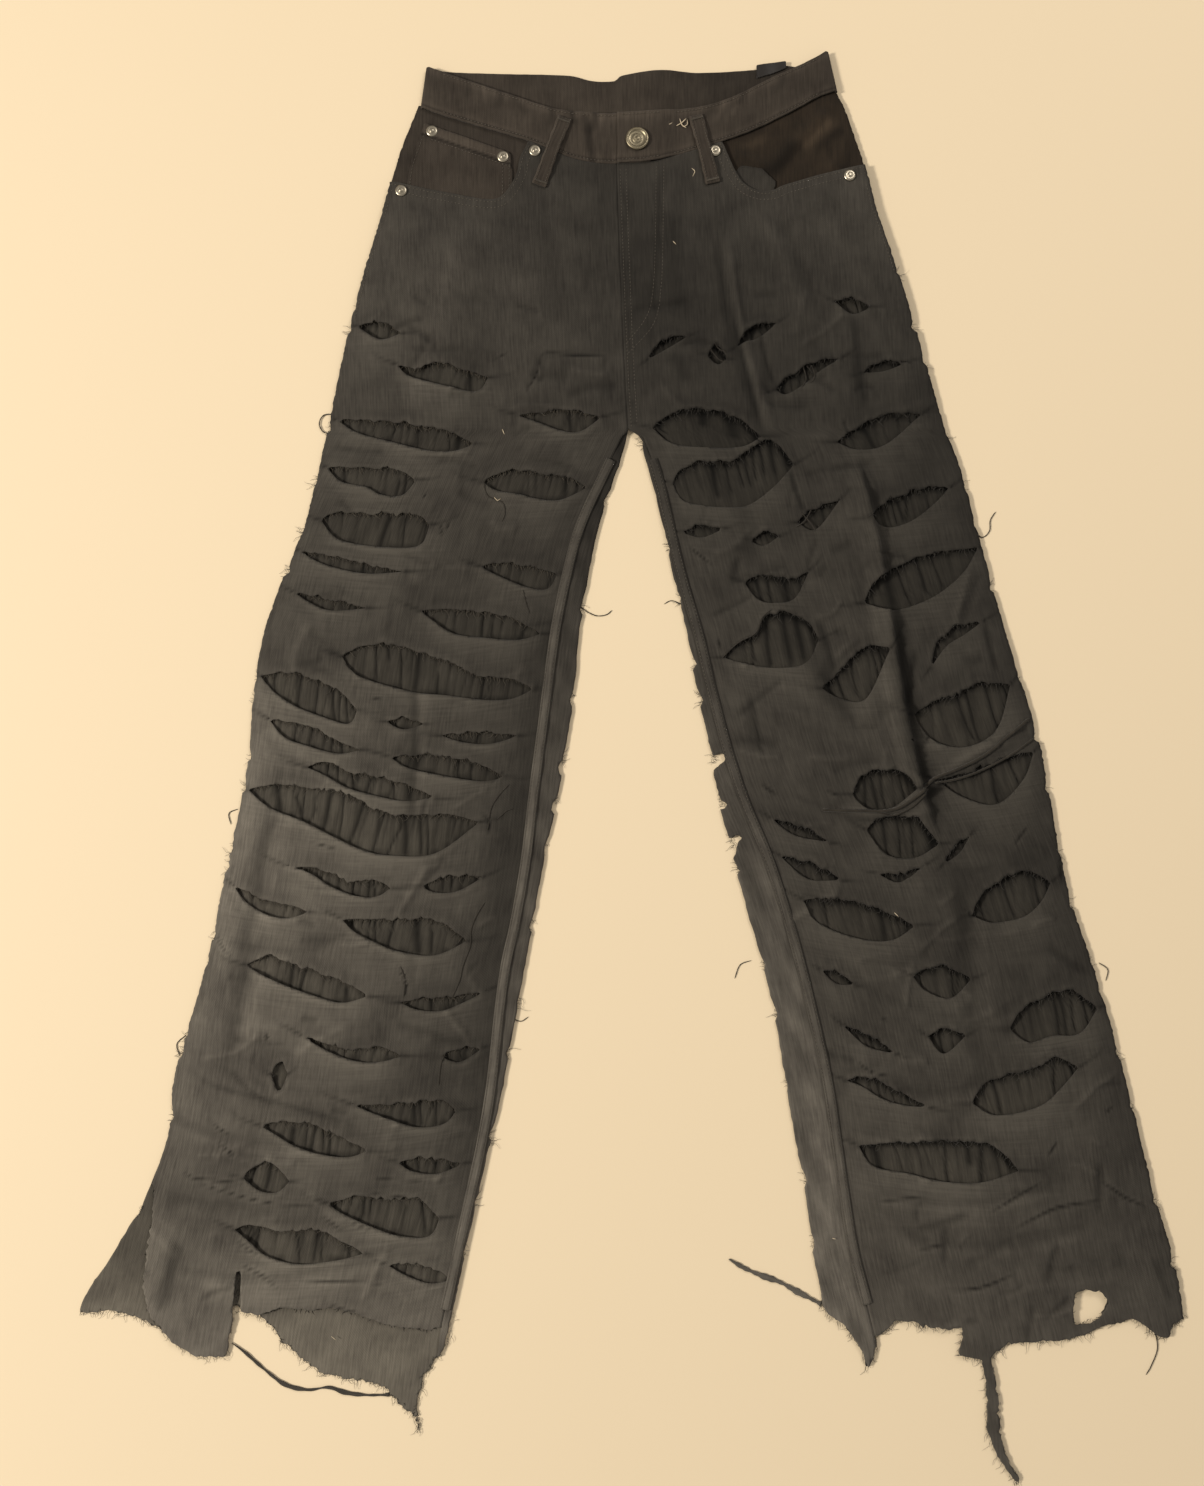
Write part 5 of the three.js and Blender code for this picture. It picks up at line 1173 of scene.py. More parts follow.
def front_panel(name, leg, lowest, *nodes):
    """Rows of y from the hem up, columns from small x to large x, cut by tears, hem, pocket and band."""
    y = np.arange(lowest, FRONT_TOP, FRONT_ROW_MM)[:, None]
    ends = sorted([leg["side"], lambda h: front_seam(leg, h)], key=lambda edge: float(edge(0.0)))
    left, right = ends[0](y), ends[1](y)
    t = np.linspace(0, 1, FRONT_COLUMNS)[None, :]
    x = left + (right - left) * t
    y = np.broadcast_to(y, x.shape)
    flat_x, flat_y = x.ravel(), y.ravel()
    top, depth, wear_and_shade, pulled = front_cloth(flat_x, flat_y, leg)
    depth = np.minimum(depth, cut_depth(flat_x, flat_y, leg["cut_away"]))
    depth = np.minimum(depth, band_lower(flat_x) - 0.3 - flat_y)
    down = flat_y + sag(flat_x, flat_y, leg)
    values = np.stack([flat_x, flat_y, top, wear_and_shade, pulled, flat_x - front_seam(leg, flat_y), down], -1)
    points, quads, triangles = cut_grid(values.reshape(*x.shape, -1), depth.reshape(x.shape))
    piece = cloth_mesh(name, points, quads, triangles)
    finish_piece(piece, denim_outer, "denim", *nodes)
    give_thickness(piece, CLOTH_MM, denim_inner)
    print(name, "triangles about", rough_size(quads, triangles), "top", round(points[:, 2].max(), 1), "mm")
    return piece


front_right = front_panel("right_front", RIGHT, -545, "front_right")
front_left = front_panel("left_front", LEFT, -650, "front_left")

# %% [markdown]
# ### Backs
# Through the tears the wrong side of the back shows, drawn into upright pleats by the pull of the cloth
# above it. The back also rolls over the inner edge of each leg as far as the inseam, so it is one sheet on
# a hairpin path. Its outer face is drawn, and the thickness goes inwards, which makes the face that shows
# through the tears.
# %% Pleats of the back
# Strong pleats, listed one by one: [top, foot, width]
RIGHT_PLEATS = [
    ([-121,346],[-122,328],2.6),([-131,286],[-133,272],4.0),([-141,288],[-141,272],1.3),
    ([-189,296],[-197,280],1.3),([-170,292],[-170,274],1.2),([-29,307],[-29,292],2.0),
    ([-5,302],[-5,293],2.0),([-237,254],[-237,245],1.4),([-187,243],[-190,229],1.8),
    ([-181,243],[-183,230],1.8),([-33,245],[-33,230],2.6),([-22,243],[-22,234],1.6),
    ([-194,210],[-204,180],3.0),([-158,208],[-166,181],1.3),([-180,208],[-184,182],1.2),
    ([-219,163],[-219,155],1.6),([-46,155],[-50,143],1.6),([-107,119],[-110,97],1.6),
    ([-100,108],[-100,97],1.4),([-70,108],[-76,94],2.4),([-205,88],[-206,60],1.4),
    ([-195,90],[-195,76],1.8),([-184,82],[-182,50],1.3),([-166,82],[-171,47],3.4),
    ([-150,60],[-150,44],1.4),([-106,60],[-110,40],1.8),([-298,63],[-298,50],1.4),
    ([-275,61],[-276,35],2.2),([-257,56],[-262,27],1.5),([-245,50],[-243,22],1.9),
    ([-237,46],[-240,21],1.2),([-232,42],[-231,18],1.3),([-277,18],[-279,1],1.4),
    ([-263,15],[-266,-3],1.7),([-244,4],[-246,-9],1.9),([-237,3],[-237,-9],1.9),
    ([-188,21],[-189,13],1.6),([-113,8],[-114,0],1.3),([-167,-12],[-169,-25],5.0),
    ([-130,-15],[-130,-31],1.5),([-118,-18],[-118,-33],1.2),([-248,-18],[-249,-30],1.9),
    ([-240,-20],[-240,-36],1.4),([-226,-28],[-226,-42],1.6),([-208,-30],[-213,-46],2.0),
    ([-190,-34],[-188,-52],1.3),([-173,-39],[-175,-53],4.0),([-293,-38],[-291,-61],3.6),
    ([-278,-46],[-271,-70],2.2),([-270,-43],[-270,-66],1.4),([-258,-58],[-265,-72],1.3),
    ([-245,-46],[-252,-79],2.8),([-232,-46],[-238,-84],1.4),([-215,-56],[-229,-92],2.4),
    ([-195,-62],[-208,-98],1.6),([-180,-75],[-194,-101],1.3),([-178,-66],[-177,-102],3.4),
    ([-163,-68],[-164,-101],2.2),([-157,-68],[-158,-100],1.2),([-224,-126],[-224,-138],1.5),
    ([-210,-125],[-211,-139],1.6),([-206,-125],[-204,-139],1.3),([-143,-124],[-143,-134],1.5),
    ([-136,-123],[-136,-134],1.3),([-112,-122],[-114,-128],2.4),([-225,-160],[-226,-167],2.4),
    ([-203,-160],[-203,-179],1.7),([-208,-160],[-209,-177],1.1),([-187,-160],[-191,-182],1.9),
    ([-165,-160],[-165,-189],4.6),([-152,-172],[-154,-190],1.7),([-277,-198],[-279,-221],3.0),
    ([-264,-203],[-270,-223],1.9),([-228,-219],[-228,-227],3.0),([-152,-230],[-152,-239],2.2),
    ([-166,-321],[-166,-339],2.4),([-161,-321],[-161,-340],1.7),([-147,-320],[-147,-340],1.2),
    ([-274,-342],[-275,-357],3.4),([-262,-340],[-263,-359],1.3),([-255,-340],[-257,-361],2.0),
    ([-247,-345],[-248,-362],1.3),([-242,-349],[-242,-366],1.7),([-175,-371],[-173,-378],2.6),
    ([-163,-370],[-163,-380],2.0),([-147,-370],[-147,-381],1.8),([-134,-371],[-134,-378],1.8),
    ([-307,-377],[-311,-391],2.2),([-293,-374],[-297,-395],2.6),([-211,-404],[-211,-418],2.4),
    ([-205,-404],[-205,-420],1.3),([-158,-406],[-157,-433],2.0),([-313,-428],[-309,-441],1.7),
    ([-308,-427],[-306,-443],1.9),([-302,-426],[-304,-444],2.2),([-268,-436],[-268,-459],1.3),
    ([-251,-431],[-253,-458],2.2),([-247,-433],[-247,-457],1.3),([-225,-442],[-223,-455],2.0),
]
LEFT_PLEATS = [
    ([54,298],[56,276],3.0),([92,308],[94,294],6.0),([118,302],[122,282],8.0),([138,300],[142,280],5.0),
    ([101,260],[107,230],3.0),([113,261],[120,232],1.4),([124,264],[131,238],1.3),
    ([131,268],[137,240],1.7),([138,273],[143,244],1.4),([145,276],[150,250],1.6),
    ([155,279],[161,248],3.0),([168,275],[173,257],3.4),([243,292],[252,270],4.0),
    ([272,227],[277,205],2.4),([268,223],[271,203],1.3),([282,228],[280,206],1.3),
    ([140,152],[146,130],3.0),([151,152],[156,130],1.8),([166,150],[171,127],3.6),
    ([133,148],[133,134],2.0),([289,167],[297,138],2.0),([303,172],[311,146],1.4),
    ([272,158],[282,126],1.3),([262,154],[266,124],6.0),([214,62],[219,42],2.0),([228,74],[232,44],1.4),
    ([205,58],[210,44],4.0),([245,88],[254,58],1.3),([252,88],[258,66],1.3),([150,110],[154,72],3.0),
    ([166,118],[172,74],4.0),([178,116],[184,76],4.0),([136,96],[138,74],1.6),([322,44],[337,4],1.8),
    ([330,48],[343,3],1.9),([348,53],[360,15],1.8),([366,52],[370,34],1.6),([237,-28],[239,-60],2.4),
    ([244,-28],[249,-60],2.2),([253,-28],[256,-58],1.2),([270,-28],[274,-52],1.3),
    ([352,-22],[359,-54],2.2),([310,-36],[320,-50],1.4),([368,-15],[378,-36],1.4),
    ([252,-67],[258,-101],2.0),([266,-68],[270,-102],1.2),([278,-69],[282,-102],1.3),
    ([296,-74],[300,-98],4.0),([340,-141],[343,-156],1.4),([361,-127],[371,-157],2.0),
    ([388,-117],[394,-145],1.8),([400,-124],[401,-138],1.3),([250,-152],[254,-176],3.4),
    ([275,-156],[275,-174],2.0),([200,-146],[202,-164],1.3),([285,-206],[286,-221],1.4),
    ([312,-202],[315,-228],1.6),([318,-202],[319,-228],1.3),([325,-204],[329,-226],2.8),
    ([293,-258],[295,-269],2.0),([300,-257],[303,-276],2.4),([321,-257],[321,-265],2.0),
    ([404,-227],[408,-260],2.0),([409,-225],[415,-260],2.0),([420,-223],[422,-258],1.4),
    ([429,-225],[433,-252],1.4),([437,-230],[439,-242],2.0),([331,-314],[331,-328],1.9),
    ([348,-302],[354,-330],2.2),([403,-282],[403,-314],1.4),([417,-284],[421,-304],2.2),
    ([226,-299],[227,-304],4.0),([303,-356],[307,-389],1.8),([323,-354],[326,-374],2.8),
    ([336,-355],[337,-390],2.2),([356,-364],[363,-380],1.6),([240,-357],[246,-378],4.0),
    ([230,-359],[231,-370],3.0),([190,349],[190,334],1.4),([184,346],[183,332],1.3),
    ([166,334],[167,325],4.0),
]


# %% [markdown]
# ### Valleys from pleats
# Between the listed pleats come fine seeded ones. A pleat is a valley: narrow, upright and darkest by
# the upper lip, where the cloth above shades it.
# %% Pleat fields
def placed(pleats):
    """The listed pleats as lines of (middle x, foot y, top y, width, lean, depth)."""
    return [((top[0] + foot[0]) / 2, foot[1], top[1], wide, (top[0] - foot[0]) / (top[1] - foot[1]), 1.0)
            for top, foot, wide in pleats]


def pleats_of(tears, lean, seed):
    """Upright pleat lines: for each tear, one every 5 to 14 mm, with its foot, head, width and depth."""
    rng = np.random.default_rng(seed)
    lines = []
    for tear in tears:
        low, high = tear["low"], tear["high"]
        at = low[0, 0] + rng.uniform(2, 7)
        while at < low[-1, 0] - 2:
            bottom = np.interp(at, low[:, 0], low[:, 1])
            top = np.interp(at, high[:, 0], high[:, 1])
            reach = rng.uniform(-0.25, 0.5, 2) * max(top - bottom, 4)
            wide = rng.choice([0.9, 1.2, 1.6, 2.6], p=[0.3, 0.35, 0.25, 0.1])
            lines.append((at, bottom - 9 + max(reach[0], 0), top + 9 - max(reach[1], 0), wide,
                          lean + rng.uniform(-0.12, 0.12), rng.uniform(0.3, 0.85)))
            at += rng.uniform(4.5, 9) if rng.random() < 0.65 else rng.uniform(9, 15)
    return lines


def pleated(x, y, lines):
    """How deep in a pleat's valley each place is, 0 to 1: exp(-(across/width)^2) times a window along it."""
    valley = np.zeros(x.shape)
    for at, bottom, top, wide, lean, deep in lines:
        pick = np.nonzero((y > bottom - 4) & (y < top + 4) & (np.abs(x - at) < 14 + 0.4 * (top - bottom)))[0]
        gap = x[pick] - at - lean * (y[pick] - (top + bottom) / 2) - 0.8 * np.sin(y[pick] / 9 + at)
        near = deep * np.exp(-(gap / wide) ** 2) * window(y[pick], top, bottom, 4)
        valley[pick] = np.maximum(valley[pick], near)
    return valley


def back_cloth(x, y, leg, lines):
    """Lift of the back above the floor and its shade: puffed by PLEAT in and near the tears but for the
    valleys. Where a lip is slack the pleats swell up level with it. The shade is darkest in the valleys,
    which are deepest by the upper lip, and close under a lip that stands proud."""
    inside, by_low, by_high = (np.full(x.shape, value) for value in (-99.0, 99.0, 99.0))
    for tear in leg["tears"]:
        pick = near_box(x, y, tear["outline"], 16)
        inside[pick] = np.maximum(inside[pick], depth_inside(x[pick], y[pick], tear["outline"]))
        by_low[pick] = np.minimum(by_low[pick], nearest(x[pick], y[pick], tear["low"])[0])
        by_high[pick] = np.minimum(by_high[pick], nearest(x[pick], y[pick], tear["high"])[0])
    valley = pleated(x, y, lines) * (0.35 + 0.65 * np.exp(-by_high / 14))
    valley = np.maximum(valley, pleated(x, y, placed(leg["pleats"])) * (0.82 + 0.18 * np.exp(-by_high / 10)))
    from_side = np.abs(x - leg["side"](y))
    from_crease = np.abs(x - leg["crease"](y))
    puff = rise(-13, -4, inside) * rise(5, 22, from_side) * rise(3, 18, from_crease)
    lift = PLEAT * puff * (1 - valley) * (0.8 + 0.2 * np.sin(x / 3.7))
    flush = np.maximum((1 - leg["low_lip"]) * np.exp(-by_low / 6),
                       (1 - leg["high_lip"]) * np.exp(-by_high / 5))
    lift = lift + 2.3 * flush * rise(0.3, 2.6, inside) * (1 - valley) * puff
    under = 1 - leg["high_lip"] * (0.75 * np.exp(-(by_high / 4.2) ** 2)
                                   + 0.25 * np.exp(-(by_high / 1.5) ** 2))
    over = 1 - leg["low_lip"] * 0.6 * np.exp(-(by_low / 1.5) ** 2)
    shade = np.where(inside > -2, np.clip(under, 0.15, 1) * np.clip(over, 0.15, 1), 1)
    return lift, shade * (1 - 0.86 * valley)


# %% [markdown]
# The pleats and the roll are now one height over one path, so each back stays a single sheet, as it is on
# the garment. Two sheets that met in the roll would show a seam there.
# %% Two back panels
FLAT_COLUMNS, TURN_COLUMNS, ROLL_COLUMNS = 172, 6, 10


def back_panel(name, leg, lines, fade, roll_fade_and_shade, *nodes):
    """Rows of y from the hem up. Each row's path runs flat from the side, turns round the inner edge on
    a half circle of FOLD_RADIUS plus half the cloth, and comes back on top as far as the inseam."""
    inward = leg["inward"]
    fine = 3.0 if inward > 0 else 5.6
    y = np.concatenate([np.arange(-612, -470, 2.8), np.arange(-468, -132, 5.6), np.arange(-128, 20, fine),
                        np.arange(22, 400, 5.6), np.linspace(404, 596, 12)])[:, None]
    outer_radius = FOLD_RADIUS + BACK_CLOTH / 2
    above = rise(CROTCH_Y - 2, CROTCH_Y + 6, y)
    edge = leg["crease"](y) * (1 - above) + (centre_seam(y) + inward * 0.15) * above
    turn_x = edge + inward * outer_radius
    seam = leg["inseam"](y) - inward * 0.15
    roll_end = np.where((y < CROTCH_Y) & (inward * (seam - turn_x) > 2), seam, turn_x + inward * 2)
    flat_t = np.linspace(0, 1, FLAT_COLUMNS)[None, :]
    turn_t = np.linspace(0, 1, TURN_COLUMNS + 2)[None, 1:]
    roll_t = np.linspace(0, 1, ROLL_COLUMNS + 1)[None, 1:]
    side = leg["side"](y)
    x = np.concatenate([side + (turn_x - side) * flat_t,
                        turn_x - inward * outer_radius * np.sin(np.pi * turn_t),
                        turn_x + (roll_end - turn_x) * roll_t], 1)
    z = np.concatenate([np.zeros((len(y), FLAT_COLUMNS)),
                        outer_radius * (1 - np.cos(np.pi * turn_t)) * np.ones_like(y),
                        2 * outer_radius * np.ones((len(y), ROLL_COLUMNS))], 1)
    y = np.broadcast_to(y, x.shape)
    flat = np.arange(x.shape[1])[None, :] < FLAT_COLUMNS
    lift, shade = back_cloth(x.ravel(), y.ravel(), leg, lines)
    lift, shade = lift.reshape(x.shape), shade.reshape(x.shape)
    bump = 0.35 * np.sin(y / 4.3 + x / 9) * np.sin(y / 13)
    rub = 1 + 0.17 * np.sin(y / 15 + 2 * np.sin(y / 37)) * np.sin(x / 5 + y / 19)
    rub = rub - 0.1 * np.sin(y / 6.5 + x / 4)
    z = z + np.where(flat, lift, bump * (z > 2.9))
    share = np.clip(np.abs(x - side) / np.maximum(np.abs(seam - side), 1), 0, 1)
    # As on the front, the side and seam tables paint the leg paler on its side towards the light.
    leg_fade = leg["fade"](y) * (leg["side_fade_and_light"](y) * (1 - share) + leg["seam_fade_and_light"](y) * share)
    # On the roll the tone is the roll's table, which on the right leg is painted shadow where it falls to 0.3
    # near the crotch.
    wear_and_shade = np.where(flat, fade(y) * leg_fade * shade, roll_fade_and_shade(y) * rub)
    depth = cut_depth(x.ravel(), y.ravel(), leg["back_cut"]).reshape(x.shape)
    values = np.stack([x, y, z, wear_and_shade, np.zeros_like(x), x - leg["inseam"](y), y], -1)
    points, quads, triangles = cut_grid(values, depth)
    if inward < 0:
        quads, triangles = quads[:, ::-1], triangles[:, ::-1]
    piece = cloth_mesh(name, points, quads, triangles)
    finish_piece(piece, denim_outer, "denim_inside", *nodes)
    give_thickness(piece, BACK_CLOTH, denim_inner)
    print(name, "triangles about", rough_size(quads, triangles))
    return piece


RIGHT["pleats"], LEFT["pleats"] = RIGHT_PLEATS, LEFT_PLEATS
# The right roll's tone falls to 0.3 near the crotch: painted shadow along that inner roll.
back_right = back_panel("right_back", RIGHT, pleats_of(right_tears, RIGHT["lean"], 31),
                        along([[600,0.9],[0,0.94],[-470,1.0],[-515,1.18],[-610,1.3]]),
                        along([[300,0.3],[200,0.4],[110,0.62],[0,0.86],[-300,1.15],[-500,1.5]]), "back_right")
back_left = back_panel("left_back", LEFT, pleats_of(left_tears, LEFT["lean"], 32),
                       along([[600,0.9],[0,0.95],[-480,1.0],[-550,1.1]]),
                       along([[300,0.6],[0,0.98],[-200,1.3],[-420,1.75],[-500,1.75]]), "back_left")

# %% [markdown]
# ## Waistband
# The band is one double strip. It starts under the button, runs to the right side, folds there, crosses the
# back, folds at the left side and ends over its own start. It is drawn as one path with a half circle at
# each side, and a grid carried along it. Its puckers come from the stitching that draws it in.
# %% The band as one strip
BAND_CLOTH, BAND_FOLD_RADIUS = 2.0, 2.2
BAND_FRONT_TOP = BAND_CLOTH + 2 * BAND_FOLD_RADIUS
BAND_OVERLAP_TOP = BAND_FRONT_TOP + BAND_CLOTH + STACK_GAP
BAND_ROWS = 30


def band_columns():
    """Columns of the strip as rows of (low x, low y, high x, high y, z, nz): nz is how far it faces up.
    The front runs face up at BAND_FRONT_TOP, the back run faces down on the floor, and each side turns on
    a half circle."""
    def turn(low, high, side, steps):
        angle = np.pi * steps
        radius = BAND_FOLD_RADIUS + BAND_CLOTH / 2
        out = side * radius * np.sin(angle)
        z = radius * (1 - np.cos(angle))
        one = np.ones_like(out)
        return np.stack([low[0] + out, low[1] * one, high[0] + out, high[1] * one, z, -np.cos(angle)], 1)

    def run(x, lower, upper, z, up):
        one = np.ones_like(x)
        return np.stack([x, lower(x), x, upper(x), z * one, up * one], 1)

    front = run(np.linspace(46, -158, 92), band_lower, band_upper, BAND_FRONT_TOP, 1)
    right = turn((-168, 599.5), (-163, 639.5), -1, np.linspace(1, 0, 9))
    back = run(np.linspace(-152, 202, 150), back_band_lower, back_band_upper, 0, -1)
    left = turn((219, 616), (211, 655), 1, np.linspace(0, 1, 9))
    end_x = np.linspace(206, 14.4, 88)
    end = run(end_x, band_lower, band_upper, 1, 1)
    end[:, 4] = BAND_FRONT_TOP + (BAND_OVERLAP_TOP - BAND_FRONT_TOP) * rise(74, 56, end_x)
    return np.vstack([front, right, back, left, end])


def waistband():
    """Each column becomes BAND_ROWS points from its low to its high edge. Puckers push the front runs out
    by sines that are strongest by the two rows of stitching, and the crease by the button pulls them in.
    The back run only puckers upwards."""
    columns = band_columns()
    t = np.linspace(0, 1, BAND_ROWS)[None, :]
    low_x, low_y, high_x, high_y, z, nz = (columns[:, k, None] for k in range(6))
    x, y = low_x + (high_x - low_x) * t, low_y + (high_y - low_y) * t
    face = (nz > 0.5) * 1.0
    edge = np.exp(-((t - 0.07) / 0.1) ** 2) + np.exp(-((t - 0.93) / 0.1) ** 2)
    pucker = 0.3 * np.sin(x / 2.3 + 2.2 * np.sin(x / 17)) * edge + 0.25 * np.sin(x / 19) * np.sin(t * 3)
    back_pucker = 0.45 * np.sin(x / 3.1 + 1.6 * np.sin(x / 11)) * (0.4 + 0.6 * np.sin(np.pi * t))
    groove = -0.5 * np.exp(-((t - 0.07) / 0.022) ** 2) - 0.4 * np.exp(-((t - 0.93) / 0.022) ** 2)
    pinch_gap = nearest(x, y, np.array([[-14.0,590],[-11,570],[-8,546]]))[0]
    pinch = -1.5 * np.exp(-(pinch_gap / 3.0) ** 2) + 1.0 * np.exp(-((pinch_gap - 6) / 3.0) ** 2)
    points = np.stack([x, y, z + nz * face * (pucker + groove + pinch)], -1)
    points[..., 2] += np.where(nz < -0.5, np.maximum(back_pucker, 0) * 0.8, 0)
    # The face is paler along both edges. The thin dark line at the lower row of stitching is painted shade in
    # its groove, and the darkening round the crease by the button is painted shade in that crease.
    wear_and_shade = np.where(face > 0, 0.68 + 0.22 * edge - 0.4 * np.exp(-((t - 0.07) / 0.03) ** 2), 0.64)
    wear_and_shade = wear_and_shade * (1 - 0.45 * np.exp(-(pinch_gap / 2.4) ** 2) * face) * np.ones_like(x)
    wear_and_shade = wear_and_shade * (1 - 0.1 * rise(60, 200, x)) * np.where(face > 0, 1, 1 - 0.3 * rise(30, 110, x))
    # Bands of painted shade in the band's creases and painted highlight on the ridges between them.
    bands = shade_light_and_wear_bands(x.ravel(), y.ravel(), [
        (-0.45,3.2,[[-30,614],[-29,596],[-22,578]]),(-0.5,4.0,[[-10,610],[-7,592],[-12,570]]),
        (0.3,2.4,[[-3,602],[-2,586],[-5,570]]),(-0.35,3.0,[[-50,608],[-47,592],[-52,578]]),
        (-0.35,4.0,[[94,586],[103,600],[112,614]]),(0.28,3.0,[[104,584],[113,598],[118,610]]),
        (-0.3,3.0,[[128,600],[133,612],[137,624]]),(0.24,2.4,[[121,590],[127,604]]),
        (-0.35,3.0,[[-100,596],[-96,610],[-99,624]]),(-0.28,3.0,[[-130,606],[-125,620],[-129,634]]),
        (0.24,3.0,[[-112,600],[-110,616],[-114,630]]),(-0.3,4.0,[[160,610],[168,622],[172,634]]),
        (0.2,5.0,[[20,596],[50,596],[74,600]]),(-0.25,3.0,[[-70,590],[-80,606],[-84,618]]),
    ])
    wear_and_shade = wear_and_shade * np.where(face > 0, bands.reshape(x.shape), 1)
    # Travelling left along the front with the rows going up, the outward face is on the right of travel.
    piece = put_mesh("waistband_strip", points.reshape(-1, 3), grid_quads(*x.shape), [], {
        "wear_and_shade": wear_and_shade.ravel(), "stretch": np.zeros(x.size), "across": x.ravel(), "down": y.ravel()})
    finish_piece(piece, denim_rusty, "denim", "waistband")
    give_thickness(piece, BAND_CLOTH - 0.1, denim_rusty)
    return piece


band = waistband()
print("band triangles about", len(band.data.polygons) * 4)

# %% [markdown]
# ## Inside the pockets
# Above the curved mouths the pocket's own pieces show: a denim facing with the small coin pocket on the
# right, and the thin black bag on the left, which has slipped and lies in a diagonal fold. Each is a cut
# grid on the height of its solid.
# %% Flat-laid pocket pieces
FACING_TOP, COIN_TOP = 3.3, 4.6
BAG_CLOTH = 0.9


def laid_piece(name, outline, height, wear_and_shade, material, slot, *nodes, step=1.9, seed=0, rough=0.25):
    """A square grid over an outline, cut to it; height and tone are functions of x and y. The tone is
    wear, and on some pieces painted shade and highlight.
    """
    line = ragged(np.vstack([outline, outline[:1]]), seed, rough)[:-1]
    low, high = line.min(0) - 2 * step, line.max(0) + 2 * step
    x, y = np.meshgrid(np.arange(low[0], high[0], step), np.arange(low[1], high[1], step))
    depth = depth_inside(x, y, line)
    tone = wear_and_shade(x, y) * (0.75 + 0.25 * rise(0, 3, depth))
    values = np.stack([x, y, height(x, y), tone, np.zeros_like(x), x, y], -1)
    points, quads, triangles = cut_grid(values, depth)
    piece = cloth_mesh(name, points, quads, triangles)
    finish_piece(piece, material, slot, *nodes)
    give_thickness(piece, BAG_CLOTH)
    return piece


def bag_height(x, y):
    """The bag's fold is a soft ridge on a given line with a trough beside it, and small crumples."""
    ridge = folded(x.ravel(), y.ravel(), [
        (SOFT,2.2,6.0,[[158,540],[178,562],[196,582],[214,602]]),
        (SOFT,-1.0,5.0,[[168,534],[190,560],[208,580],[224,598]]),
        (SOFT,1.3,4.0,[[122,556],[146,548],[166,536]]),
        (SOFT,1.0,4.0,[[205,530],[222,552],[232,578]]),
    ]).reshape(x.shape)
    return FACING_TOP + np.clip(ridge, -0.3, 3.0) + 0.25 * np.sin(x / 6.1 + y / 9.0) * np.sin(y / 5.3)


def facing_height(x, y):
    """A facing lies flat but for a slight pull towards the band."""
    return FACING_TOP + 0.15 * np.sin(x / 7.0) * rise(520, 590, y)


def coin_height(x, y):
    """The coin pocket's mouth is a hem, so its top 9 mm is 0.5 mm thicker, and its body bellies a little."""
    mouth = 585 - (x + 167) * 29 / 81
    return COIN_TOP + 0.45 * rise(10.5, 9.5, mouth - y) + 0.35 * np.sin(np.pi * np.clip((x + 180) / 96, 0, 1))


def coin_wear_and_shade(x, y):
    """Paler along the hem of the mouth, where fingers rub, and darker in the step below it, which is painted
    shade.
    """
    mouth = 585 - (x + 167) * 29 / 81
    return 0.64 + 0.3 * rise(11, 9, mouth - y) - 0.4 * np.exp(-((mouth - y - 11) / 1.3) ** 2)


def under_band(outline):
    """The same outline with every point that lies along the band's lower edge moved 5.5 mm up under it."""
    line = np.array(outline, float)
    line[:, 1] += 5.5 * (line[:, 1] > band_lower(line[:, 0]) - 5)
    return line


def bag_light_and_shade(x, y):
    """The thin black bag takes the light on its slipped fold and loses it in the pocket's low corner."""
    tone = shade_light_and_wear_bands(x.ravel(), y.ravel(), [
        (-0.6,9.0,[[140,530],[160,540],[174,556],[184,574]]),
        (1.1,8.0,[[186,560],[204,578],[222,594]]),
        (0.6,5.0,[[120,562],[142,566],[160,574]]),
        (-0.35,5.0,[[196,556],[214,572],[230,580]]),
        (-0.4,4.0,[[222,530],[232,550],[236,572]]),
    ])
    return tone.reshape(x.shape)


# The right facing darkens towards its foot by the pocket mouth: painted shadow of the mouth's edge.
facing_right = laid_piece("right_pocket_facing", under_band(facing_right_outline), facing_height,
                          lambda x, y: 0.55 - 0.12 * rise(540, 505, y), denim_rusty, "denim",
                          "pocket_facing_right", seed=51)
coin = laid_piece("coin_pocket_patch", coin_pocket_outline, coin_height, coin_wear_and_shade, denim_rusty, "denim",
                  "coin_pocket", seed=52, rough=0.15)
bag = laid_piece("left_pocket_bag", under_band(bag_left_outline), bag_height, bag_light_and_shade, pocket_cloth,
                 "pocket_cloth", "pocket_bag_left", seed=53)
facing_left = laid_piece("left_pocket_facing", facing_left_outline, lambda x, y: COIN_TOP + 0 * x,
                         lambda x, y: 0.54 + 0 * x, denim_outer, "denim", "pocket_facing_left",
                         seed=54, step=1.4)
label = laid_piece("care_label_blank", np.array([[146,630],[160,634],[174,640],[174,647],[146,643]], float),
                   lambda x, y: 3.5 + 0.15 * np.sin(x / 3), lambda x, y: 1 + 0 * x, satin, "label",
                   "label_blank", seed=55, step=1.0, rough=0.05)

# %% [markdown]
# ## Belt loops and inseams
# A loop is a strip folded in three and tacked at both ends, so it stands off the band between its tacks. The
# inseam is felled: the two cloths are folded into each other and sewn down twice, which leaves a flat ridge
# with a groove at each row of stitches.
# %% Strips along a line
def left_of(run):
    """Directions in plan turned a quarter to the left."""
    return np.stack([-run[:, 1], run[:, 0]], -1)


def left_normals(line):
    """The unit left normal at each point: the direction between its neighbours, turned a quarter."""
    run = np.gradient(line, axis=0)
    return left_of(run / np.hypot(*run.T)[:, None])


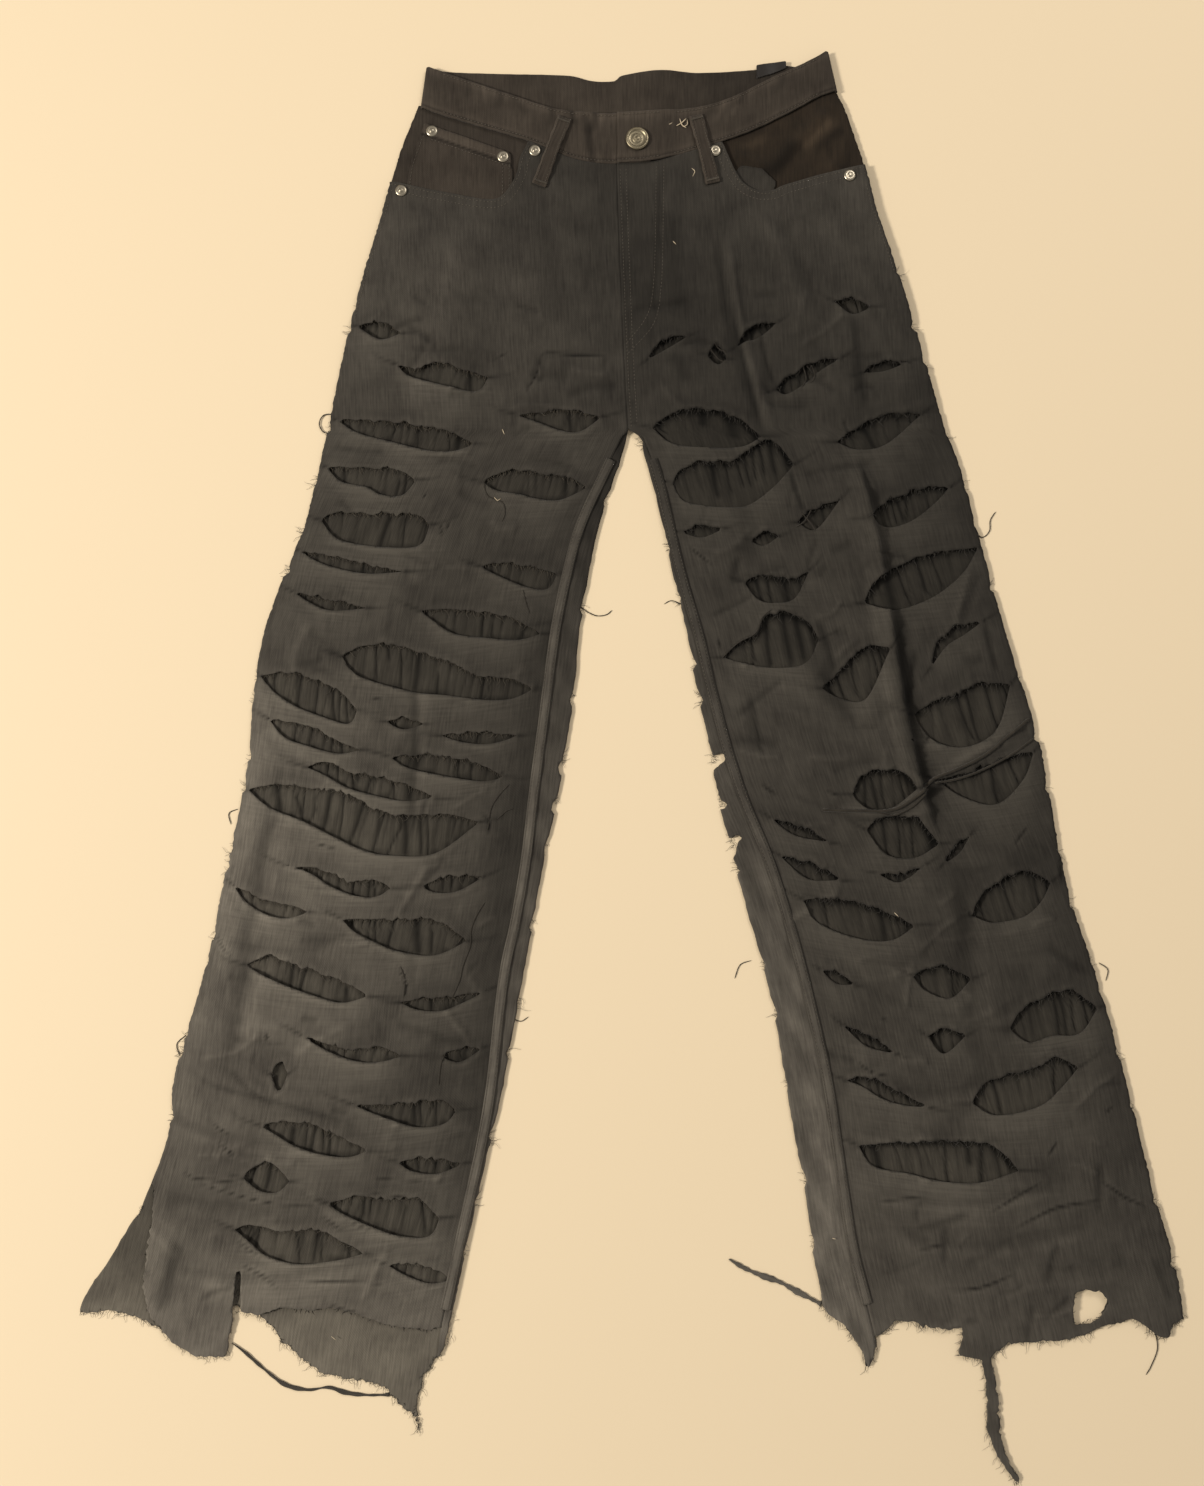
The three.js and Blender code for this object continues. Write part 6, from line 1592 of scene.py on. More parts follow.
def strip_mesh(name, centre, profile_across, profile_up, wear_and_shade):
    """A profile (across, up) carried along centre points (x, y, z): the across axis is the line's own left
    normal in plan. The tone, wear and on the felled seams painted shade in the grooves, has one number for
    each profile point."""
    left = left_normals(centre[:, :2])
    points = np.empty((len(centre), profile_across.shape[-1], 3))
    points[..., :2] = centre[:, None, :2] + left[:, None, :] * profile_across[..., None]
    points[..., 2] = centre[:, 2:3] + profile_up
    rows, count = points.shape[:2]
    quads = grid_quads(rows, count)
    down = np.concatenate([[0], np.cumsum(np.linalg.norm(np.diff(centre, axis=0), axis=1))])
    fields = {"wear_and_shade": np.broadcast_to(wear_and_shade, (rows, count)).ravel(), "stretch": np.zeros(rows * count),
              "across": np.broadcast_to(profile_across, (rows, count)).ravel(),
              "down": np.repeat(down, count)}
    flat = points.reshape(-1, 3)
    a, b, c = (flat[quads[0, k]] for k in (0, 1, 2))
    if np.cross(b - a, c - b)[2] < 0:
        quads = quads[:, ::-1]
    return put_mesh(name, flat, quads, [], fields)


LOOPS = {"right": ((-59, 523), (-35, 589)), "left": ((104, 525), (88, 591))}
LOOP_STEPS = 44
LOOP_CLOTH, LOOP_RISE = 1.6, 1.8


def belt_loop(name, low, high, node):
    """The centre line rises as sin^2 of the share along it. Across, the strip is flat with turned edges."""
    t = np.linspace(0, 1, LOOP_STEPS)
    low, high = np.array(low, float), np.array(high, float)
    centre = np.empty((LOOP_STEPS, 3))
    centre[:, :2] = low + (high - low) * t[:, None]
    centre[:, 2] = BAND_FRONT_TOP + STACK_GAP + LOOP_CLOTH + LOOP_RISE * np.sin(np.pi * t) ** 2
    s = np.linspace(-1, 1, 15)
    width = 7.0 * (1 - 0.1 * np.sin(np.pi * t) ** 2)[:, None] + 0.25 * np.sin(t * 37)[:, None]
    up = -0.5 * np.abs(s) ** 6 + 0.3 * np.exp(-((np.abs(s) - 0.82) / 0.12) ** 2)
    up = up - 0.35 * np.exp(-(s / 0.1) ** 2)
    up = up[None, :] + 0.3 * np.sin(t * 21)[:, None] * s[None, :]
    wear_and_shade = (0.62 + 0.3 * np.exp(-((np.abs(s) - 0.85) / 0.15) ** 2))[None, :] * np.ones((LOOP_STEPS, 1))
    piece = strip_mesh(name, centre, s[None, :] * width, up, wear_and_shade)
    finish_piece(piece, denim_rusty, "denim", node)
    give_thickness(piece, 1.5)
    return piece


def inseam_strip(name, inseam, top, bottom, worn_by, node):
    """The felled seam, 9 mm wide: two grooves 6 mm apart, and roping, which is a ripple every 7 mm."""
    y = np.arange(top, bottom, -2.2)
    floor = np.maximum(FELL_SEAT, seam_floor(y) + FRONT_CLOTH + STACK_GAP)
    centre = np.stack([inseam(y), y, floor + 1.15], -1)
    s = np.linspace(-4.5, 4.5, 13)
    ripple = 0.28 * np.sin(y / 1.15)[:, None] * np.exp(-(s / 3.2) ** 2)[None, :] * np.cos(y / 23)[:, None]
    up = 0.5 - 0.9 * np.abs(s / 4.5) ** 5 - 0.5 * np.exp(-((np.abs(s) - 3.0) / 0.5) ** 2)
    across_mm = s[None, :] + 0.35 * np.sin(y / 31)[:, None]
    shade = 1.04 - 0.34 * np.exp(-((np.abs(s) - 3.0) / 0.7) ** 2) - 0.25 * rise(3.6, 4.5, np.abs(s))
    piece = strip_mesh(name, centre, across_mm, up[None, :] + ripple, shade[None, :] * worn_by(y)[:, None])
    finish_piece(piece, denim_outer, "denim", node)
    give_thickness(piece, 1.0)
    return piece


loop_right = belt_loop("right_belt_loop", *LOOPS["right"], "belt_loop_right")
loop_left = belt_loop("left_belt_loop", *LOOPS["left"], "belt_loop_left")
ridge_right = inseam_strip("right_inseam_fell", right_inseam, 262, -500,
                           along([[300,0.9],[0,1.35],[-60,1.5],[-300,1.6],[-500,1.8]]), "inseam_right")
ridge_left = inseam_strip("left_inseam_fell", left_inseam, 262, -496,
                          along([[300,0.58],[0,0.9],[-240,1.2],[-360,1.4],[-500,1.5]]), "inseam_left")
print("loops and inseams", len(ridge_right.data.vertices))

# %% [markdown]
# ## Hem strips
# Two strips have torn loose: the ribbon of the right hem, and a twisted strand at the left one.
# %% Loose strips
def loose_strip(name, points, width, top, node, tone=0.85):
    """A flat strip on the floor that twists a little: its width and height follow slow sines, and it
    narrows towards its first end."""
    line = evenly(smooth_line(points, 10), 1.6)
    t = np.linspace(0, 1, len(line))
    centre = np.column_stack([line, np.full(len(line), top)])
    s = np.linspace(-1, 1, 7)
    half = width / 2 * (0.8 + 0.25 * np.sin(t * 19) + 0.12 * np.sin(t * 71)) * np.minimum(1, 0.25 + 4 * t)
    up = 0.35 * np.cos(s * 1.5)[None, :] + 0.25 * np.sin(t * 23)[:, None] * s[None, :]
    piece = strip_mesh(name, centre, s[None, :] * half[:, None], up, np.full((len(line), 7), tone))
    finish_piece(piece, denim_outer, "denim", node)
    give_thickness(piece, 0.7)
    return piece


ribbon = loose_strip("right_hem_ribbon", [
    [-325,-528.5],[-312,-538],[-295,-552],[-278,-564],[-258,-568.5],[-240,-566.5],[-224,-571],
    [-206,-573],[-186,-572.6],
], 3.6, 0.9, "hem_ribbon_right")
strand = loose_strip("left_hem_strand", [
    [112,-457],[124,-464],[140,-471],[156,-476.5],[172,-485],[193.2,-495.8],
], 5.2, 0.9, "hem_strand_left", 1.7)

# %% [markdown]
# ## Metal
# Rivets and button are stamped from sheet and plated. Each is a profile turned about its axis. A lathe
# profile gives the burr and the rim, which a plain cylinder lacks.
# %% Turned fittings
def turned(name, profile, place, segments, material, node):
    """Each profile point (radius, height) goes round a circle; the rings join with quads, and the two
    ends of the profile lie on the axis, as fans."""
    profile = np.asarray(profile, float)
    angle = np.linspace(0, 2 * np.pi, segments, endpoint=False)
    ring = profile[1:-1]
    x = ring[:, :1] * np.cos(angle)
    y = ring[:, :1] * np.sin(angle)
    z = np.broadcast_to(ring[:, 1:], x.shape)
    points = np.stack([x, y, z], -1).reshape(-1, 3)
    points = np.vstack([points, [[0,0, profile[0,1]],[0,0, profile[-1,1]]]]) + np.asarray(place, float)
    corner = np.arange(len(ring) * segments).reshape(len(ring), segments)
    beside = np.roll(corner, -1, 1)
    quads = np.stack([corner[:-1], beside[:-1], beside[1:], corner[1:]], -1).reshape(-1, 4)
    foot, head = len(points) - 2, len(points) - 1
    fans = np.vstack([np.stack([beside[0], corner[0], np.full(segments, foot)], -1),
                      np.stack([corner[-1], beside[-1], np.full(segments, head)], -1)])
    piece = put_mesh(name, points, quads, fans)
    return finish_piece(piece, material, "nickel", node)


RIVET = [
    [0,0],[5.4,0],[5.5,0.35],[5.2,0.8],[4.6,1.2],[3.9,1.42],[3.1,1.45],[2.5,1.2],[2.15,1.25],
    [1.9,1.9],[1.5,2.2],[0.8,2.3],[0,2.32],
]
BUTTON = [
    [0,0],[10.2,0],[10.8,0.5],[11,1.2],[10.8,2.0],[10.2,2.6],[9.2,2.8],[8.3,2.55],[7.7,1.95],
    [7.1,1.7],[5.2,1.75],[4.5,1.9],[4.0,2.35],[3.3,2.5],[2.6,2.2],[2.0,2.3],[1.5,2.75],[0,2.8],
]
PANEL_TOP = POCKET_FLOOR + FRONT_CLOTH + STACK_GAP
for name, node, (x, y), z in [
    ("coin_rivet_outer", "rivet_coin_outer", (-160, 577), COIN_TOP + STACK_GAP),
    ("coin_rivet_inner", "rivet_coin_inner", (-93, 552), COIN_TOP + STACK_GAP),
    ("right_rivet_inner", "rivet_right_inner", (-63, 557), PANEL_TOP),
    ("right_rivet_outer", "rivet_right_outer", (-188, 518), PANEL_TOP),
    ("left_rivet_inner", "rivet_left_inner", (106, 557), PANEL_TOP),
    ("left_rivet_outer", "rivet_left_outer", (232, 533), PANEL_TOP),
]:
    turned(name, RIVET, (x, y, z), 40, rivet_metal, node)
turned("shank_button", BUTTON, (*BUTTON_SPOT, BAND_OVERLAP_TOP + STACK_GAP), 72, button_metal,
       "waist_button")
print("fittings", 7)

# %% [markdown]
# ## Topstitching
# Stitches are 2.6 mm long, one every 3.4 mm, in thread a little paler than the cloth. Each is a small
# spindle of eight faces, set along its row by arrays, because thousands of separate objects would be slow.
# %% Rows of stitches
STITCH_MM, STITCH_PITCH = 2.6, 3.4
SPINDLE = np.array([[-1,0,0],[0,1,0],[0,0,1],[0,-1,0],[0,0,-1],[1,0,0]], float)
SPINDLE_FACES = np.array([[0,2,1],[0,3,2],[0,4,3],[0,1,4],[5,1,2],[5,2,3],[5,3,4],[5,4,1]])


def top_of_front(x, y):
    """Height of whichever front lies at x, y."""
    right = x < front_seam(RIGHT, y)
    return np.where(right, front_cloth(x, y, RIGHT)[0], front_cloth(x, y, LEFT)[0])


def top_of_leg(leg):
    """The height of one leg's front, as a function of x and y."""
    return lambda x, y: front_cloth(x, y, leg)[0]


def stitch_row(points, height, pitch=STITCH_PITCH):
    """Middles and directions of the stitches of one row; height is a number or a function of x and y."""
    line = evenly(smooth_line(points, 10) if len(points) > 2 else np.asarray(points, float), pitch)
    middle = (line[:-1] + line[1:]) / 2
    z = height(middle[:, 0], middle[:, 1]) if callable(height) else np.full(len(middle), float(height))
    return middle, line[1:] - line[:-1], z


def beside(points, distance):
    """A line moved sideways to its left by a distance."""
    line = evenly(smooth_line(points, 10), 4.0)
    return line + distance * left_normals(line)


def sew(name, rows, length=STITCH_MM, width=0.8):
    """All spindles at once: each is scaled to its length along its row, width across and 0.7 mm high."""
    middle = np.vstack([r[0] for r in rows])
    run = np.vstack([r[1] for r in rows])
    z = np.concatenate([r[2] for r in rows]) + 0.12
    run /= np.maximum(np.hypot(*run.T), 1e-6)[:, None]
    left = left_of(run)
    flat = (middle[:, None, :] + run[:, None, :] * SPINDLE[None, :, :1] * length / 2
            + left[:, None, :] * SPINDLE[None, :, 1:2] * width / 2)
    up = z[:, None] + SPINDLE[None, :, 2] * 0.34
    points = np.concatenate([flat, up[..., None]], -1).reshape(-1, 3)
    faces = (SPINDLE_FACES[None] + 6 * np.arange(len(middle))[:, None, None]).reshape(-1, 3)
    piece = put_mesh(name, points, [], faces)
    return finish_piece(piece, topstitch, "denim")


def down_seam(curve, shift, top, bottom, steps=40):
    """Points down a seam's curve, moved sideways by shift."""
    y = np.linspace(top, bottom, steps)
    return np.stack([curve(y) + shift, y], -1)


band_x = np.linspace(-150, 12, 40)
band_left_x = np.linspace(60, 204, 40)
end_x = np.linspace(18, 54, 12)
rows = [
    stitch_row([[58,543],[57,480],[55,425],[48,390],[24,362]], top_of_front),
    stitch_row([[51,543],[50,480],[48,428],[42,398],[23,372]], top_of_front),
    stitch_row(down_seam(centre_seam, 3.0, 540, 292), top_of_front),
    stitch_row(down_seam(centre_seam, 8.5, 540, 296), top_of_front),
    stitch_row(beside(POCKET_EDGE_RIGHT, 2.6), top_of_front),
    stitch_row(beside(POCKET_EDGE_RIGHT, 8.6), top_of_front),
    stitch_row(beside(POCKET_EDGE_LEFT, -2.6), top_of_front),
    stitch_row(beside(POCKET_EDGE_LEFT, -8.6), top_of_front),
    stitch_row(down_seam(right_outer, 3.6, 508, 395), top_of_front),
    stitch_row(down_seam(left_outer, -3.6, 525, 440), top_of_front),
]
for shift in (2.6, -2.6):
    for x, top in ((band_x, BAND_FRONT_TOP), (band_left_x, BAND_FRONT_TOP), (end_x, BAND_OVERLAP_TOP)):
        edge = band_lower if shift > 0 else band_upper
        rows.append(stitch_row(np.stack([x, edge(x) + shift], -1), top + 0.1))
rows += [
    stitch_row([[-163,576],[-86,548.5]], COIN_TOP + 0.5), stitch_row([[-161,569],[-85,542]], COIN_TOP + 0.4),
    stitch_row([[-87,552],[-87,506]], COIN_TOP + 0.25), stitch_row([[-93,553],[-93,505]], COIN_TOP + 0.3),
    stitch_row([[-164,583],[-177,545],[-181,518]], COIN_TOP + 0.25),
]
sewing = sew("topstitching", rows)
fell_rows = []
for curve, bottom in ((right_inseam, -496), (left_inseam, -492)):
    for shift in (3.0, -3.0):
        fell_rows.append(stitch_row(down_seam(curve, shift, 258, bottom, 160), FELL_SEAT + 1.2))
fell = sew("inseam_stitching", fell_rows)
print("stitches", (len(sewing.data.polygons) + len(fell.data.polygons)) // 8)


# %% [markdown]
# A belt loop is held by a bar tack at each end, a zigzag so dense that it looks like a short solid bar. The
# same spindles make it, side by side.
# %% Bar tacks and loop edges
def bar_tack(middle, direction, wide, z):
    """A dense zigzag: short stitches side by side across the strip."""
    direction = np.array(direction, float) / np.hypot(*direction)
    left = np.array([-direction[1], direction[0]])
    steps = np.arange(-wide / 2, wide / 2, 1.0)
    centre = np.array(middle, float) + left * steps[:, None]
    return centre, np.repeat(direction[None], len(steps), 0), np.full(len(steps), float(z))


tacks, loop_rows = [], []
for low_end, high_end in LOOPS.values():
    low_end, high_end = np.array(low_end, float), np.array(high_end, float)
    way = high_end - low_end
    for share in (0.05, 0.95):
        spot = low_end + way * share
        tacks.append(bar_tack(spot, way, 12, BAND_FRONT_TOP + 2.2))
    t = np.linspace(0.08, 0.92, 20)
    left = np.array([-way[1], way[0]]) / np.hypot(*way)
    for shift in (4.6, -4.6):
        spots = low_end + way * t[:, None] + left * shift
        z = BAND_FRONT_TOP + 1.95 + LOOP_RISE * np.sin(np.pi * t) ** 2 + 0.25
        loop_rows.append((spots, np.repeat(way[None], len(t), 0), z))
sew("loop_stitching", loop_rows, 2.4, 0.7)
sew("bar_tacks", tacks, 3.2, 0.9)

# %% [markdown]
# ## Frayed yarns
# Where denim tears, the cross yarns let go and the long yarns stick out as a beard. Each yarn is a thin
# three-sided tube on a curve that starts at the torn edge, leaves it at an angle and droops. All of them
# are worked out as one array. Real yarns are 0.3 mm thick; these are 0.5 mm, so that they show.
# %% Yarns as arrays
YARN_POINTS = 6
YARN_RADIUS = 0.26


def yarns(name, start, angle, length, curl, drop, material, radius=YARN_RADIUS):
    """Yarn k runs from start[k] in plan direction angle[k]. At share s along it, it has gone length*s,
    moved sideways by curl*length*s^2 plus a small wave, and sunk by drop*s^1.5. Its radius tapers to a
    third at the tip."""
    count = len(start)
    s = np.linspace(0, 1, YARN_POINTS)[None, :]
    run = np.stack([np.cos(angle), np.sin(angle)], -1)
    left = left_of(run)
    along_mm = length[:, None] * s
    wave = 0.06 * length[:, None] * np.sin(7 * s + 9 * curl[:, None])
    aside = curl[:, None] * length[:, None] * s**2 + wave
    centre = start[:, None, :2] + run[:, None] * along_mm[..., None] + left[:, None] * aside[..., None]
    height = start[:, 2:3] - drop[:, None] * s**1.5
    height = np.maximum(height, radius + 0.05)
    size = radius * (1 - 0.66 * s) * np.ones((count, 1))
    corner = np.deg2rad([90, 210, 330])
    out = np.cos(corner)[None, None, :, None] * left[:, None, None, :] * size[..., None, None]
    flat = centre[:, :, None, :] + out
    up = height[:, :, None] + np.sin(corner)[None, None, :] * size[..., None]
    points = np.concatenate([flat, up[..., None]], -1)
    number = np.arange(count * YARN_POINTS * 3).reshape(count, YARN_POINTS, 3)
    ahead = np.roll(number, -1, 2)
    quads = np.stack([number[:, :-1], ahead[:, :-1], ahead[:, 1:], number[:, 1:]], -1).reshape(-1, 4)
    caps = np.vstack([number[:, 0, ::-1], number[:, -1]])
    piece = put_mesh(name, points.reshape(-1, 3), quads, caps)
    return finish_piece(piece, material, "denim")


def beard(line, height, every, outward, spread, longest, rng):
    """Starts, angles and lengths of yarns along a torn line: one every so many mm, leaving within spread
    of the outward angle, most of them short."""
    spots = evenly(line, every)
    spots = spots + rng.normal(0, 0.5, spots.shape)
    z = height(spots[:, 0], spots[:, 1]) if callable(height) else np.full(len(spots), float(height))
    angle = outward + rng.normal(0, spread, len(spots))
    length = longest * np.clip(rng.exponential(0.33, len(spots)) + 0.12, 0, 1)
    return np.column_stack([spots, z - 0.5]), angle, length


def lay_yarns(name, beards, drop, material, rng, radius=YARN_RADIUS):
    """One piece from several beards, each yarn with a curl of its own; none sinks into the floor."""
    start, angle, length = (np.concatenate([b[k] for b in beards]) for k in range(3))
    curl = rng.normal(0, 0.28, len(start))
    return yarns(name, start, angle, length, curl, np.minimum(drop, start[:, 2] - 0.4), material, radius)


# %% Beards of the tears
DOWN = -math.pi / 2
for name, leg, seed, longest in (("right", RIGHT, 61, 8.0), ("left", LEFT, 62, 9.0)):
    rng = np.random.default_rng(seed)
    top = top_of_leg(leg)
    hanging, lower = [], []
    for tear in leg["tears"]:
        size = np.ptp(tear["low"][:, 0])
        hanging.append(beard(tear["high"][1:-1], top, 1.9, DOWN, 0.5, min(longest, 3 + size / 12), rng))
        lower.append(beard(tear["low"][1:-1], top, 11.0, -DOWN, 0.7, 3.0, rng))
    lay_yarns(name + "_tear_beards", hanging, 1.6, dark_yarn if name == "left" else brown_yarn, rng)
    lay_yarns(name + "_lower_lip_yarns", lower, 0.6, dark_yarn, rng, 0.22)

# %% [markdown]
# The nicks down the side seams and the torn hems are bearded in the same way, the side ones outwards and
# the hems downwards.
# %% Beards of the side seams and hems
rng = np.random.default_rng(71)
edge_beards = []
for curve, nicks, out in ((right_side, RIGHT_OUTER_NICKS, math.pi), (right_crease, RIGHT_INNER_NICKS, 0.0),
                          (left_crease, LEFT_INNER_NICKS, math.pi), (left_side, LEFT_OUTER_NICKS, 0.0)):
    for at in nicks:
        y = np.linspace(at - 3.0, at + 6.0, 8)
        line = np.stack([curve(y) - 0.8 * math.cos(out), y], -1)
        edge_beards.append(beard(line, 2.2, 1.1, out, 0.75, rng.uniform(5.0, 13.0), rng))
lay_yarns("side_seam_beards", edge_beards, 1.6, dark_yarn, rng)
hem_beards = []
for line, every, longest in ((right_front_hem, 2.2, 9.0), (left_front_hem, 1.9, 9.0),
                             (right_back_hem, 2.0, 8.0), (left_back_hem, 2.0, 9.0)):
    hem_beards.append(beard(line, 2.4, every, DOWN, 0.6, longest, rng))
hem_beards.append(beard(np.vstack([hem_hole, hem_hole[:1]]), 2.6, 2.6, DOWN, 1.6, 4.0, rng))
lay_yarns("hem_beards", hem_beards, 1.8, dark_yarn, rng)
print("beards laid")

# %% [markdown]
# ### Loose threads and strands
# Some yarns have come right out and lie in curls, and three twisted strands bridge a tear on the left leg.
# Each is a tube round a given line: a curve object would do it too, but arrays let one mesh hold all.
# %% Threads along lines
def thread_mesh(name, lines, material, sides=6):
    """Rings of `sides` points round each line, at right angles to its run; a twist makes the strand's
    radius swell and shrink by a seventh, so that two plies seem to turn round each other."""
    points, quads, caps, first = [], [], [], 0
    turn = 2 * np.pi * np.arange(sides) / sides
    for radius, height, spots in lines:
        line = evenly(smooth_line(spots, 10), 1.4)
        left = left_normals(line)
        middle = height(line[:, 0], line[:, 1]) + 0.6 * radius if callable(height) else height + radius
        step = np.arange(len(line))
        size = radius * (1 + 0.14 * np.sin(1.9 * step[:, None] + 2 * turn[None, :]))
        for from_end in (step, step[::-1]):
            size = size * np.minimum(1, 0.4 + 0.3 * from_end[:, None])
        plan = line[:, None, :] + left[:, None, :] * (size * np.cos(turn))[..., None]
        up = np.broadcast_to(middle, len(line))[:, None] + size * np.sin(turn)
        ring = np.concatenate([plan, up[..., None]], -1)
        number = first + np.arange(len(line) * sides).reshape(len(line), sides)
        ahead = np.roll(number, -1, 1)
        points.append(ring.reshape(-1, 3))
        quads.append(np.stack([number[:-1], ahead[:-1], ahead[1:], number[1:]], -1).reshape(-1, 4))
        fan = np.arange(1, sides - 1)
        caps += [np.stack([number[0, 0] + 0 * fan, number[0, fan + 1], number[0, fan]], -1),
                 np.stack([number[-1, 0] + 0 * fan, number[-1, fan], number[-1, fan + 1]], -1)]
        first += len(line) * sides
    piece = put_mesh(name, np.vstack(points), np.vstack(quads), np.vstack(caps))
    return finish_piece(piece, material, "denim")


thread_mesh("floor_threads", [
    (0.42,0.0,[[-31,129],[-22,127],[-14,121],[-5,117],[4,118],[9,122]]),
    (0.42,0.0,[[342,197],[350,190],[357,196],[358,206],[363,214]]),
    (0.38,0.0,[[74,127],[64,131],[57,128]]),
    (0.38,0.0,[[-82,-246],[-73,-250],[-66,-246]]),
    (0.42,0.0,[[484,-512],[488,-532],[482,-548],[477,-556]]),
    (0.5,0.4,[[-248,306],[-258,305],[-262,297],[-258,289],[-249,288]]),
    (0.38,0.0,[[-330,-60],[-338,-64],[-336,-74]]),
    (0.38,0.0,[[446,-198],[454,-204],[452,-214]]),
    (0.38,0.0,[[134,-196],[124,-200],[119,-212]]),
    (0.38,0.0,[[-372,-262],[-380,-270],[-377,-281]]),
], dark_yarn)
right_top, left_top = top_of_leg(RIGHT), top_of_leg(LEFT)
thread_mesh("cloth_threads", [
    (0.4,right_top,[[-109,242],[-106,229],[-98,224],[-91,221],[-89,211],[-92,203]]),
    (0.45,right_top,[[-105,-144],[-112,-155],[-117,-168],[-118,-183],[-124,-200],[-127,-213],[-134,-229]]),
    (0.45,right_top,[[-84,-38],[-93,-48],[-100,-60],[-103,-79]]),
    (0.4,right_top,[[-139,-277],[-143,-287],[-145,-306]]),
    (0.38,right_top,[[-72,140],[-70,130],[-66,118]]),
    (0.4,right_top,[[-95,-70],[-86,-62],[-80,-60]]),
    (0.36,right_top,[[-180,-201],[-176,-213],[-177,-229]]),
    (0.45,left_top,[[186,349],[189,338],[185,330]]),
    (0.45,left_top,[[194,350],[197,340],[193,334]]),
    (0.5,left_top,[[182,212],[189,205],[196,195]]),
    (0.5,left_top,[[192,214],[186,204],[178,198]]),
    (0.45,left_top,[[109,77],[124,91],[140,100],[146,114],[155,122]]),
    (0.45,left_top,[[104,372],[109,366],[115,362]]),
    (0.4,left_top,[[100,366],[108,356],[116,353]]),
], dark_yarn)


def top_of(piece):
    """The height of a finished piece, 0.9 mm above its highest corner within 4 mm. Its corners are in the
    frame's millimetres, so each height is read one MOVE away, 26 mm across and 4.5 mm up."""
    corners = np.array([v.co[:] for v in piece.data.vertices]) * 1000

    def height(x, y):
        near = np.hypot(x[:, None] - corners[None, :, 0], y[:, None] - corners[None, :, 1]) < 4
        return np.where(near, corners[None, :, 2], -1).max(1) + 0.9

    return height


on_band = top_of(band)
thread_mesh("pale_threads", [
    (0.55,on_band,[[58,584],[62,582],[66,584]]),(0.5,on_band,[[62,578],[63,583],[61,588]]),
    (0.55,on_band,[[70,581],[75,584],[79,588]]),(0.5,on_band,[[73,588],[75,582],[79,579]]),
    (0.45,on_band,[[76,580],[80,582],[80,587]]),(0.4,left_top,[[84,540],[87,537],[85,532]]),
    (0.4,right_top,[[-92,290],[-90,285]]),(0.45,right_top,[[-99,226],[-96,223],[-93,225]]),
    (0.4,left_top,[[66,468],[69,465]]),(0.4,left_top,[[262,-153],[266,-157]]),
    (0.4,left_top,[[203,-438],[206,-439]]),(0.4,right_top,[[-237,-522],[-233,-525]]),
], pale_yarn)
thread_mesh("bridging_strands", [
    (1.5,left_top,[[198,-61],[228,-62],[262,-61],[284,-48],[298,-34],[322,-24],[346,-12],[366,4],[388,22]]),
    (1.1,left_top,[[300,-37],[322,-33],[346,-24],[372,-10],[392,4]]),
    (0.9,left_top,[[246,-63],[262,-66],[280,-58],[294,-42]]),
], dark_yarn)

# %% [markdown]
# ## The cut of each cloth piece
# Every flat piece of cloth is listed with the size it was cut to: the fronts and backs from their box and
# seam lines, the band as one strip once round, the small pieces as their own outlines.
# %% Sheets and their cut
# piece: (width, length), flat area in square metres, hold, what it lies on, what goes with it
CUTS = [
    (back_right, (0.36, 1.17), 0.333, "folded", [], []),
    (back_left, (0.37, 1.14), 0.348, "folded", [], []),
    (front_right, (0.28, 1.12), 0.238, "laid", [back_right],
     ["right_tear_beards", "right_lower_lip_yarns", ribbon]),
    (front_left, (0.29, 1.21), 0.252, "laid", [back_left],
     ["left_tear_beards", "left_lower_lip_yarns", strand]),
    (band, (0.042, 0.846), 0.0353, "folded", [], []),
    (facing_right, (0.143, 0.101), 0.0103, "laid", [], []),
    (coin, (0.101, 0.085), 0.0064, "laid", [facing_right], []),
    (bag, (0.15, 0.107), 0.0107, "laid", [], []),
    (facing_left, (0.044, 0.035), 0.0012, "laid", [], []),
    (label, (0.0135, 0.025), 0.00033, "laid", [], []),
    (loop_right, (0.014, 0.074), 0.00102, "folded", [], []),
    (loop_left, (0.014, 0.074), 0.00102, "folded", [], []),
    (ridge_right, (0.0104, 0.762), 0.0079, "laid", [], []),
    (ridge_left, (0.0104, 0.762), 0.0079, "laid", [], []),
]
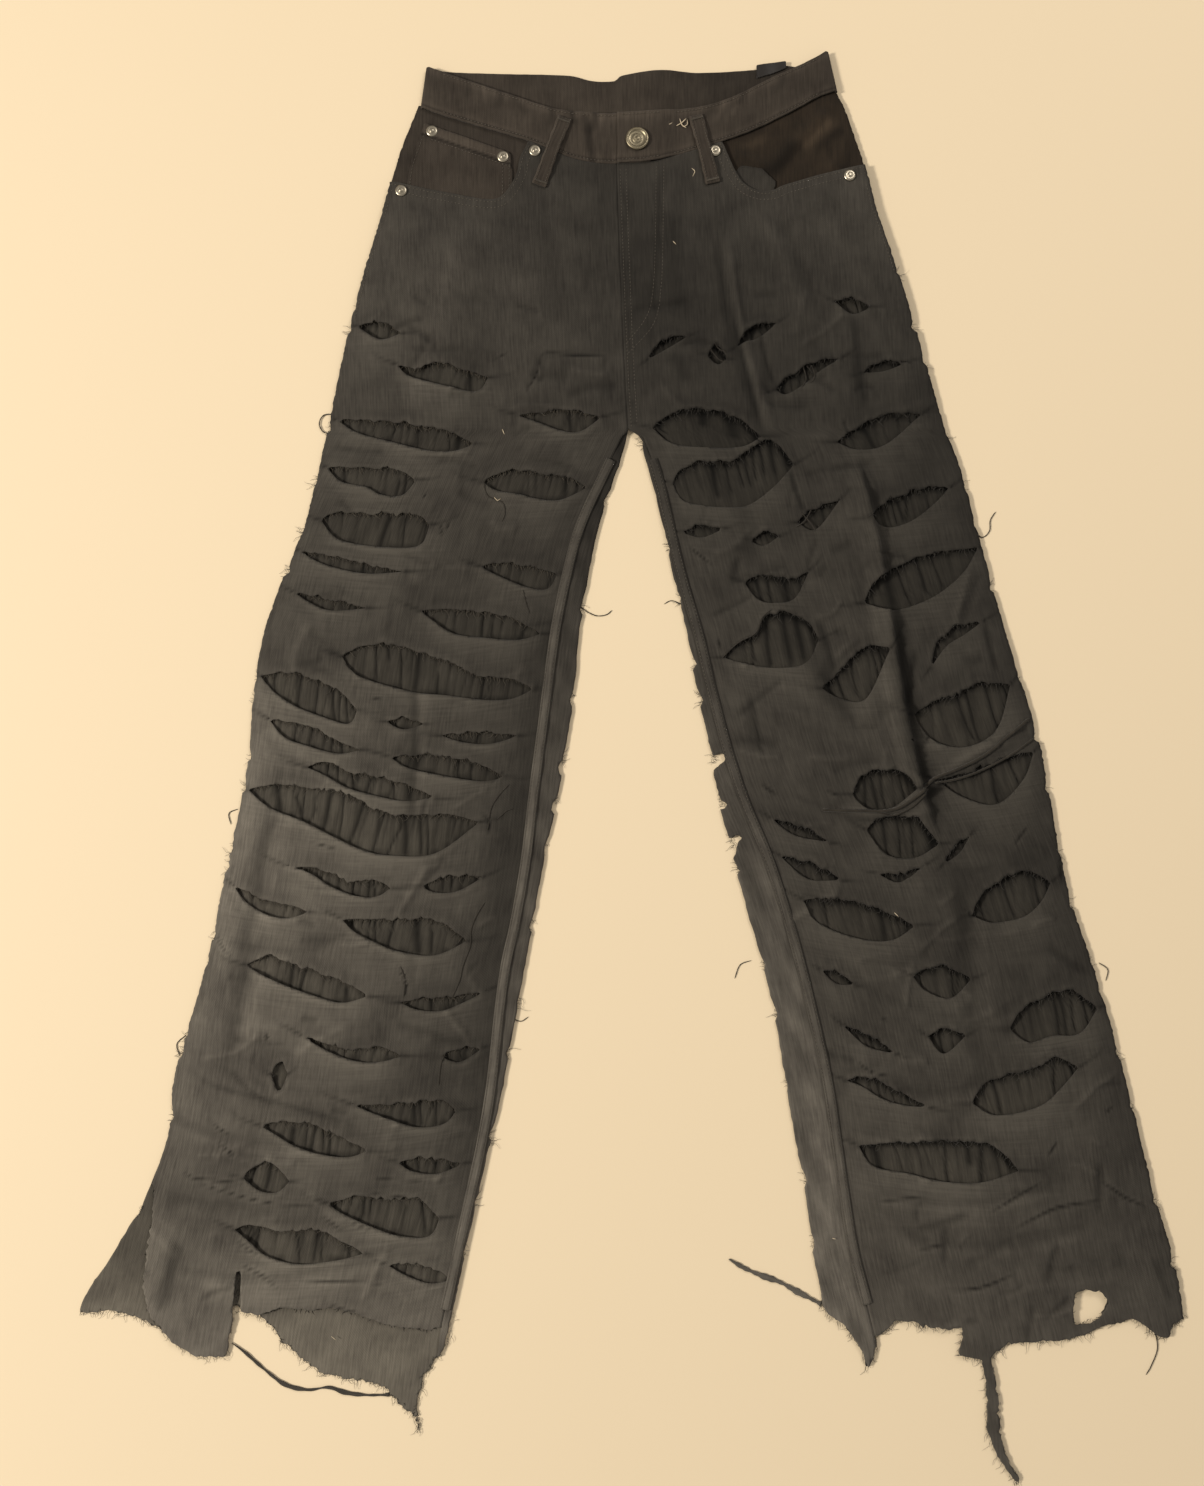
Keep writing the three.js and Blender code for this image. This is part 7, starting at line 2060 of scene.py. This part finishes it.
for piece, cut, area, hold, under, along_with in CUTS:
    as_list(under)
    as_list(along_with)
print("sheets declared", len(CUTS))

# %% [markdown]
# ## Floor and light
# The photo's floor is pale and the room's light is soft, a little stronger from the lower left. A large area
# light does that: its size softens the shadows of the lips, its low angle still draws them.
# %% A plain pale floor
FLOOR_HALF = 4.0


def pale_floor():
    """A flat square at the height the cloth rests on."""
    corners = np.array([[-1,-1],[1,-1],[1,1],[-1,1]]) * FLOOR_HALF
    mesh = bpy.data.meshes.new("floor")
    mesh.from_pydata([(x, y, -0.0002) for x, y in corners.tolist()], [], [(0, 1, 2, 3)])
    ground = bpy.data.objects.new("floor", mesh)
    bpy.context.scene.collection.objects.link(ground)
    material, _, shader = new_finish("matt_floor_paint", Roughness=0.7, Specular_IOR_Level=0.2)
    shader.inputs["Base Color"].default_value = dye("#ead9bb")
    mesh.materials.append(material)
    return ground


pale_floor()

# %% [markdown]
# The key light stands at the left, 36 degrees up, so that every lip and fold throws a soft shadow to the
# right. A weak fill from the upper right and a pale sky keep those shadows open, as pale walls would.
# %% Soft studio light
def soft_light(name, place, aim, size, power, code):
    """An area light at a place in metres, turned so that its back axis runs from the aim to it."""
    data = bpy.data.lights.new(name, "AREA")
    data.shape = "DISK"
    data.size = size
    data.energy = power
    data.color = dye(code)[:3]
    lamp = bpy.data.objects.new(name, data)
    bpy.context.scene.collection.objects.link(lamp)
    lamp.location = place
    away = lamp.location - lamp.location.__class__(aim)
    lamp.rotation_euler = away.to_track_quat("Z", "Y").to_euler()
    return lamp


soft_light("key", (-3.6, -0.3, 2.6), (0.0, 0.0, 0.0), 0.8, 180, "#fff6e8")
soft_light("fill", (1.2, 1.9, 2.2), (0.0, 0.0, 0.0), 1.4, 26, "#fff8f0")
world = bpy.data.worlds.new("studio")
world.use_nodes = True
world.node_tree.nodes["Background"].inputs["Color"].default_value = dye("#fff7ec")
world.node_tree.nodes["Background"].inputs["Strength"].default_value = 0.36
bpy.context.scene.world = world
bpy.context.scene.view_settings.view_transform = "Standard"
